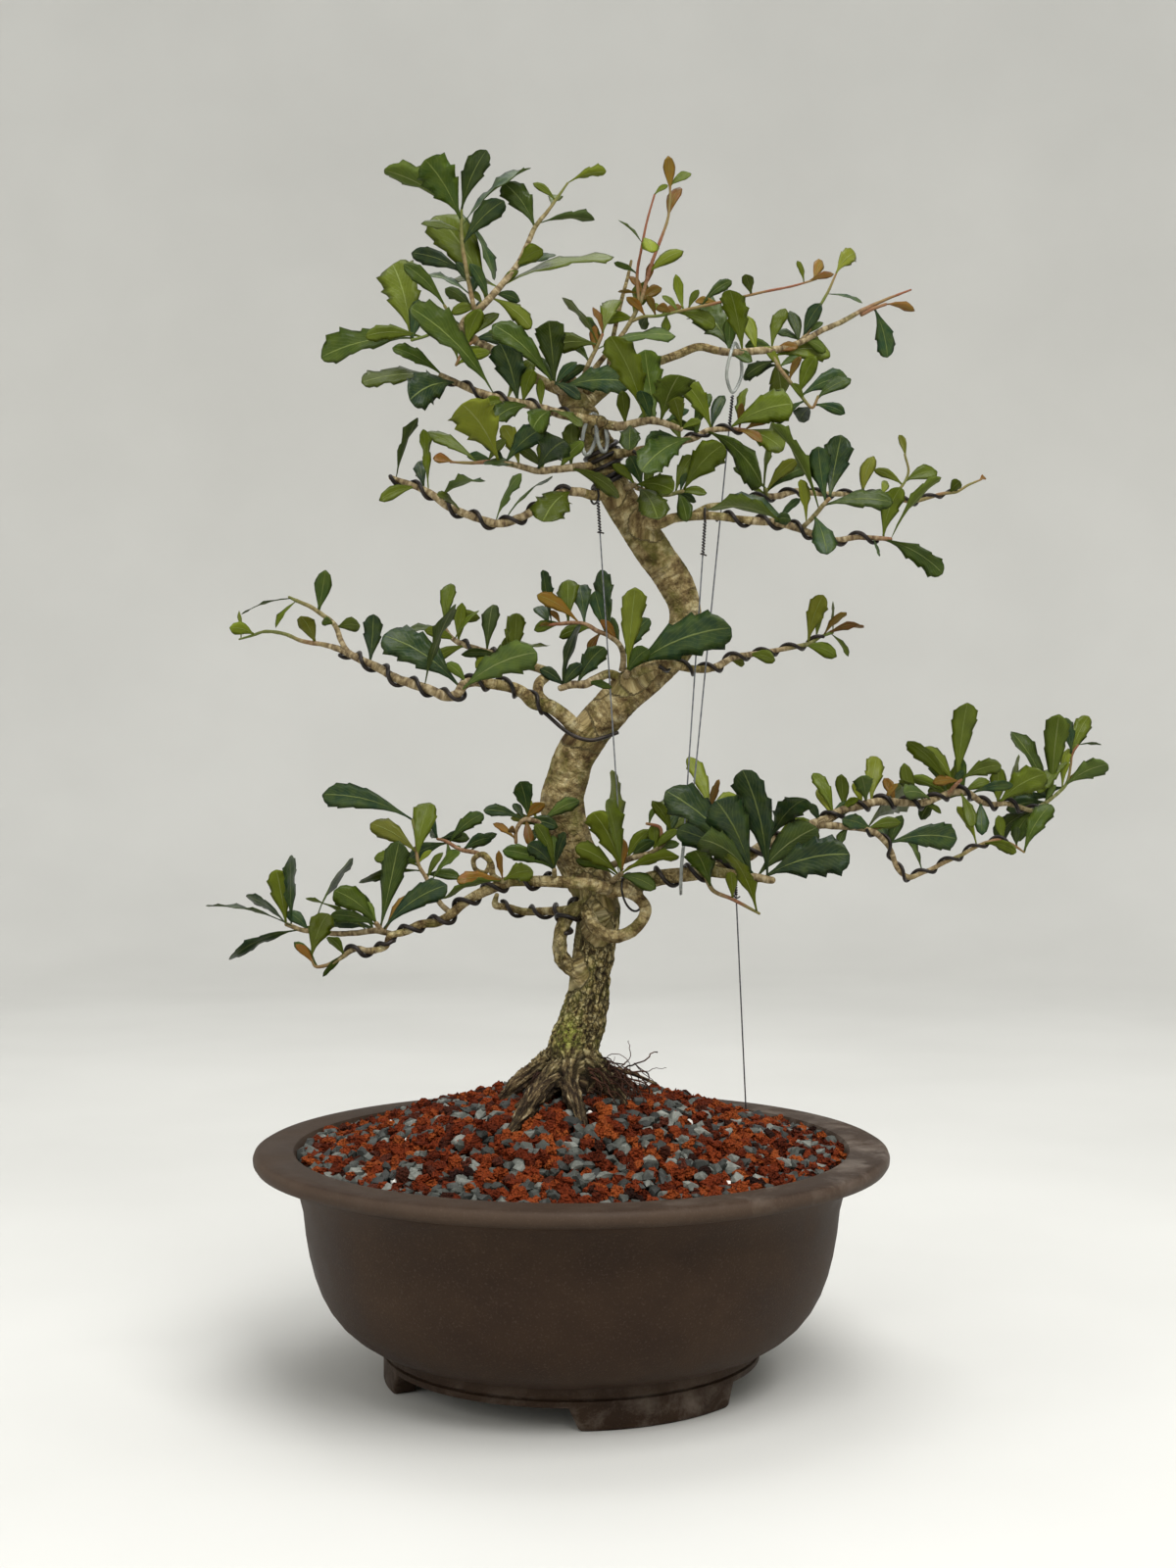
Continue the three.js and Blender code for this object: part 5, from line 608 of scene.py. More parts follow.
        [-25, 291, -46, 295, 6, 0], [-25, 291, -27, 310, 10, 0], [-17, 291, -27, 304, 4, 3],
        [-16, 291, 4, 300, 8, 0], [-20, 289, -23, 278, 5, 0], [-29, 279, -41, 288, 3, 4],
        [-28, 281, -33, 285, 4, 4],
    ]),
    ("leafy_centre_right", "olive", -1, 0, [[
        [20, -12, 257, 1.7], [26, -22, 262, 1.4],
    ]], [
        [26, 262, 11, 294, 14, 2], [25, 262, 2, 276, 9, 2], [27, 265, 27, 280, 5, 4],
        [27, 266, 18, 300, 11, 2], [24, 265, 21, 316, 5, 3], [27, 265, 40, 269, 3, 4],
        [27, 264, 56, 271, 6, 2], [26, 259, 44, 254, 8, 1], [22, 262, 2, 269, 5, 1],
    ]),
]
parts = ("name", "colour", "lean", "takeover", "stems", "leaves")
leafyBranches = [dict(zip(parts, branch)) for branch in leafyBranches]

# Wires: name, limb, stem, from x, to x, radius
coils = [
    ["wire_low_left", "leafy_low_left_end", 0, -12, -118, 1.3],
    ["wire_mid_left", "leafy_mid_left", 0, -14, -119, 1.2],
    ["wire_back_mid", "leafy_back_mid", 0, -26, -60, 1.2],
    ["wire_mid_right", "leafy_mid_right", 0, 46, 130, 1.1],
    ["wire_left_drop", "leafy_left_drop", 0, -2, -94, 1.2],
    ["wire_left", "leafy_left", 0, 0, -64, 1],
    ["wire_right", "leafy_right", 0, 33, 88, 1],
    ["wire_drop_right", "leafy_drop_right", 0, 75, 160, 1.2],
    ["wire_drop_fork", "leafy_drop_fork", 0, 88, 200, 1],
    ["wire_low_right", "leafy_low_right", 0, 40, 250, 1.3],
    ["wire_low_fork", "leafy_low_right", 1, 153, 232, 1],
    ["wire_back_low", "backLow", 0, -2, -37, 1.2],
]
leads = {  # from the trunk to the start of the coil
    "wire_mid_left": [
        [24, -9.5, 335.5], [17, -14, 333], [10, -15.6, 331.5], [3, -15.3, 333], [-4, -13.5, 337],
    ],
}
# How the tree is grown; lengths in mm
growth = {
    "sampleStep": 1.5,
    "seat": 0.35,  # a branch starts this clear of the wood
    "coilPitch": 17,
    "coilSteps": 5,
    "coilGap": 0.7,
    "coilRoom": 0.35,
    "wireMargin": 1.2,  # a wire takes this many times its radius while its place is looked for
    "trialPhases": 24,
    "trialPitches": [1, 0.94, 1.06, 0.88, 1.12],
    "slender": 0.28,  # the least width of a leaf, as a share of its length
    "usual": 0.42,  # the usual one
    "archShare": 0.08,
    "stalkHalf": 0.65,
    "cell": 2.2,  # a leaf is tried at points this far apart
    "leafGap": 2.9,
    "woodGap": 1.3,
    "wireGap": 1.0,
    "leafFrom": 0.35,  # leaves of one branch may touch nearer to their bases than this share
    "woodFrom": 0.08,
    "baseGap": 1.7,
    "crowdCost": 6,
    "baseReach": 8,
    "baseTries": 9,
    "long": 36,
    "middling": 22,
    "tipTries": [0, 5, -5, 10, -10, 15, -15, 20, -20, 26, -26, 32, -32],
    "outlines": {
        "large": [(0, 0), (0.55, 0.72), (0.66, 0.6), (0.82, 1)],
        "middle": [(0, 0), (0.45, 0.62), (0.78, 1)],
        "small": [(0, 0), (0.62, 1)],
    },
}


# A limb: fine samples along a smooth curve through [x, y, z, radius] points of the front view
class Limb:
    def __init__(self, points):
        places = [seen(x, y, z) for x, y, z, r in points]
        last = len(places) - 1
        found, radii, self.knots = [], [], []
        for i in range(last):
            parts = max(2, math.ceil(np.linalg.norm(places[i] - places[i + 1]) / growth["sampleStep"]))
            self.knots.append(len(found))
            for j in range(parts):
                found.append(self.between(places, i, j / parts))
                radii.append(points[i][3] + (points[i + 1][3] - points[i][3]) * j / parts)
        self.knots.append(len(found))
        self.place = np.array(found + [places[last]])
        self.radius = np.array(radii + [points[last][3]])
        self.firstRadius = points[0][3]
        self.frames()

    @staticmethod
    def between(places, i, w):
        p1, p2 = places[i], places[i + 1]
        p0 = places[i - 1] if i > 0 else 2 * p1 - p2
        p3 = places[i + 2] if i + 2 < len(places) else 2 * p2 - p1
        gaps = [np.sum((b - a) ** 2) ** 0.25 for a, b in ((p0, p1), (p1, p2), (p2, p3))]
        gaps[1] = gaps[1] if gaps[1] > 1e-4 else 1
        g0, g1, g2 = [gap if gap > 1e-4 else gaps[1] for gap in gaps]
        t1 = ((p1 - p0) / g0 - (p2 - p0) / (g0 + g1) + (p2 - p1) / g1) * g1
        t2 = ((p2 - p1) / g1 - (p3 - p1) / (g1 + g2) + (p3 - p2) / g2) * g1
        return p1 + t1 * w + (3 * (p2 - p1) - 2 * t1 - t2) * w**2 + (2 * (p1 - p2) + t1 + t2) * w**3

    def frames(self):  # a frame that turns as little as it can along the limb
        count = len(self.place)
        self.along, self.normal, self.across = (np.zeros((count, 3)) for k in range(3))
        self.reach = np.zeros(count)
        normal = np.array([0.0, -1, 0])
        for i in range(count):
            along = unit(self.place[min(count - 1, i + 1)] - self.place[max(0, i - 1)])
            if i == 0 and abs(along[1]) > 0.9:
                normal = np.array([1.0, 0, 0])
            normal = unit(normal - along * normal.dot(along))
            self.along[i], self.normal[i], self.across[i] = along, normal, np.cross(along, normal)
            if i:
                self.reach[i] = self.reach[i - 1] + np.linalg.norm(self.place[i] - self.place[i - 1])

    def sampleNear(self, x):  # where the limb first passes a sideways place of the front view
        best, least = 0, 1e9
        for i, place in enumerate(self.place):
            spread = 1 - place[1] / eye[1]
            away = abs(eye[0] + (place[0] - eye[0]) / spread - x)
            if away < least:
                least, best = away, i
            if least < 1 and away > least + 6:
                break
        return best

    def at(self, reach):
        i = int(np.clip(np.searchsorted(self.reach, reach), 1, len(self.reach) - 1))
        share = np.clip((reach - self.reach[i - 1]) / (self.reach[i] - self.reach[i - 1]), 0, 1)
        mix = lambda values: values[i - 1] + (values[i] - values[i - 1]) * share
        return mix(self.place), unit(mix(self.normal)), unit(mix(self.across)), mix(self.radius)

    def path(self, first=0, last=None):
        last = len(self.place) - 1 if last is None else last
        return [(self.place[i], self.radius[i]) for i in range(first, last + 1)]


# What each new shape has to pass: balls with an owner, and for a leaf the share along it
class Room:
    def __init__(self):
        self.columns = [[], [], [], []]  # place, radius, owner, share

    def add(self, places, radius, owner, share=0.0):
        places = np.asarray(places, float).reshape(-1, 3)
        self.columns[0].append(places)
        for column, values in zip(self.columns[1:], (radius, owner, share)):
            column.append(np.broadcast_to(values, len(places)))

    def near(self, low, high):
        self.columns = [[np.concatenate(column)] for column in self.columns]
        places = self.columns[0][0]
        inside = np.all((places > low) & (places < high), axis=1)
        return [column[0][inside] for column in self.columns]


room = Room()
trunkLimb = Limb(trunkPoints)
rootLimbs = [Limb(points) for points in rootPoints]
bareLimbs = {name: Limb(points) for name, points in bareWood.items()}
branchLimbs = {b["name"]: [Limb(points) for points in b["stems"]] for b in leafyBranches}
woodPaths = [(limb, len(limb.place) - 1) for limb in [trunkLimb, *rootLimbs, *bareLimbs.values()]]
for b in leafyBranches:
    if b["takeover"] > 0:
        woodPaths.append((branchLimbs[b["name"]][0], branchLimbs[b["name"]][0].knots[b["takeover"]]))
trunkOwner, wireOwner = 0, -1
for limb, last in woodPaths:
    room.add(limb.place[: last + 1], limb.radius[: last + 1], trunkOwner)


def clearStart(limb):  # the first sample at which a ring of the stem stands clear of all wood
    balls, radii, owners, shares = room.near(limb.place.min(0) - 40, limb.place.max(0) + 40)
    balls, radii = balls[owners == trunkOwner], radii[owners == trunkOwner]
    turns = np.arange(8) * math.pi / 4
    for i in range(len(limb.place) - 2):
        rim = limb.place[i] + limb.radius[i] * (
            np.outer(np.cos(turns), limb.normal[i]) + np.outer(np.sin(turns), limb.across[i]))
        if np.all(np.linalg.norm(rim[:, None] - balls[None], axis=2) - radii >= growth["seat"]):
            return i
    return 0


for order, b in enumerate(leafyBranches):
    limbs = branchLimbs[b["name"]]
    b["owner"] = order + 1
    b["start"] = limbs[0].knots[b["takeover"]] if b["takeover"] > 0 else clearStart(limbs[0])
    for index, limb in enumerate(limbs):
        first = b["start"] if index == 0 else 0
        room.add(limb.place[first:], limb.radius[first:], b["owner"])
print("limbs drawn")


# Wires: a coil's turn and pitch are the first that pass everything else
def coilPath(limb, ends, phase, pitch, gap, fine=1):
    start, end = ends
    steps = round((end - start) / pitch * growth["coilSteps"]) * fine
    turn = 2 * math.pi / growth["coilSteps"] / fine
    path = []
    for i in range(steps + 1):
        place, normal, across, radius = limb.at(start + (end - start) * i / steps)
        reach = radius + gap(radius)
        angle = phase + i * turn
        path.append(place + reach * (math.cos(angle) * normal + math.sin(angle) * across))
    return path


def layWire(limb, fromX, toX, wireRadius, lead):
    ends = [limb.reach[limb.sampleNear(x)] for x in (fromX, toX)]
    leadPath = [seen(*point) for point in lead]
    balls, radii = room.near(limb.place.min(0) - 30, limb.place.max(0) + 30)[:2]
    corner = math.cos(math.pi / growth["coilSteps"])
    margin = growth["wireMargin"] * wireRadius
    wide = lambda radius: (radius + growth["coilGap"] + margin) / corner - radius
    best, least = None, 1e9
    for stretch in growth["trialPitches"]:
        for k in range(growth["trialPhases"]):
            if least <= 0:
                break
            choice = (k * 2 * math.pi / growth["trialPhases"], growth["coilPitch"] * stretch)
            path = np.array(leadPath + coilPath(limb, ends, *choice, wide))
            steps = np.concatenate([path[:-1] + (path[1:] - path[:-1]) * part / 3 for part in range(3)])
            away = np.linalg.norm(steps[:, None] - balls[None], axis=2)
            conflict = np.maximum(0, margin + growth["coilRoom"] + radii - away).sum()
            if conflict < least:
                least, best = conflict, (choice, path)
    choice, path = best
    for part in range(4):
        room.add(path[:-1] + (path[1:] - path[:-1]) * part / 4, margin, wireOwner)
    return choice, ends, leadPath


wireRoutes = {}
for name, branch, stem, fromX, toX, wireRadius in coils:
    limb = bareLimbs[branch] if branch in bareLimbs else branchLimbs[branch][stem]
    wireRoutes[name] = (limb, wireRadius, *layWire(limb, fromX, toX, wireRadius, leads.get(name, ())))
print("wires laid")


# Guys and sleeves take up their room before the leaves grow
def ringRound(limb, x, radius, aside=(0, 0, 0)):
    i = limb.sampleNear(x)
    return {
        "centre": limb.place[i] + np.array(aside, float), "radius": radius,
        "along": limb.along[i], "normal": limb.normal[i], "across": limb.across[i],
    }


def onRing(ring, target):
    away = target - ring["centre"]
    return ring["centre"] + unit(away - ring["along"] * away.dot(ring["along"])) * ring["radius"]


def ringPlaces(ring, count):
    turns = np.arange(count) * 2 * math.pi / count
    around = np.outer(np.cos(turns), ring["normal"]) + np.outer(np.sin(turns), ring["across"])
    return ring["centre"] + ring["radius"] * around


dropLeftLimb = branchLimbs["leafy_left_drop"][0]
dropRightLimb = branchLimbs["leafy_drop_right"][0]
lowRightLimb = branchLimbs["leafy_low_right"][0]
guyRoutes = {
    "guy_pot": ([ringRound(lowRightLimb, 84, 8.9), None], [seen(86, 0, 250), seen(91.5, 95, 130.1)]),
    "guy_left": (
        [ringRound(dropLeftLimb, 12, 4.2), ringRound(lowRightLimb, 32, 10, (0, -1.5, -3.5))],
        [seen(13.5, -17, 454), seen(30, -25, 264)]),
    "guy_right_front": (
        [ringRound(dropRightLimb, 69, 3.9), None], [seen(68.5, -17, 444), seen(58.4, -24.5, 279.2)]),
    "guy_right_top": ([None, None], [seen(83.5, 2, 510.7), seen(61, -22, 279.4)]),
}
for name, (rings, aims) in guyRoutes.items():
    top, bottom = [onRing(ring, aim) if ring else aim for ring, aim in zip(rings, aims)]
    guyRoutes[name] = (rings, top, bottom)
    room.add(top + np.outer(np.arange(121) / 120, bottom - top), 0.5, wireOwner)
    for ring in filter(None, rings):
        room.add(ringPlaces(ring, 16), 0.6, wireOwner)
sleeveLoops = {
    "sleeve_top_right": [
        [83.5, 2, 512], [80.5, -1, 520], [82, -2.5, 530], [85, 2, 537.5], [87.5, 6.5, 531], [88, 5, 520],
    ],
    "sleeve_low_right": [
        [58.5, -24, 277], [57.5, -14, 268], [57, -12.6, 258], [57, -23, 251.2], [57, -34, 258],
        [57.5, -33, 268],
    ],
}


def closedLoop(points, steps):
    places = [seen(*p) for p in points]
    ring = [places[-1], *places, places[0], places[1]]
    found = []
    for i in range(len(places)):
        for j in range(steps):
            found.append(Limb.between(ring[i:i + 4], 1, j / steps))
    return np.array(found)


for points in sleeveLoops.values():
    room.add(closedLoop(points, 7), 0.9, wireOwner)


# Leaves: each blade takes the nearest free base and the first depth of its tip that stands clear
def bladeOf(base, leaf, tipDepth, turn):
    chord = seen(leaf[2], tipDepth, leaf[3]) - base
    length = np.linalg.norm(chord)
    along = chord / length
    width = max(leaf[4], growth["slender"] * length)
    roll = turn * math.acos(min(1, leaf[4] / width))
    flat = unit(np.cross(along, [0, 1, 0]))
    facing = np.cross(flat, along)
    up = np.array([0, 0, 1]) - along * along[2]
    up = facing if np.linalg.norm(up) < 0.3 else unit(up)
    side = flat * math.cos(roll) + facing * math.sin(roll)
    return {
        "base": base, "chord": chord, "length": length, "side": side, "up": up,
        "arch": growth["archShare"] * length, "halfWidth": width / 2,
    }


def sizeOf(length):
    return "large" if length > growth["long"] else "middle" if length > growth["middling"] else "small"


def bladePlace(blade, s, side, height):  # s, side and height are arrays
    bow = 4 * blade["arch"]
    along = blade["chord"] + np.outer(bow * (1 - 2 * s), blade["up"])
    along = along / np.linalg.norm(along, axis=1)[:, None]
    face = np.cross(along, blade["side"])
    face = face / np.linalg.norm(face, axis=1)[:, None]
    return (blade["base"] + np.outer(s, blade["chord"]) + np.outer(bow * s * (1 - s), blade["up"])
            + np.outer(side, blade["side"]) + face * height[:, None])


def bladeGrid(blade):
    outline = growth["outlines"][sizeOf(blade["length"])]
    shares = [s for s, w in outline] + [1]
    halves = [growth["stalkHalf"]] + [w * blade["halfWidth"] for s, w in outline[1:]] + [0]
    rows = math.ceil(blade["length"] / growth["cell"])
    s, side = [], []
    for i in range(rows + 1):
        half = np.interp(i / rows, shares, halves)
        columns = max(1, math.ceil(2 * half / growth["cell"]))
        s += [i / rows] * (columns + 1)
        side += [half * (2 * j / columns - 1) for j in range(columns + 1)]
    s = np.array(s)
    return bladePlace(blade, s, np.array(side), np.zeros(len(s))), s


def clearance(points, s, owner, balls, radii, owners, shares):
    away = np.linalg.norm(points[:, None] - balls[None], axis=2) - radii
    isLeaf, same, isWood = shares > 0, owners == owner, owners >= 0
    far = growth["leafFrom"]
    leafCounts = isLeaf & ((~same)[None] | ((s > far)[:, None] & (shares > far)[None]))
    woodCounts = (~isLeaf & ~same & isWood)[None] & (s >= growth["woodFrom"])[:, None]
    wireCounts = np.broadcast_to((~isLeaf & ~isWood)[None], away.shape)
    wanted = np.where(wireCounts, growth["wireGap"], -1e6)
    wanted = np.where(leafCounts, growth["leafGap"], np.where(woodCounts, growth["woodGap"], wanted))
    return (away - wanted).min() if away.size else 1e6


def growLeaves(b):
    stream = randomStream(len(b["name"]) * 97 + len(b["leaves"]) * 31 + 5)
    limbs = branchLimbs[b["name"]]
    sites = np.concatenate([
        limb.place[min(b["start"] + 3, len(limb.place) - 1) if index == 0 else 0:]
        for index, limb in enumerate(limbs)])
    spread = 1 - sites[:, 1] / eye[1]
    taken, blades = [], []
    for leaf in b["leaves"]:
        away = np.hypot(eye[0] + (leaf[0] - eye[0]) * spread - sites[:, 0],
                        eye[2] + (leaf[1] - eye[2]) * spread - sites[:, 2])
        crowded = np.zeros(len(sites), bool)
        for other in taken:
            crowded |= np.linalg.norm(sites - other, axis=1) < growth["baseGap"]
        away = away + growth["crowdCost"] * crowded
        order = np.argsort(away, kind="stable")
        order = [i for i in order if away[i] < away[order[0]] + growth["baseReach"]][: growth["baseTries"]]
        flat = math.hypot(leaf[2] - leaf[0], leaf[3] - leaf[1])
        wanted = leaf[4] / growth["usual"]
        chance = next(stream)
        turn = -1 if next(stream) < 0.5 else 1
        way = b["lean"] or math.copysign(1, chance - 0.5)
        loose = flat * 0.35 * abs(2 * chance - 1)
        depth = math.sqrt(wanted**2 - flat**2) if wanted > flat else loose
        centre = sites[order[0]]
        span = max(flat, wanted) + 60
        nearby = room.near(centre - span, centre + span)
        best, most = None, -1e9
        for i in order:
            for shift in growth["tipTries"]:
                blade = bladeOf(sites[i], leaf, sites[i][1] + way * depth + shift, turn)
                points, s = bladeGrid(blade)
                gap = clearance(points, s, b["owner"], *nearby)
                if gap > most:
                    most, best = gap, (blade, points, s)
                if gap >= 0:
                    break
            if most >= 0:
                break
        blade, points, s = best
        taken.append(blade["base"])
        room.add(points, 0.0, b["owner"], np.maximum(s, 0.01))
        blade["tint"] = leaf[5]
        blades.append(blade)
    return blades


blades = {b["name"]: growLeaves(b) for b in leafyBranches}

# Small leaves in between, wherever the tree is dense and one finds room
filler = {
    "count": 150,
    "tries": 2600,
    "length": (10, 25),
    "newest": 14,  # a reddish new leaf is no longer than this
    "slender": (0.26, 0.44),
    "closer": 0.4,  # they may come this much nearer to the rest, mm
    "seed": 5,
    "areas": [  # middle and half size in the front view
        (6, 520, 62, 50), (96, 520, 28, 30), (60, 478, 60, 26), (19, 374, 34, 18), (-39, 378, 38, 18),
        (14, 288, 50, 24), (-93, 259, 42, 24), (195, 300, 66, 26),
    ],
}
dice = random.Random(filler["seed"])
sites = [(b, limb) for b in leafyBranches for limb in branchLimbs[b["name"]]]
sites = [(b, limb, i) for b, limb in sites for i in range(len(limb.place))]
added = 0
for k in range(filler["tries"]):
    b, limb, i = sites[dice.randrange(len(sites))]
    place = limb.place[i]
    spread = 1 - place[1] / eye[1]
    x, z = [eye[axis] + (place[axis] - eye[axis]) / spread for axis in (0, 2)]
    angle, length = math.radians(dice.gauss(90, 62)), dice.uniform(*filler["length"])
    tint = dice.choice(b["leaves"])[5]
    length = min(length, filler["newest"]) if tint > 3.5 else length
    width = length * dice.uniform(*filler["slender"])
    if added == filler["count"] or (limb is branchLimbs[b["name"]][0] and i < b["start"] + 3):
        continue
    if not any(abs(x - mx) < hx and abs(z - mz) < hz for mx, mz, hx, hz in filler["areas"]):
        continue
    leaf = [x, z, x + length * math.cos(angle), z + length * math.sin(angle), width, tint]
    blade = bladeOf(place, leaf, place[1] + dice.uniform(-0.5, 0.5) * length, dice.choice((-1, 1)))
    points, s = bladeGrid(blade)
    if clearance(points, s, b["owner"], *room.near(place - 60, place + 60)) < -filler["closer"]:
        continue
    room.add(points, 0.0, b["owner"], np.maximum(s, 0.01))
    blade["tint"] = tint
    blades[b["name"]].append(blade)
    added += 1
print("leaves placed", sum(len(found) for found in blades.values()), "of them small ones", added)


# Unglazed stoneware pot: a ring is drawn on along its section and closed on itself; a foot is a spun section
pot = {
    "steps": 144,
    "profile": [
        (14, 14), (92, 14), (94, 11.5), (98.2, 11.6), (98.5, 14.6), (97, 15.2), (97, 16), (98.8, 16.4),
        (99.4, 17.4), (99.4, 20.4), (99.5, 21.5), (104, 22.5), (110, 25), (116, 29), (121.5, 34),
        (126.5, 40.5), (130.5, 48), (133.8, 57), (136.3, 67), (138.2, 78), (139.5, 90), (141.5, 98),
        (145, 105.5), (149.5, 110.6), (155, 111.6), (160.5, 112), (163.5, 113), (164.8, 115), (165, 117.2),
        (164.2, 119.4), (162, 120.7), (155, 120.5), (147, 120.7), (144.4, 120.4), (143.4, 119), (141, 111),
        (131.5, 90), (122, 48), (98, 28), (60, 26), (14, 26),
    ],
    "feet": [28, 148, -92],  # degrees
    "footHalfSpan": 29.5,
    "footSection": (86, 98.2, 15),  # inner and outer radius, height
    "footSlant": 0.86,  # a foot's span at its lower face, as a share of its span at the pot
    "footSteps": 28,
    "footEdge": 1.7,
}
potBody = drawProfile(pot["profile"], pot["steps"])
bpy.ops.mesh.select_all(action="DESELECT")
bpy.ops.mesh.select_non_manifold()
bpy.ops.mesh.bridge_edge_loops()
endEdit()
feet = []
inner, outer, tall = pot["footSection"]
half = math.radians(pot["footHalfSpan"])
low = half * pot["footSlant"]
for centre in pot["feet"]:
    deselectAll()
    bpy.ops.mesh.primitive_plane_add(size=1, rotation=(math.pi / 2, 0, 0))
    foot = bpy.context.object
    foot.scale = ((outer - inner) * mm, tall * mm, 1)
    foot.location = ((outer + inner) / 2 * mm, 0, tall / 2 * mm)
    bpy.ops.object.transform_apply(location=True, rotation=True, scale=True)
    foot.rotation_euler[2] = -low
    bpy.ops.object.transform_apply(rotation=True)
    editAll(foot)
    bpy.ops.mesh.spin(steps=pot["footSteps"], angle=-2 * low, center=(0, 0, 0), axis=(0, 0, 1))
    bpy.ops.mesh.select_all(action="SELECT")
    bpy.ops.mesh.remove_doubles(threshold=weldGap)
    endEdit()
    for way in (-1, 1):  # each end leans out towards its top
        pickPoints(foot, lambda co: co.z > 0.9 * tall * mm and way * math.atan2(co.y, co.x) > low - 0.01)
        bpy.ops.transform.rotate(value=-way * (half - low), orient_axis="Z", center_override=(0, 0, 0))
    bpy.ops.mesh.select_all(action="SELECT")
    bpy.ops.transform.rotate(value=math.radians(90 - centre), orient_axis="Z", center_override=(0, 0, 0))
    bpy.ops.object.mode_set(mode="OBJECT")
    sharp = {"limit_method": "ANGLE", "angle_limit": math.radians(40)}
    addModifier(foot, "BEVEL", width=pot["footEdge"] * mm, segments=3, **sharp)
    feet.append(foot)
potPiece = joinPieces("pot_dressed", [potBody, *feet])
moveToPlant(potPiece)
smooth(potPiece, 40)
print("pot modelled")


# Soil: a mound with painted gap shade under a thick layer of red lava, maroon lava and blue-grey grit
soil = {
    "profile": [
        (4, 27.9), (97.4, 28.4), (121.4, 48.3), (130.9, 90.2), (140.4, 110.5), (142, 115.4), (133, 117),
        (124, 119.6), (115, 122.5), (106, 125.2), (97, 128.6), (88, 132), (79, 135), (70, 137.5),
        (61, 139.8), (52, 142), (43, 143.6), (34, 145), (25, 146), (17, 146.6), (8, 147), (2, 147.2),
    ],
    "steps": 72,
    "topFrom": 116,  # all of the profile above this is the mound's top
    "rough": 0.6,
    "sunk": 3.2,  # the dark mound lies this far under the middle of the granules
    "grain": (2.9, 4.9),  # half width of a granule, mm
    "spacing": 6.6,
    "stray": 1.5,
    "rows": 44,
    "edge": 139.5,
    "second": 0.5,  # share of places with a granule lying on the layer
    "kinds": [("redLava", 0.51), ("greyGrit", 0.91), ("maroonLava", 0.993), ("whiteGrit", 1)],
    "sizes": {"greyGrit": 1.06, "whiteGrit": 0.62},
    "forms": {  # roughness, squash, first seed, share of the faces kept, how many forms
        "redLava": (0.46, (1, 0.9, 0.82), 11, 0.8, 4),
        "maroonLava": (0.4, (1, 0.9, 0.8), 21, 0.7, 2),
        "greyGrit": (0.3, (1.1, 0.8, 0.66), 31, 0.34, 5),
        "whiteGrit": (0.2, (0.8, 0.7, 0.6), 51, 0.4, 1),
    },
    "seed": 41,
}


def moundHeight(r):
    radii, heights = zip(*sorted(point for point in soil["profile"] if point[1] > soil["topFrom"]))
    return np.interp(r, radii, heights)


mound = drawProfile(soil["profile"], soil["steps"], fill_type="NGON")
bpy.ops.mesh.merge(type="CENTER")
pickPoints(mound, lambda co: co.z > soil["topFrom"] * mm)
bpy.ops.transform.vertex_random(offset=soil["rough"] * mm, seed=4)
bpy.ops.transform.translate(value=(0, 0, -soil["sunk"] * mm))
endEdit()
mound.name = "soil_mound"
moveToPlant(mound)
smooth(mound)


def stoneForm(rough, squash, seed, keep):  # one crushed stone, drawn once and copied
    deselectAll()
    bpy.ops.mesh.primitive_ico_sphere_add(subdivisions=2, radius=1)
    stone = bpy.context.object
    editAll(stone)
    bpy.ops.transform.resize(value=squash)
    bpy.ops.transform.vertex_random(offset=rough, seed=seed, normal=0.6)
    bpy.ops.object.mode_set(mode="OBJECT")
    addModifier(stone, "DECIMATE", ratio=keep)
    co = pointsOf(stone)
    faces = [tuple(face.vertices) for face in stone.data.polygons]
    bpy.data.objects.remove(stone)
    return co, faces


stoneForms = {}
for kind, (rough, squash, seed, keep, count) in soil["forms"].items():
    stoneForms[kind] = [stoneForm(rough, squash, seed + k, keep) for k in range(count)]
dice = random.Random(soil["seed"])
stones = {name: ([], []) for name in stoneForms}
woodBalls = np.concatenate([limb.place[: last + 1] for limb, last in woodPaths])
woodRadii = np.concatenate([limb.radius[: last + 1] for limb, last in woodPaths])
lowWood = woodBalls[:, 2] < 175
woodBalls, woodRadii = woodBalls[lowWood], woodRadii[lowWood]
places = []
rows = range(-soil["rows"], soil["rows"])
for layer in (0, 1):
    for i in rows:
        for j in rows:
            x = (i + 0.5 * (j % 2) + 0.5 * layer) * soil["spacing"] + dice.uniform(-1, 1) * soil["stray"]
            y = j * soil["spacing"] * 0.866 + 2 * layer + dice.uniform(-1, 1) * soil["stray"]
            if layer == 1 and dice.random() > soil["second"]:
                continue
            if math.hypot(x, y) < soil["edge"]:
                places.append((x, y, layer))
for x, y, layer in places:
    size = dice.uniform(*soil["grain"]) * (0.85 if layer else 1)
    z = moundHeight(math.hypot(x, y)) + (dice.uniform(0.4, 2.2) if layer else dice.uniform(-1.8, 0.4))
    roll = dice.random()
    kind = next(name for name, share in soil["kinds"] if roll <= share)
    size *= soil["sizes"].get(kind, 1)
    at = np.array([x, y, z])
    if (np.linalg.norm(woodBalls - at, axis=1) - woodRadii).min() < size * 0.15:  # it would lie in the wood
        continue
    turn = Matrix.Rotation(dice.uniform(0, 6.28), 3, "Z") @ Matrix.Rotation(dice.uniform(-0.9, 0.9), 3, "X")
    turn = turn @ Matrix.Rotation(dice.uniform(0, 6.28), 3, "Z" if kind == "greyGrit" else "Y")
    co, faces = stoneForms[kind][dice.randrange(len(stoneForms[kind]))]
    made, madeFaces = stones[kind]
    first = sum(len(block) for block in made)
    made.append(co @ np.array(turn).T * size + at)
    madeFaces += [tuple(first + v for v in face) for face in faces]
stonePieces = {}
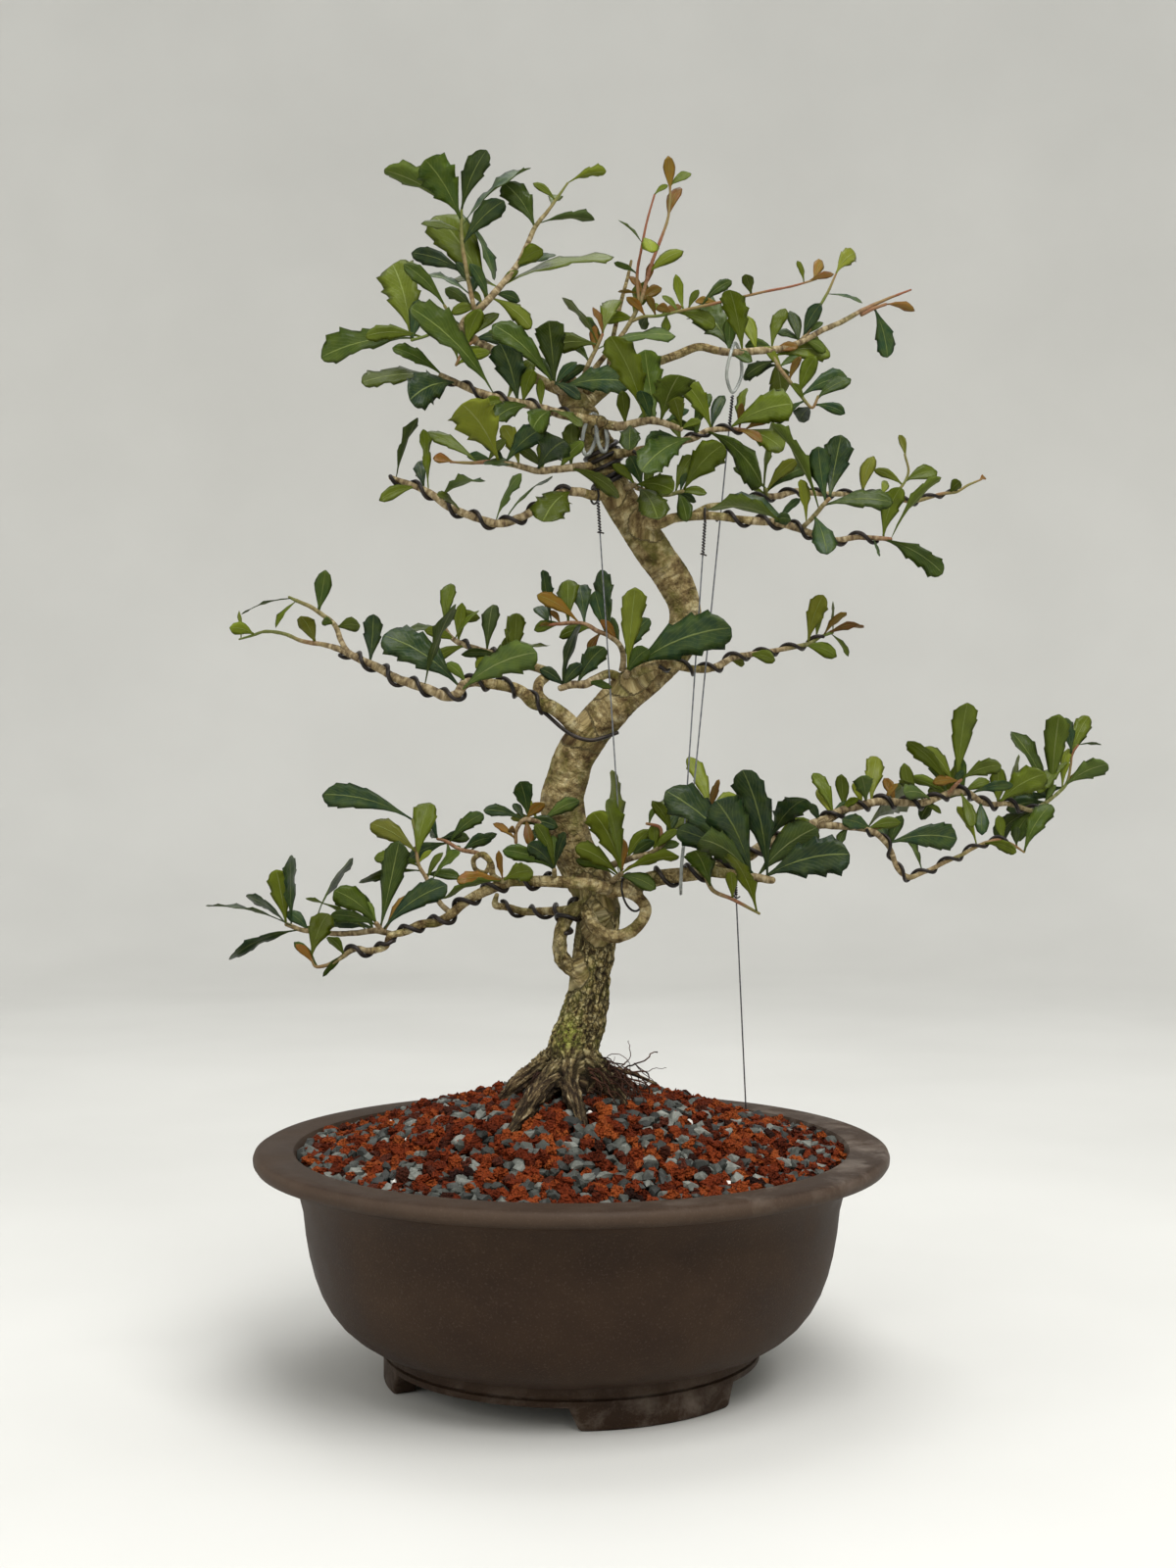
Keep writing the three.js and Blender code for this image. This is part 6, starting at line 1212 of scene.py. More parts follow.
for kind, (made, madeFaces) in stones.items():
    piece = meshPiece("soil_" + kind, inPlace(np.concatenate(made)), madeFaces)
    setAttribute(piece, "shade", np.concatenate([np.full(len(block), dice.random()) for block in made]))
    smooth(piece, 16 if kind == "greyGrit" else 30)
    stonePieces[kind] = piece
print("soil laid", len(places))


# Wood: drawn limbs grown together, with bark that is rough and flaky low down and ringed higher up
bark = {
    "grain": 0.9,  # size of a voxel, mm
    "thick": 2.6,  # limbs at least this thick at their start grow together
    "youngAbove": 268,
    "rootsBelow": 176,
    "furrow": 1.5,  # how far each pattern stands out, mm
    "flake": 0.7,
    "ring": 0.2,
    "lump": 0.8,
}
grown, slim = [], []
for limb, last in woodPaths:
    path = roundedEnd(limb.path(0, last)) if limb.radius[last] < 5 else limb.path(0, last)
    (grown if limb.firstRadius >= bark["thick"] else slim).append(path)
woodPiece = tubes("trunk_dressed", grown, 5)
woodPiece.data.remesh_voxel_size = bark["grain"] * mm
pick(woodPiece)
bpy.ops.object.voxel_remesh()
addModifier(woodPiece, "SMOOTH", factor=0.5, iterations=3)


def followLimbs(piece, limbs):  # each point learns where it lies on its nearest limb
    tree, rows = KDTree(sum(len(limb.place) for limb in limbs)), []
    for index, limb in enumerate(limbs):
        for i in range(len(limb.place)):
            tree.insert(limb.place[i], len(rows))
            rows.append((index, i))
    tree.balance()
    co = pointsOf(piece) / mm - [plantShift, 0, 0]
    around, girth, outward = np.zeros((len(co), 3)), np.zeros(len(co)), np.zeros((len(co), 3))
    for n, point in enumerate(co):
        index, i = rows[tree.find(point)[1]]
        limb = limbs[index]
        away = point - limb.place[i]
        along = away.dot(limb.along[i])
        outward[n] = unit(away - along * limb.along[i])
        girth[n] = limb.radius[i]
        around[n][0] = outward[n].dot(limb.normal[i]) * girth[n]
        around[n][1] = outward[n].dot(limb.across[i]) * girth[n]
        around[n][2] = limb.reach[i] + along + 140 * index  # no two limbs share their pattern
    setAttribute(piece, "around", around)
    setAttribute(piece, "girth", girth)
    return co, around, girth, outward


def patches(spot, wide, long):  # noise in patches of this width and length, mm
    return noise.noise((spot[0] / wide, spot[1] / wide, spot[2] / long))


grownLimbs = [limb for limb, last in woodPaths if limb.firstRadius >= bark["thick"]]
co, around, girth, outward = followLimbs(woodPiece, grownLimbs)
push = np.zeros(len(co))
for n, spot in enumerate(around):
    low = min(1, max(0, (bark["youngAbove"] - co[n][2]) / 60))  # 1 on the old bark, 0 on the young
    size = min(1, girth[n] / (9 - 4.5 * low))
    root = min(1, max(0, (bark["rootsBelow"] - co[n][2]) / 12))
    furrow = (0.45 - 2 * abs(patches(spot, 4.2 - 1.6 * root, 9 + 8 * root))) * (0.8 + 0.7 * root)
    old = bark["furrow"] * furrow + bark["flake"] * patches(spot, 1.9, 2.6 + 3 * root)
    young = bark["ring"] * patches(spot, 9, 1.7)
    push[n] = size * (low * old + (1 - 0.6 * low) * young + bark["lump"] * patches(spot, 11, 14))
    push[n] -= (0.15 + 0.5 * root) * size * low
setPoints(woodPiece, inPlace(co + outward * push[:, None]))
setAttribute(woodPiece, "furrow", push)
smooth(woodPiece)
slimPiece = tubes("slim", slim, 2)
co = followLimbs(slimPiece, [limb for limb, last in woodPaths if limb.firstRadius < bark["thick"]])[0]
setAttribute(slimPiece, "furrow", np.zeros(len(co)))
smooth(slimPiece)
woodPiece = joinPieces("trunk_dressed", [woodPiece, slimPiece])
print("wood grown", len(woodPiece.data.polygons))


# Fine dead roots: a mat of them spreads over the soil on the right, a few lie over the left root
hair = {
    "seed": 9,
    "step": 2,
    "radius": (0.25, 0.65),
    "groups": [  # count, starts in x, y and z, heading, how far it spreads, height over the soil
        (72, ((7, 24), (-27, 8), (150, 165)), (1, -0.3, -0.15), 0.6, 4.6),
        (8, ((20, 34), (-2, 26), (152, 162)), (0.8, 0.1, 0.05), 0.5, 5),
        (14, ((-22, -8), (-26, -12), (152, 163)), (-0.9, -0.6, -0.7), 0.3, 4),
    ],
}
dice = random.Random(hair["seed"])
paths = []
for count, starts, aim, spread, over in hair["groups"]:
    for k in range(count):
        at = np.array([dice.uniform(*start) for start in starts])
        heading = np.array([part + dice.uniform(-1, 1) * spread for part in aim])
        radius = dice.uniform(*hair["radius"])
        path, steps = [], dice.randrange(7, 20)
        for i in range(steps):
            path.append((at.copy(), radius * (1 - 0.6 * i / steps)))
            heading = unit(heading + [dice.uniform(-0.5, rise) for rise in (0.5, 0.5, 0.26)])
            at = at + heading * hair["step"]
            at[2] = max(at[2], moundHeight(math.hypot(at[0], at[1])) + over * dice.uniform(0.6, 1))
        paths.append(path)
hairPiece = tubes("fine_roots", paths, 1)
smooth(hairPiece)


# Leaves: one blade is modelled for each size, then copied and bent to its place
leafForms = {  # rows of (share along, share of half width); a tooth is wider than its neighbours
    "large": [
        (0, 0.02), (0.07, 0.04), (0.17, 0.13), (0.28, 0.34), (0.38, 0.6), (0.47, 0.91), (0.52, 0.75),
        (0.6, 0.85), (0.68, 1.08), (0.725, 0.87), (0.79, 0.91), (0.855, 1.04), (0.895, 0.8), (0.94, 0.68),
        (0.975, 0.46), (1, 0.06),
    ],
    "largeEven": [
        (0, 0.02), (0.08, 0.04), (0.19, 0.15), (0.31, 0.36), (0.44, 0.6), (0.56, 0.85), (0.62, 0.79),
        (0.75, 1.03), (0.79, 0.91), (0.87, 0.96), (0.91, 0.78), (0.955, 0.56), (1, 0.06),
    ],
    "middle": [
        (0, 0.03), (0.09, 0.06), (0.2, 0.2), (0.33, 0.46), (0.47, 0.76), (0.56, 1.0), (0.61, 0.84),
        (0.7, 0.92), (0.8, 1.05), (0.85, 0.84), (0.92, 0.7), (0.965, 0.46), (1, 0.06),
    ],
    "middleEven": [
        (0, 0.03), (0.1, 0.07), (0.24, 0.26), (0.39, 0.52), (0.53, 0.83), (0.6, 0.84), (0.75, 1.04),
        (0.81, 0.88), (0.89, 0.76), (0.95, 0.52), (1, 0.06),
    ],
    "small": [
        (0, 0.05), (0.14, 0.15), (0.3, 0.52), (0.48, 0.84), (0.64, 1.02), (0.76, 0.93), (0.9, 0.66),
        (1, 0.08),
    ],
}
leafLook = {
    "thickness": 0.36,
    "cup": 0.34,
    "wave": 0.17,
    "twist": 0.5,
    "rib": 0.22,  # how deep the midrib lies, mm
    "stalk": 0.42,
    "toothLean": 0.046,
    "skew": 0.06,
    "wider": (0.98, 1.12),
    "evenShare": 0.4,
    "shows": (0, -0.75, 0.65),  # the upper side of nearly all leaves looks this way
    "turned": 0.1,  # share of the leaves that show their underside
}


def mapPlaces(piece):  # where each point lies on the leaf's map
    uvs = np.zeros((len(piece.data.vertices), 2))
    for loop, uv in zip(piece.data.loops, piece.data.uv_layers[0].data):
        uvs[loop.vertex_index] = uv.uv
    return uvs


def modelLeaf(rows):
    deselectAll()
    bpy.ops.mesh.primitive_grid_add(x_subdivisions=4, y_subdivisions=len(rows) - 1, size=2)
    leaf = bpy.context.object
    for row, (share, width) in enumerate(rows):
        level = -1 + 2 * row / (len(rows) - 1)
        pickPoints(leaf, lambda co: abs(co.y - level) < 1e-4 and abs(co.z) < 1e-4)
        bpy.ops.transform.resize(value=(width, 1, 1), center_override=(0, level, 0))
        bpy.ops.transform.translate(value=(0, share * 2 - 1 - level, 5))  # lifted while the rest is shaped
    bpy.ops.mesh.select_all(action="SELECT")
    bpy.ops.transform.translate(value=(0, 0, -5))
    for row, (share, width) in enumerate(rows):  # a tooth leans towards the tip
        if 0 < row < len(rows) - 1 and width > rows[row + 1][1] and width > rows[row - 1][1]:
            y = share * 2 - 1
            pickPoints(leaf, lambda co: abs(co.y - y) < 1e-4 and abs(co.x) > 0.9 * width)
            bpy.ops.transform.translate(value=(0, leafLook["toothLean"], 0))
    bpy.ops.mesh.select_all(action="SELECT")
    bpy.ops.mesh.duplicate()
    bpy.ops.mesh.flip_normals()
    bpy.ops.transform.translate(value=(0, 0, -1))
    bpy.ops.object.mode_set(mode="OBJECT")
    for face in leaf.data.polygons:
        face.material_index = 1 if face.normal.z < 0 else 0
    co = pointsOf(leaf)
    u, v = mapPlaces(leaf).T
    edge = (u < 0.01) | (u > 0.99) | (v < 0.001) | (v > 0.999)
    co[edge, 2] = 0  # both sides meet there
    setPoints(leaf, co)
    editAll(leaf)
    bpy.ops.mesh.remove_doubles(threshold=1e-5)
    bpy.ops.object.mode_set(mode="OBJECT")
    bpy.ops.object.shade_smooth()
    leaf["columns"] = [float(2 * u - 1) for u, v in mapPlaces(leaf)]  # -1 to 1 from edge to edge
    return leaf


leafModels = {name: modelLeaf(rows) for name, rows in leafForms.items()}


def bendLeaf(model, blade, dice):
    leaf = newObject("leaf", model.data.copy())
    middle = np.cross(blade["chord"], blade["side"])
    if (middle.dot(leafLook["shows"]) < 0) != (dice.random() < leafLook["turned"]):
        blade["side"] = -blade["side"]
    co = pointsOf(leaf)
    column = np.array(model["columns"])
    s = (co[:, 1] + 1) / 2
    skew = dice.uniform(-1, 1) * leafLook["skew"]
    s = s + skew * 4 * co[:, 0] * s * (1 - s)
    half = blade["halfWidth"] * dice.uniform(*leafLook["wider"])
    side = co[:, 0] * half + column * leafLook["stalk"] * np.clip(1 - s / 0.3, 0, 1)
    spread = np.abs(co[:, 0])
    cup = dice.uniform(-0.3, 1) * leafLook["cup"]
    phase = dice.uniform(0, 6.28)
    wave = leafLook["wave"] * np.sin(15 * s + phase + 1.3 * np.sign(co[:, 0]))
    height = half * (cup * spread**2 + wave * spread) + side * s * dice.uniform(-1, 1) * leafLook["twist"]
    height -= leafLook["rib"] * (np.abs(column) < 0.1) * np.clip(4 * s, 0, 1) * np.clip(3 - 3 * s, 0, 1)
    height += co[:, 2] * leafLook["thickness"]
    setPoints(leaf, inPlace(bladePlace(blade, s, side, height)))
    setAttribute(leaf, "tint", np.full(len(co), blade["tint"] + dice.uniform(-0.22, 0.22)))
    setAttribute(leaf, "shade", np.full(len(co), dice.random()))
    return leaf


leafyPieces = {}
for b in leafyBranches:
    dice = random.Random(b["name"])
    limbs = branchLimbs[b["name"]]
    paths = []
    for index, limb in enumerate(limbs):
        first = max(0, b["start"] - 2) if index == 0 else 0
        paths.append(roundedEnd(limb.path(first)))
    stems = tubes(b["name"], paths, 2)
    co, around, girth, outward = followLimbs(stems, limbs)
    knobs = np.array([noise.noise(Vector(p / 3.5)) for p in around])
    setPoints(stems, inPlace(co + outward * (knobs * girth * 0.16)[:, None]))
    smooth(stems)
    leaves = []
    for blade in blades[b["name"]]:
        size = sizeOf(blade["length"])
        if size != "small" and dice.random() < leafLook["evenShare"]:
            size += "Even"
        leaves.append(bendLeaf(leafModels[size], blade, dice))
    leafyPieces[b["name"]] = (stems, leaves)
print("leaves bent")


# Wires: smooth coils that hug the bark
wireLook = {"hug": 0.02, "fine": 4, "slimmer": 0.88, "leadSteps": 5}
wirePieces = {}
for name, (limb, wireRadius, choice, ends, lead) in wireRoutes.items():
    wireRadius *= wireLook["slimmer"]
    coil = coilPath(limb, ends, *choice, lambda radius: wireRadius + wireLook["hug"], wireLook["fine"])
    if lead:
        ring = [2 * lead[0] - lead[1], *lead, coil[0], coil[1]]
        parts = [j / wireLook["leadSteps"] for j in range(wireLook["leadSteps"])]
        lead = [Limb.between(ring[i:i + 4], 1, part) for i in range(len(lead)) for part in parts]
    path = [(place, wireRadius) for place in [*lead, *coil]]
    wirePieces[name] = tubes(name + "_dressed", [roundedEnd(path)], 3)
    smooth(wirePieces[name], 50)


def trunkReach(z):  # how far along the trunk this height is
    return trunkLimb.reach[np.abs(trunkLimb.place[:, 2] - z).argmin()]


# Wire ends anchored round the trunk below the crown, and round the first of the curled limbs
wraps = {
    "hug": 0.05,
    "fine": 5,
    "coils": [  # limb, ends along it, radius, pitch, phase
        (trunkLimb, (trunkReach(459), trunkReach(487)), 1.15, 8.5, 0.4),
        (trunkLimb, (trunkReach(464), trunkReach(482)), 1.15, 10.5, 3.2),
        (bareLimbs["leftLoop"], (3, 19), 1.2, 9, 1.0),
    ],
}
paths = []
for limb, ends, radius, pitch, phase in wraps["coils"]:
    coil = coilPath(limb, ends, phase, pitch, lambda girth: radius + wraps["hug"], wraps["fine"])
    paths.append(roundedEnd([(place, radius) for place in coil]))
wrapPiece = tubes("crown_wraps", paths, 3)
smooth(wrapPiece, 50)
print("wires coiled")


# Guys: a taut thin wire, tied round its branch with a dark twisted tail
guyLook = {"radius": 0.4, "ring": 0.6, "ringSteps": 28, "twist": 0.42, "tail": 17, "steps": 70}
guyPieces = {}
for name, (rings, top, bottom) in guyRoutes.items():
    loops, twists = [], []
    down = unit(bottom - top)
    flat = unit(np.cross(down, [0, 1, 0]))
    deep = np.cross(flat, down)
    for ring, end, way in zip(rings, (top, bottom), (down, -down)):
        if ring:
            loops.append([(place, guyLook["ring"]) for place in ringPlaces(ring, guyLook["ringSteps"])])
        if ring or name == "guy_right_top":
            twist = []
            for i in range(guyLook["steps"]):
                swing = 0.6 + 0.25 * max(0, i - guyLook["steps"] + 6)  # the last turns stand off
                place = end + way * (0.5 + i / guyLook["steps"] * guyLook["tail"])
                twist.append((place + swing * (math.cos(i) * flat + math.sin(i) * deep), guyLook["twist"]))
            twists.append(twist)
    strand = tubes(name + "_dressed", [[(top, guyLook["radius"]), (bottom, guyLook["radius"])]], 2)
    smooth(strand, 60)
    if twists:
        twists = tubes(name + "_twists", twists, 2)
        if loops:
            twists = joinPieces(name + "_twists", [twists, tubes(name + "_loops", loops, 2, cyclic=True)])
        smooth(twists, 60)
    guyPieces[name] = (strand, twists)

# Clear tubing where a guy passes over bark; at the crown it hangs in two loops in front of the trunk
sleeveLook = {
    "radius": 0.9,
    "crownRadius": 1.05,
    "crownKnot": 32,
    "crownLoops": [(-4.5, 3.4, 10.5, 0.18), (1.6, 2.6, 9, -0.12)],  # aside, half width, half height, lean
}
sleevePieces = {}
for name, points in sleeveLoops.items():
    loop = [(place, sleeveLook["radius"]) for place in closedLoop(points, 8)]
    sleevePieces[name] = tubes(name + "_dressed", [loop], 4, cyclic=True)
crown = trunkLimb.place[trunkLimb.knots[sleeveLook["crownKnot"]]]
loops = []
turns = np.arange(36) * math.pi / 18
for aside, halfWidth, halfHeight, lean in sleeveLook["crownLoops"]:
    wide = halfWidth * np.cos(turns) + lean * halfHeight * np.sin(turns)
    ring = np.stack([aside + wide, -9.6 + 1.6 * np.cos(turns), 3 + halfHeight * np.sin(turns)], axis=1)
    loops.append([(place, sleeveLook["crownRadius"]) for place in crown + ring])
sleevePieces["sleeve_crown"] = tubes("sleeve_crown_dressed", loops, 4, cyclic=True)
for piece in sleevePieces.values():
    smooth(piece)
print("guys tied")


# Materials: a builder adds the nodes of one, and newMaterial joins them to its shader
def linear(hexCode, alpha=1):  # an sRGB hex value turned to linear
    parts = [int(hexCode[i:i + 2], 16) / 255 for i in (1, 3, 5)]
    return (*[p / 12.92 if p <= 0.04045 else ((p + 0.055) / 1.055) ** 2.4 for p in parts], alpha)


def addNode(tree, kind, inputs, out=0, stops=(), **settings):  # gives back the output that is wanted
    node = tree.nodes.new("ShaderNode" + kind)
    for name, value in settings.items():
        setattr(node, name, value)
    for socket, value in inputs.items():
        if isinstance(value, bpy.types.NodeSocket):
            tree.links.new(value, node.inputs[socket])
        else:
            node.inputs[socket].default_value = linear(value) if isinstance(value, str) else value
    for count, (place, colour) in enumerate(stops):
        elements = node.color_ramp.elements
        element = elements[count] if count < len(elements) else elements.new(place)
        element.position = place
        element.color = linear(colour) if isinstance(colour, str) else (colour, colour, colour, 1)
    return node.outputs[out]


inColour = {"out": 2, "data_type": "RGBA"}  # a mix of colours, and the output that gives it


def newMaterial(name, build, **constants):  # build gives the shader's linked sockets
    material = bpy.data.materials.new(name)
    material.use_nodes = True
    tree = material.node_tree
    shader = next(node for node in tree.nodes if node.type == "BSDF_PRINCIPLED")
    for socket, value in constants.items():
        shader.inputs[socket.replace("_", " ")].default_value = value
    for socket, source in build(partial(addNode, tree)).items():
        tree.links.new(source, shader.inputs[socket])
    return material


# Unglazed stoneware: fired brown clay, burnished on the body, with pale dried water marks on rim and feet
clayLook = {
    "tones": ["#2b1e15", "#33251a", "#3b2c20"],
    "grog": "#55463b",
    "water": "#7b7066",
    # painted highlight: a lighter tone for the outer top edge of the lip
    "lipHighlight": "#5f5044",
}


def stoneware(add):
    place = add("TexCoord", {}, "Object")
    cloud = add("TexNoise", {"Vector": place, "Scale": 22, "Detail": 4, "Roughness": 0.6})  # patches of 45 mm
    speck = add("TexNoise", {"Vector": place, "Scale": 900})  # grog about 1 mm
    colour = add("ValToRGB", {"Fac": cloud}, stops=zip((0.3, 0.52, 0.72), clayLook["tones"]))
    speck = add("ValToRGB", {"Fac": speck}, stops=[(0.56, 0.0), (0.72, 0.3)])
    colour = add("Mix", {0: speck, 6: colour, 7: clayLook["grog"]}, **inColour)
    x, level = [add("SeparateXYZ", {"Vector": place}, out) for out in ("X", "Z")]
    marks = add("TexNoise", {"Vector": place, "Scale": 46, "Detail": 5, "Roughness": 0.7, "Distortion": 0.4})
    marks = add("ValToRGB", {"Fac": marks}, stops=[(0.47, 0.0), (0.7, 1.0)])
    toRight = {"Value": x, "From Min": -0.05, "From Max": 0.1, "To Min": 0.08, "To Max": 0.55}
    toRight = add("MapRange", toRight)
    high = add("MapRange", {"Value": level, "From Min": 0.108, "From Max": 0.12})
    low = add("MapRange", {"Value": level, "From Min": 0.024, "From Max": 0.004, "To Max": 0.6})
    share = add("Math", {0: high, 1: toRight, 2: low}, operation="MULTIPLY_ADD")
    share = add("Math", {0: share, 1: marks}, operation="MULTIPLY")
    colour = add("Mix", {0: share, 6: colour, 7: clayLook["water"]}, **inColour)
    # painted highlight: a thin band along the outer top edge of the lip is lightened
    flat = add("VectorMath", {0: place, 1: (1, 1, 0)}, operation="MULTIPLY")
    radius = add("VectorMath", {0: flat, 1: (plantShift * mm, 0, 0)}, "Value", operation="DISTANCE")
    lipHighlight = add("MapRange", {"Value": radius, "From Min": 0.1625, "From Max": 0.1648, "To Max": 0.4})
    lipHighlight = add("Math", {0: lipHighlight, 1: high}, operation="MULTIPLY")
    colour = add("Mix", {0: lipHighlight, 6: colour, 7: clayLook["lipHighlight"]}, **inColour)
    grain = add("TexNoise", {"Vector": place, "Scale": 1500, "Detail": 3})
    return {
        "Base Color": colour,
        "Roughness": add("ValToRGB", {"Fac": cloud}, stops=[(0.3, 0.5), (0.7, 0.64)]),
        "Normal": add("Bump", {"Height": grain, "Distance": 0.00025, "Strength": 0.5}),
    }


clay = newMaterial("unglazedStoneware", stoneware, IOR=1.45, Specular_IOR_Level=0.14)


# Crushed stone: each granule has its own tone, with a grain and pores on top of it
def crushedStone(tones, pore, depth, texture):
    def build(add):
        place = add("TexCoord", {}, "Object")
        own = add("Attribute", {}, "Fac", attribute_name="shade")
        grain = add("TexNoise", {"Vector": place, "Scale": pore, "Detail": 4, "Roughness": 0.7})
        tone = add("Math", {0: own, 1: 0.6}, operation="MULTIPLY")
        tone = add("Math", {0: grain, 1: 0.5, 2: tone}, operation="MULTIPLY_ADD")
        pits = add(texture, {"Vector": place, "Scale": pore})
        return {
            "Base Color": add("ValToRGB", {"Fac": tone}, stops=tones),
            "Normal": add("Bump", {"Height": pits, "Distance": depth, "Strength": 1.0}),
        }
    return build


stoneLook = {  # material, tones, pores in a metre, depth, texture, roughness, gloss
    # damp fines between the granules, of the same lava crushed small
    # fine lava soil between the granules, with painted shade: near black as the shadow in the gaps
    "finesGapShade": ("lavaFinesPaintedGapShade", [(0.2, "#0d0806"), (0.6, "#1b0f0b")], 500, 0.001, "TexNoise", 0.95, 0.1),
    # red lava: fired pumice, matt and full of pores about 1 mm wide
    "redLava": (
        "redLavaPumice", [(0.15, "#3a160a"), (0.4, "#5e240f"), (0.6, "#763014"), (0.9, "#944a20")],
        700, 0.0022, "TexVoronoi", 0.95, 0.1),
    # maroon lava: the same stone, burnt darker
    "maroonLava": (
        "maroonLavaPumice", [(0.2, "#170c0a"), (0.5, "#34190f"), (0.85, "#54291c")],
        700, 0.002, "TexVoronoi", 0.95, 0.1),
    # grey grit: crushed hard slate, dull flats that catch a little light
    "greyGrit": (
        "crushedSlateGrit", [(0.15, "#191a17"), (0.45, "#31332f"), (0.66, "#4c4f49"), (0.95, "#8a8c84")],
        260, 0.0006, "TexNoise", 0.6, 0.3),
    # white grit: a few chips of quartz
    "whiteGrit": ("quartzChip", [(0.2, "#b8b3a6"), (0.8, "#efece4")], 500, 0.0003, "TexNoise", 0.5, 0.4),
}
stoneSkins = {}
for kind, (name, tones, pore, depth, texture, roughness, gloss) in stoneLook.items():
    build = crushedStone(tones, pore, depth, texture)
    stoneSkins[kind] = newMaterial(name, build, Roughness=roughness, Specular_IOR_Level=gloss)

# Live oak bark: pale and ringed on young wood, in mossy plates low on the trunk, dark and stringy on roots
barkLook = {
    "young": ["#453520", "#7c6a45", "#a08f64", "#c6b991"],
    "ringBrown": "#4a3822",
    "old": ["#332919", "#6f6039", "#a09164", "#cdc193"],
    "root": ["#1a120c", "#433525", "#7a6848", "#b9aa88"],
    "moss": "#565a1e",
    "lichen": "#8d9436",
    "crack": "#1d160d",
    "patterns": [  # name, size in mm, stretch round and along the limb, detail
        ("rings", 2.4, (0.22, 0.22, 1), 3),
        ("patches", 9, (0.6, 0.6, 0.5), 4),
        ("mottle", 6.5, (0.7, 0.7, 1), 6),
        ("crumb", 2, (1, 1, 0.6), 5),
        ("strings", 1.7, (1, 1, 0.16), 4),
    ],
}


def oakBarkNodes(add):
    place = add("TexCoord", {}, "Object")
    level = add("SeparateXYZ", {"Vector": place}, "Z")
    along = add("Attribute", {}, "Vector", attribute_name="around")
    girth = add("Attribute", {}, "Fac", attribute_name="girth")
    crack = add("Attribute", {}, "Fac", attribute_name="furrow")
    noises = {}
    for name, size, stretch, detail in barkLook["patterns"]:
        moved = add("VectorMath", {0: along, 1: stretch}, operation="MULTIPLY")
        grain = {"Vector": moved, "Scale": 1 / size, "Detail": detail, "Roughness": 0.66}
        noises[name] = add("TexNoise", grain)
    young = add("ValToRGB", {"Fac": noises["mottle"]}, stops=zip((0.35, 0.45, 0.54, 0.67), barkLook["young"]))
    rings = add("ValToRGB", {"Fac": noises["rings"]}, stops=[(0.4, 0.6), (0.51, 0.0)])
    young = add("Mix", {0: rings, 6: young, 7: barkLook["ringBrown"]}, **inColour)
    old = add("ValToRGB", {"Fac": noises["crumb"]}, stops=zip((0.36, 0.45, 0.54, 0.66), barkLook["old"]))
    wander = add("TexNoise", {"Vector": along, "Scale": 0.5, "Detail": 2}, "Color")
    wander = add("VectorMath", {0: wander, 1: (3.4, 3.4, 3.4), 2: along}, operation="MULTIPLY_ADD")
    wander = add("VectorMath", {0: wander, 1: (1, 1, 0.7)}, operation="MULTIPLY")
    # plates of 3 to 4 mm
    plates = add("TexVoronoi", {"Vector": wander, "Scale": 1 / 3.4}, feature="DISTANCE_TO_EDGE")
    gaps = add("ValToRGB", {"Fac": plates}, stops=[(0.02, 0.85), (0.15, 0.0)])
    old = add("Mix", {0: gaps, 6: old, 7: barkLook["crack"]}, **inColour)
    isLow = add("MapRange", {"Value": level, "From Min": 0.3, "From Max": 0.235})
    isStout = add("MapRange", {"Value": girth, "From Min": 3.4, "From Max": 4.3})
    isOld = add("Math", {0: isLow, 1: isStout}, operation="MULTIPLY")
    colour = add("Mix", {0: isOld, 6: young, 7: old}, **inColour)
    moss = add("ValToRGB", {"Fac": noises["patches"]}, stops=[(0.48, 0.0), (0.62, 0.5)])
    colour = add("Mix", {0: moss, 6: colour, 7: barkLook["moss"]}, **inColour)
    # a tuft of lichen at the foot of the trunk
    spotPlace = ((plantShift - 3) * mm, -0.013, 0.179)
    spot = add("VectorMath", {0: place, 1: spotPlace}, "Value", operation="DISTANCE")
    spot = add("MapRange", {"Value": spot, "From Min": 0.013, "From Max": 0.003})
    flecks = add("ValToRGB", {"Fac": noises["crumb"]}, stops=[(0.42, 0.0), (0.58, 0.85)])
    spot = add("Math", {0: spot, 1: flecks}, operation="MULTIPLY")
    colour = add("Mix", {0: spot, 6: colour, 7: barkLook["lichen"]}, **inColour)
    root = add("ValToRGB", {"Fac": noises["strings"]}, stops=zip((0.36, 0.5, 0.6, 0.7), barkLook["root"]))
    isRoot = add("Math", {0: noises["mottle"], 1: 0.02, 2: level}, operation="MULTIPLY_ADD")
    isRoot = add("MapRange", {"Value": isRoot, "From Min": 0.184, "From Max": 0.168})
    colour = add("Mix", {0: isRoot, 6: colour, 7: root}, **inColour)
    furrow = add("MapRange", {"Value": crack, "From Min": -0.15, "From Max": -1.2, "To Max": 0.75})
    colour = add("Mix", {0: furrow, 6: colour, 7: barkLook["crack"]}, **inColour)
    rise = add("Math", {0: gaps, 1: -0.5, 2: noises["crumb"]}, operation="MULTIPLY_ADD")
    rise = add("Math", {0: noises["rings"], 1: 0.5, 2: rise}, operation="MULTIPLY_ADD")
    bump = add("Bump", {"Height": rise, "Distance": 0.0012, "Strength": 1.0})
    return {"Base Color": colour, "Normal": bump}


oakBark = newMaterial("liveOakBark", oakBarkNodes, Roughness=0.92, Specular_IOR_Level=0.15)

# Twig: greyish tan bark near the trunk, reddish and green skin where it is young
twigLook = {"old": ["#4c3c28", "#80704f", "#a8997a"], "young": ["#59642a", "#786840", "#7a4c34"]}


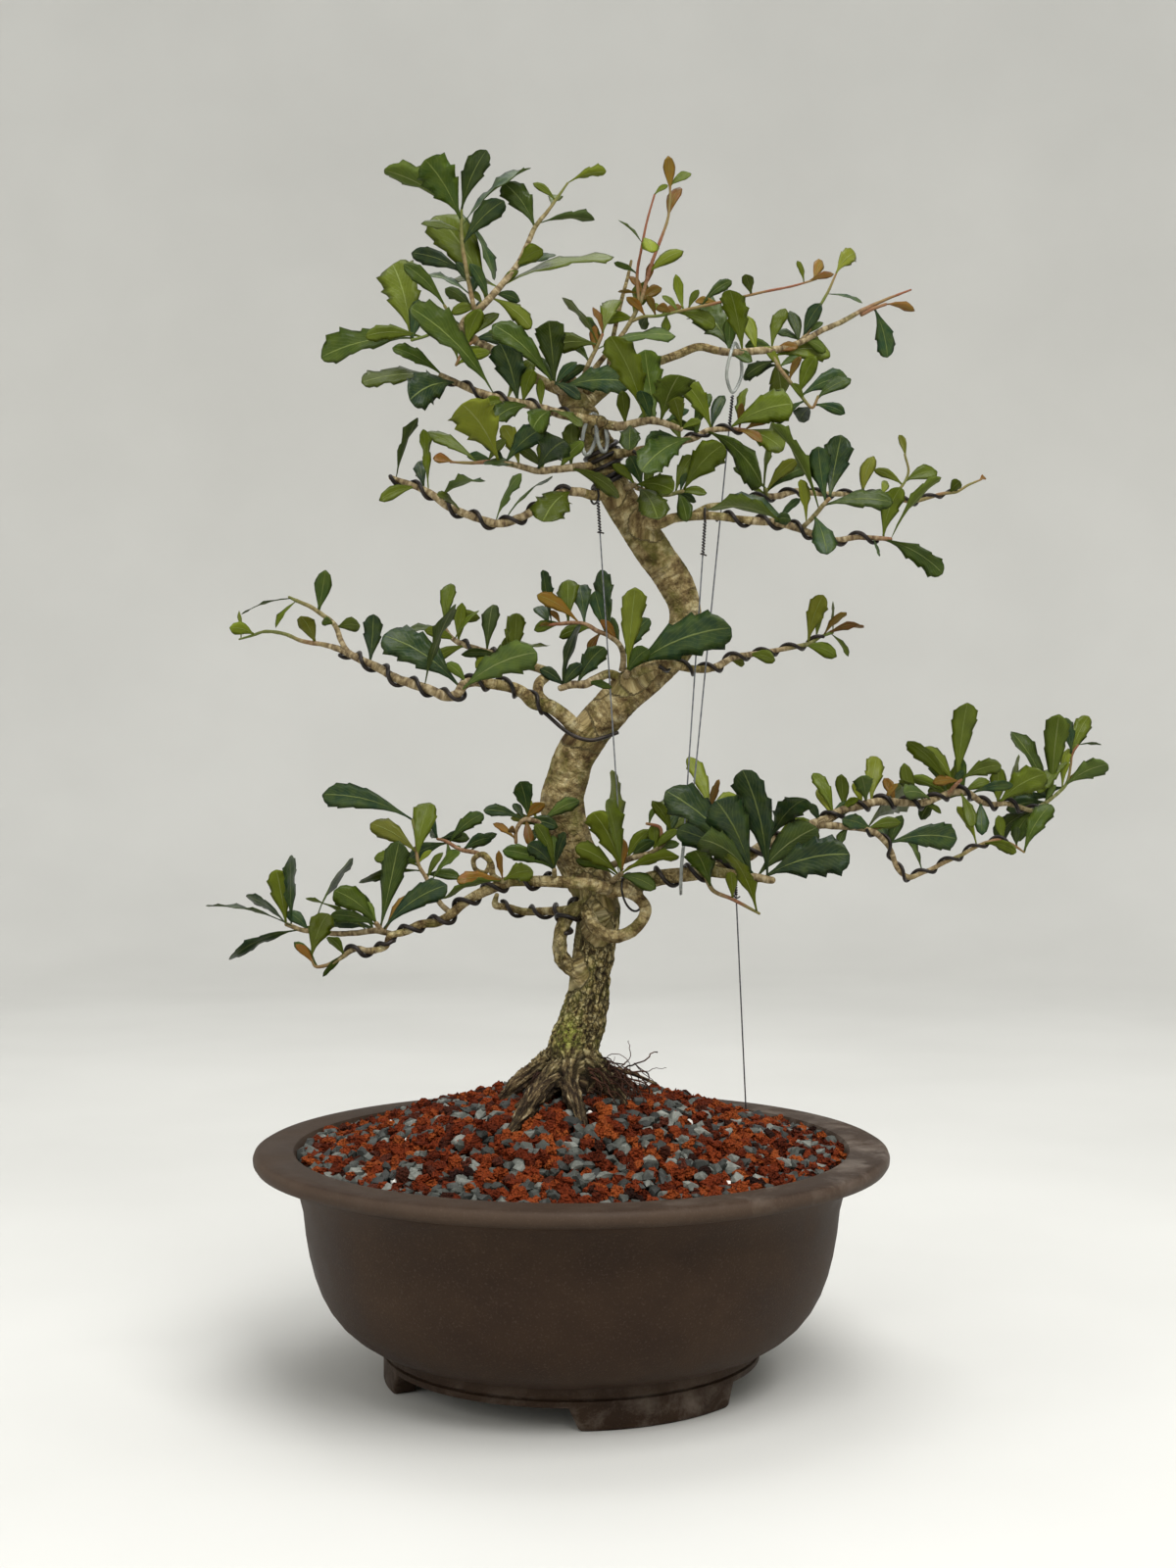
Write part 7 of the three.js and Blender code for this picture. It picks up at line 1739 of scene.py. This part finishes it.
def twigNodes(add):
    along = add("Attribute", {}, "Vector", attribute_name="around")
    girth = add("Attribute", {}, "Fac", attribute_name="girth")
    moved = add("VectorMath", {0: along, 1: (0.4, 0.4, 1)}, operation="MULTIPLY")
    bands = add("TexNoise", {"Vector": moved, "Scale": 1 / 1.8, "Detail": 3})
    drift = add("TexNoise", {"Vector": add("TexCoord", {}, "Object"), "Scale": 38, "Detail": 1})
    old = add("ValToRGB", {"Fac": bands}, stops=zip((0.32, 0.5, 0.7), twigLook["old"]))
    young = add("ValToRGB", {"Fac": drift}, stops=zip((0.38, 0.5, 0.62), twigLook["young"]))
    isYoung = add("MapRange", {"Value": girth, "From Min": 1.5, "From Max": 0.8})
    return {
        "Base Color": add("Mix", {0: isYoung, 6: old, 7: young}, **inColour),
        "Normal": add("Bump", {"Height": bands, "Distance": 0.0004, "Strength": 1.0}),
    }


twigSkin = newMaterial("liveOakTwig", twigNodes, Roughness=0.75, Specular_IOR_Level=0.25)

# Leaf: leathery and waxed above with a pale midrib, duller and greyer beneath; a tone for each tint
leafTones = {
    "upper": ["#1d331c", "#2f410d", "#495407", "#6a7319", "#6c4414"],
    "under": ["#3b4a24", "#48561c", "#5c6614", "#747b26", "#755026"],
    "blotch": "#5f6b1a",
    "upperRib": "#8f9a55",
    "underRib": "#9da36a",
}


def leafNodes(side):
    def build(add):
        tint = add("Attribute", {}, "Fac", attribute_name="tint")
        own = add("Attribute", {}, "Fac", attribute_name="shade")
        tint = add("Math", {0: tint, 1: 0.25}, operation="MULTIPLY")
        colour = add("ValToRGB", {"Fac": tint}, stops=zip((0, 0.25, 0.5, 0.75, 1), leafTones[side]))
        place = add("TexCoord", {}, "Object")
        # blotches of 6 mm
        mottle = add("TexNoise", {"Vector": place, "Scale": 160, "Detail": 4, "Roughness": 0.6})
        blotch = add("ValToRGB", {"Fac": mottle}, stops=[(0.38, 0.0), (0.72, 0.3)])
        colour = add("Mix", {0: blotch, 6: colour, 7: leafTones["blotch"]}, **inColour)
        bright = add("MapRange", {"Value": own, "To Min": 0.62, "To Max": 1.3})
        grey = add("CombineColor", {0: bright, 1: bright, 2: bright})
        colour = add("Mix", {0: 1.0, 6: colour, 7: grey}, **inColour, blend_type="MULTIPLY")
        across, up = [add("SeparateXYZ", {"Vector": add("UVMap", {})}, out) for out in ("X", "Y")]
        across = add("Math", {0: across, 1: 0.5}, operation="SUBTRACT")
        across = add("Math", {0: across}, operation="ABSOLUTE")
        fade = add("MapRange", {"Value": up, "From Min": 1.0, "From Max": 0.35, "To Min": 0.3, "To Max": 0.5})
        midrib = add("MapRange", {"Value": across, "From Min": 0.03, "From Max": 0.006})
        midrib = add("Math", {0: midrib, 1: fade}, operation="MULTIPLY")
        rise = add("Math", {0: up, 1: 11.0}, operation="MULTIPLY")
        vein = add("Math", {0: across, 1: -9.0, 2: rise}, operation="MULTIPLY_ADD")
        vein = add("Math", {0: vein, 1: 0.5}, operation="PINGPONG")
        vein = add("MapRange", {"Value": vein, "From Min": 0.09, "From Max": 0.0, "To Max": 0.12})
        lines = add("Math", {0: midrib, 1: vein}, operation="MAXIMUM")
        colour = add("Mix", {0: lines, 6: colour, 7: leafTones[side + "Rib"]}, **inColour)
        swell = add("Math", {0: lines, 1: -0.8, 2: mottle}, operation="MULTIPLY_ADD")
        bump = add("Bump", {"Height": swell, "Distance": 0.0006, "Strength": 1.0})
        return {"Base Color": colour, "Normal": bump}
    return build


leafTop = newMaterial("waxyOakLeafUpper", leafNodes("upper"), Roughness=0.36, Specular_IOR_Level=0.2)
leafUnder = newMaterial("oakLeafUnderside", leafNodes("under"), Roughness=0.6, Specular_IOR_Level=0.12)


# Plainer materials: two tones that drift into each other
def twoTones(first, second, size):
    def build(add):
        drift = add("TexNoise", {"Vector": add("TexCoord", {}, "Object"), "Scale": 1 / size, "Detail": 3})
        return {"Base Color": add("ValToRGB", {"Fac": drift}, stops=[(0.35, first), (0.65, second)])}
    return build


# Dead root hair: thin, dark and dry
rootHair = newMaterial(
    "dryRootHair", twoTones("#1d120d", "#4b3023", 0.008), Roughness=0.9, Specular_IOR_Level=0.15)
# Dark anodised aluminium: soft drawn wire, satin, nearly black
anodised = newMaterial(
    "darkAnodisedAluminium", twoTones("#15110e", "#2f2823", 0.007), Metallic=0.6, Roughness=0.42)
# Galvanised steel: thin binding wire gone dull
galvanised = newMaterial(
    "dullGalvanisedSteel", twoTones("#54565a", "#787a7e", 0.0025), Metallic=0.5, Roughness=0.5)
# Clear vinyl tubing: soft and glossy, slightly milky
vinyl = newMaterial(
    "clearVinylTube", twoTones("#8f938e", "#bfc3bc", 0.005), Roughness=0.16, IOR=1.5, Transmission_Weight=0.6)
# Polypropylene screen: moulded, dull black-grey
screenPlastic = newMaterial(
    "mouldedPolypropylene", twoTones("#242526", "#323435", 0.004), Roughness=0.55, IOR=1.49)


# Every piece gets its material and its body, and the CAD nodes that it stands for are hidden
def dress(piece, slotName, materials, *nodes):
    for material in materials:
        piece.data.materials.append(material)
    if nodes:
        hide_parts(*nodes)
    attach(piece, "root")


dress(potPiece, "clay", [clay], "pot")
dress(mound, "gravel", [stoneSkins["finesGapShade"]], "soil")
for kind, piece in stonePieces.items():
    dress(piece, "gravel", [stoneSkins[kind]])
dress(woodPiece, "bark", [oakBark], "trunk")
dress(hairPiece, "bark", [rootHair])
dress(wrapPiece, "wire", [anodised])
for b in leafyBranches:
    stems, leaves = leafyPieces[b["name"]]
    stems.data.materials.append(twigSkin)
    for leaf in leaves:
        leaf.data.materials.append(leafTop)
        leaf.data.materials.append(leafUnder)
    stems.data.uv_layers.new(name="UVMap")
    piece = joinPieces(b["name"] + "_dressed", [stems, *leaves])
    dress(piece, "leaf_" + b["colour"], [], b["name"])
for model in leafModels.values():
    bpy.data.objects.remove(model)
for name, piece in wirePieces.items():
    dress(piece, "wire", [anodised], name)
for name, (strand, twists) in guyPieces.items():
    strand.data.materials.append(galvanised)
    if twists:
        twists.data.materials.append(anodised)
        strand = joinPieces(name + "_dressed", [strand, twists])
    dress(strand, "guy", [], name)
for name, piece in sleevePieces.items():
    dress(piece, "sleeve", [vinyl], name)
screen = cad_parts["drain_screen"]
screen.data.materials.clear()
screen.data.materials.append(screenPlastic)
print("dressed")


# Studio: a pale round cove, a big soft light above and to the right, and a fill
studio = {
    "coveRadius": 2.7,
    "coveHeight": 2.4,
    "coveBend": 0.9,
    "tones": ("#cecdc8", "#d4d3ce"),
    "sky": "#eceef0",
    "skyStrength": 0.82,
    "lights": [  # place, aim, size in metres, watts
        ("keyLight", (0.5, -1.1, 1.9), (0, 0, 0.35), 1.3, 40),
        ("fillLight", (-1.5, -1.2, 0.9), (0, 0, 0.3), 1.4, 9),
        ("topLight", (-0.1, 0.5, 2.0), (0, 0, 0.3), 1.2, 14),
    ],
}
deselectAll()
bpy.ops.mesh.primitive_circle_add(vertices=96, radius=studio["coveRadius"], fill_type="NGON")
cove = bpy.context.object
cove.name = "cove"
editAll(cove)
bpy.ops.mesh.region_to_loop()
bpy.ops.mesh.extrude_edges_move(TRANSFORM_OT_translate={"value": (0, 0, studio["coveHeight"])})
pickPoints(cove, lambda co: co.z < 0.01)
bpy.ops.mesh.select_mode(type="EDGE")
bpy.ops.mesh.bevel(offset=studio["coveBend"], segments=14, affect="EDGES")
endEdit(inside=True)
smooth(cove)
sweepPaper = newMaterial(
    "paleSweepPaper", twoTones(*studio["tones"], 0.4), Roughness=0.9, Specular_IOR_Level=0.1)
cove.data.materials.append(sweepPaper)
cove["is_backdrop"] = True
for name, place, aim, size, watts in studio["lights"]:
    lamp = bpy.data.lights.new(name, "AREA")
    lamp.size = size
    lamp.energy = watts
    light = newObject(name, lamp)
    light.location = place
    light.rotation_euler = (Vector(aim) - Vector(place)).to_track_quat("-Z", "Y").to_euler()
world = bpy.data.worlds.new("studioSky")
world.use_nodes = True
background = world.node_tree.nodes["Background"]
background.inputs["Color"].default_value = linear(studio["sky"])
background.inputs["Strength"].default_value = studio["skyStrength"]
bpy.context.scene.world = world
bpy.context.scene.view_settings.view_transform = "Standard"

# Camera where the front view is drawn from
camera = {"lens": 49.95, "sensor": 36, "pitch": 1.285}
lens = bpy.data.cameras.new("frontCamera")
lens.lens = camera["lens"]
lens.sensor_width = camera["sensor"]
view = newObject("frontCamera", lens)
view.location = inPlace(eye)
view.rotation_euler = (math.radians(90 - camera["pitch"]), 0, 0)
bpy.context.scene.camera = view
print("studio set")

low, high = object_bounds()
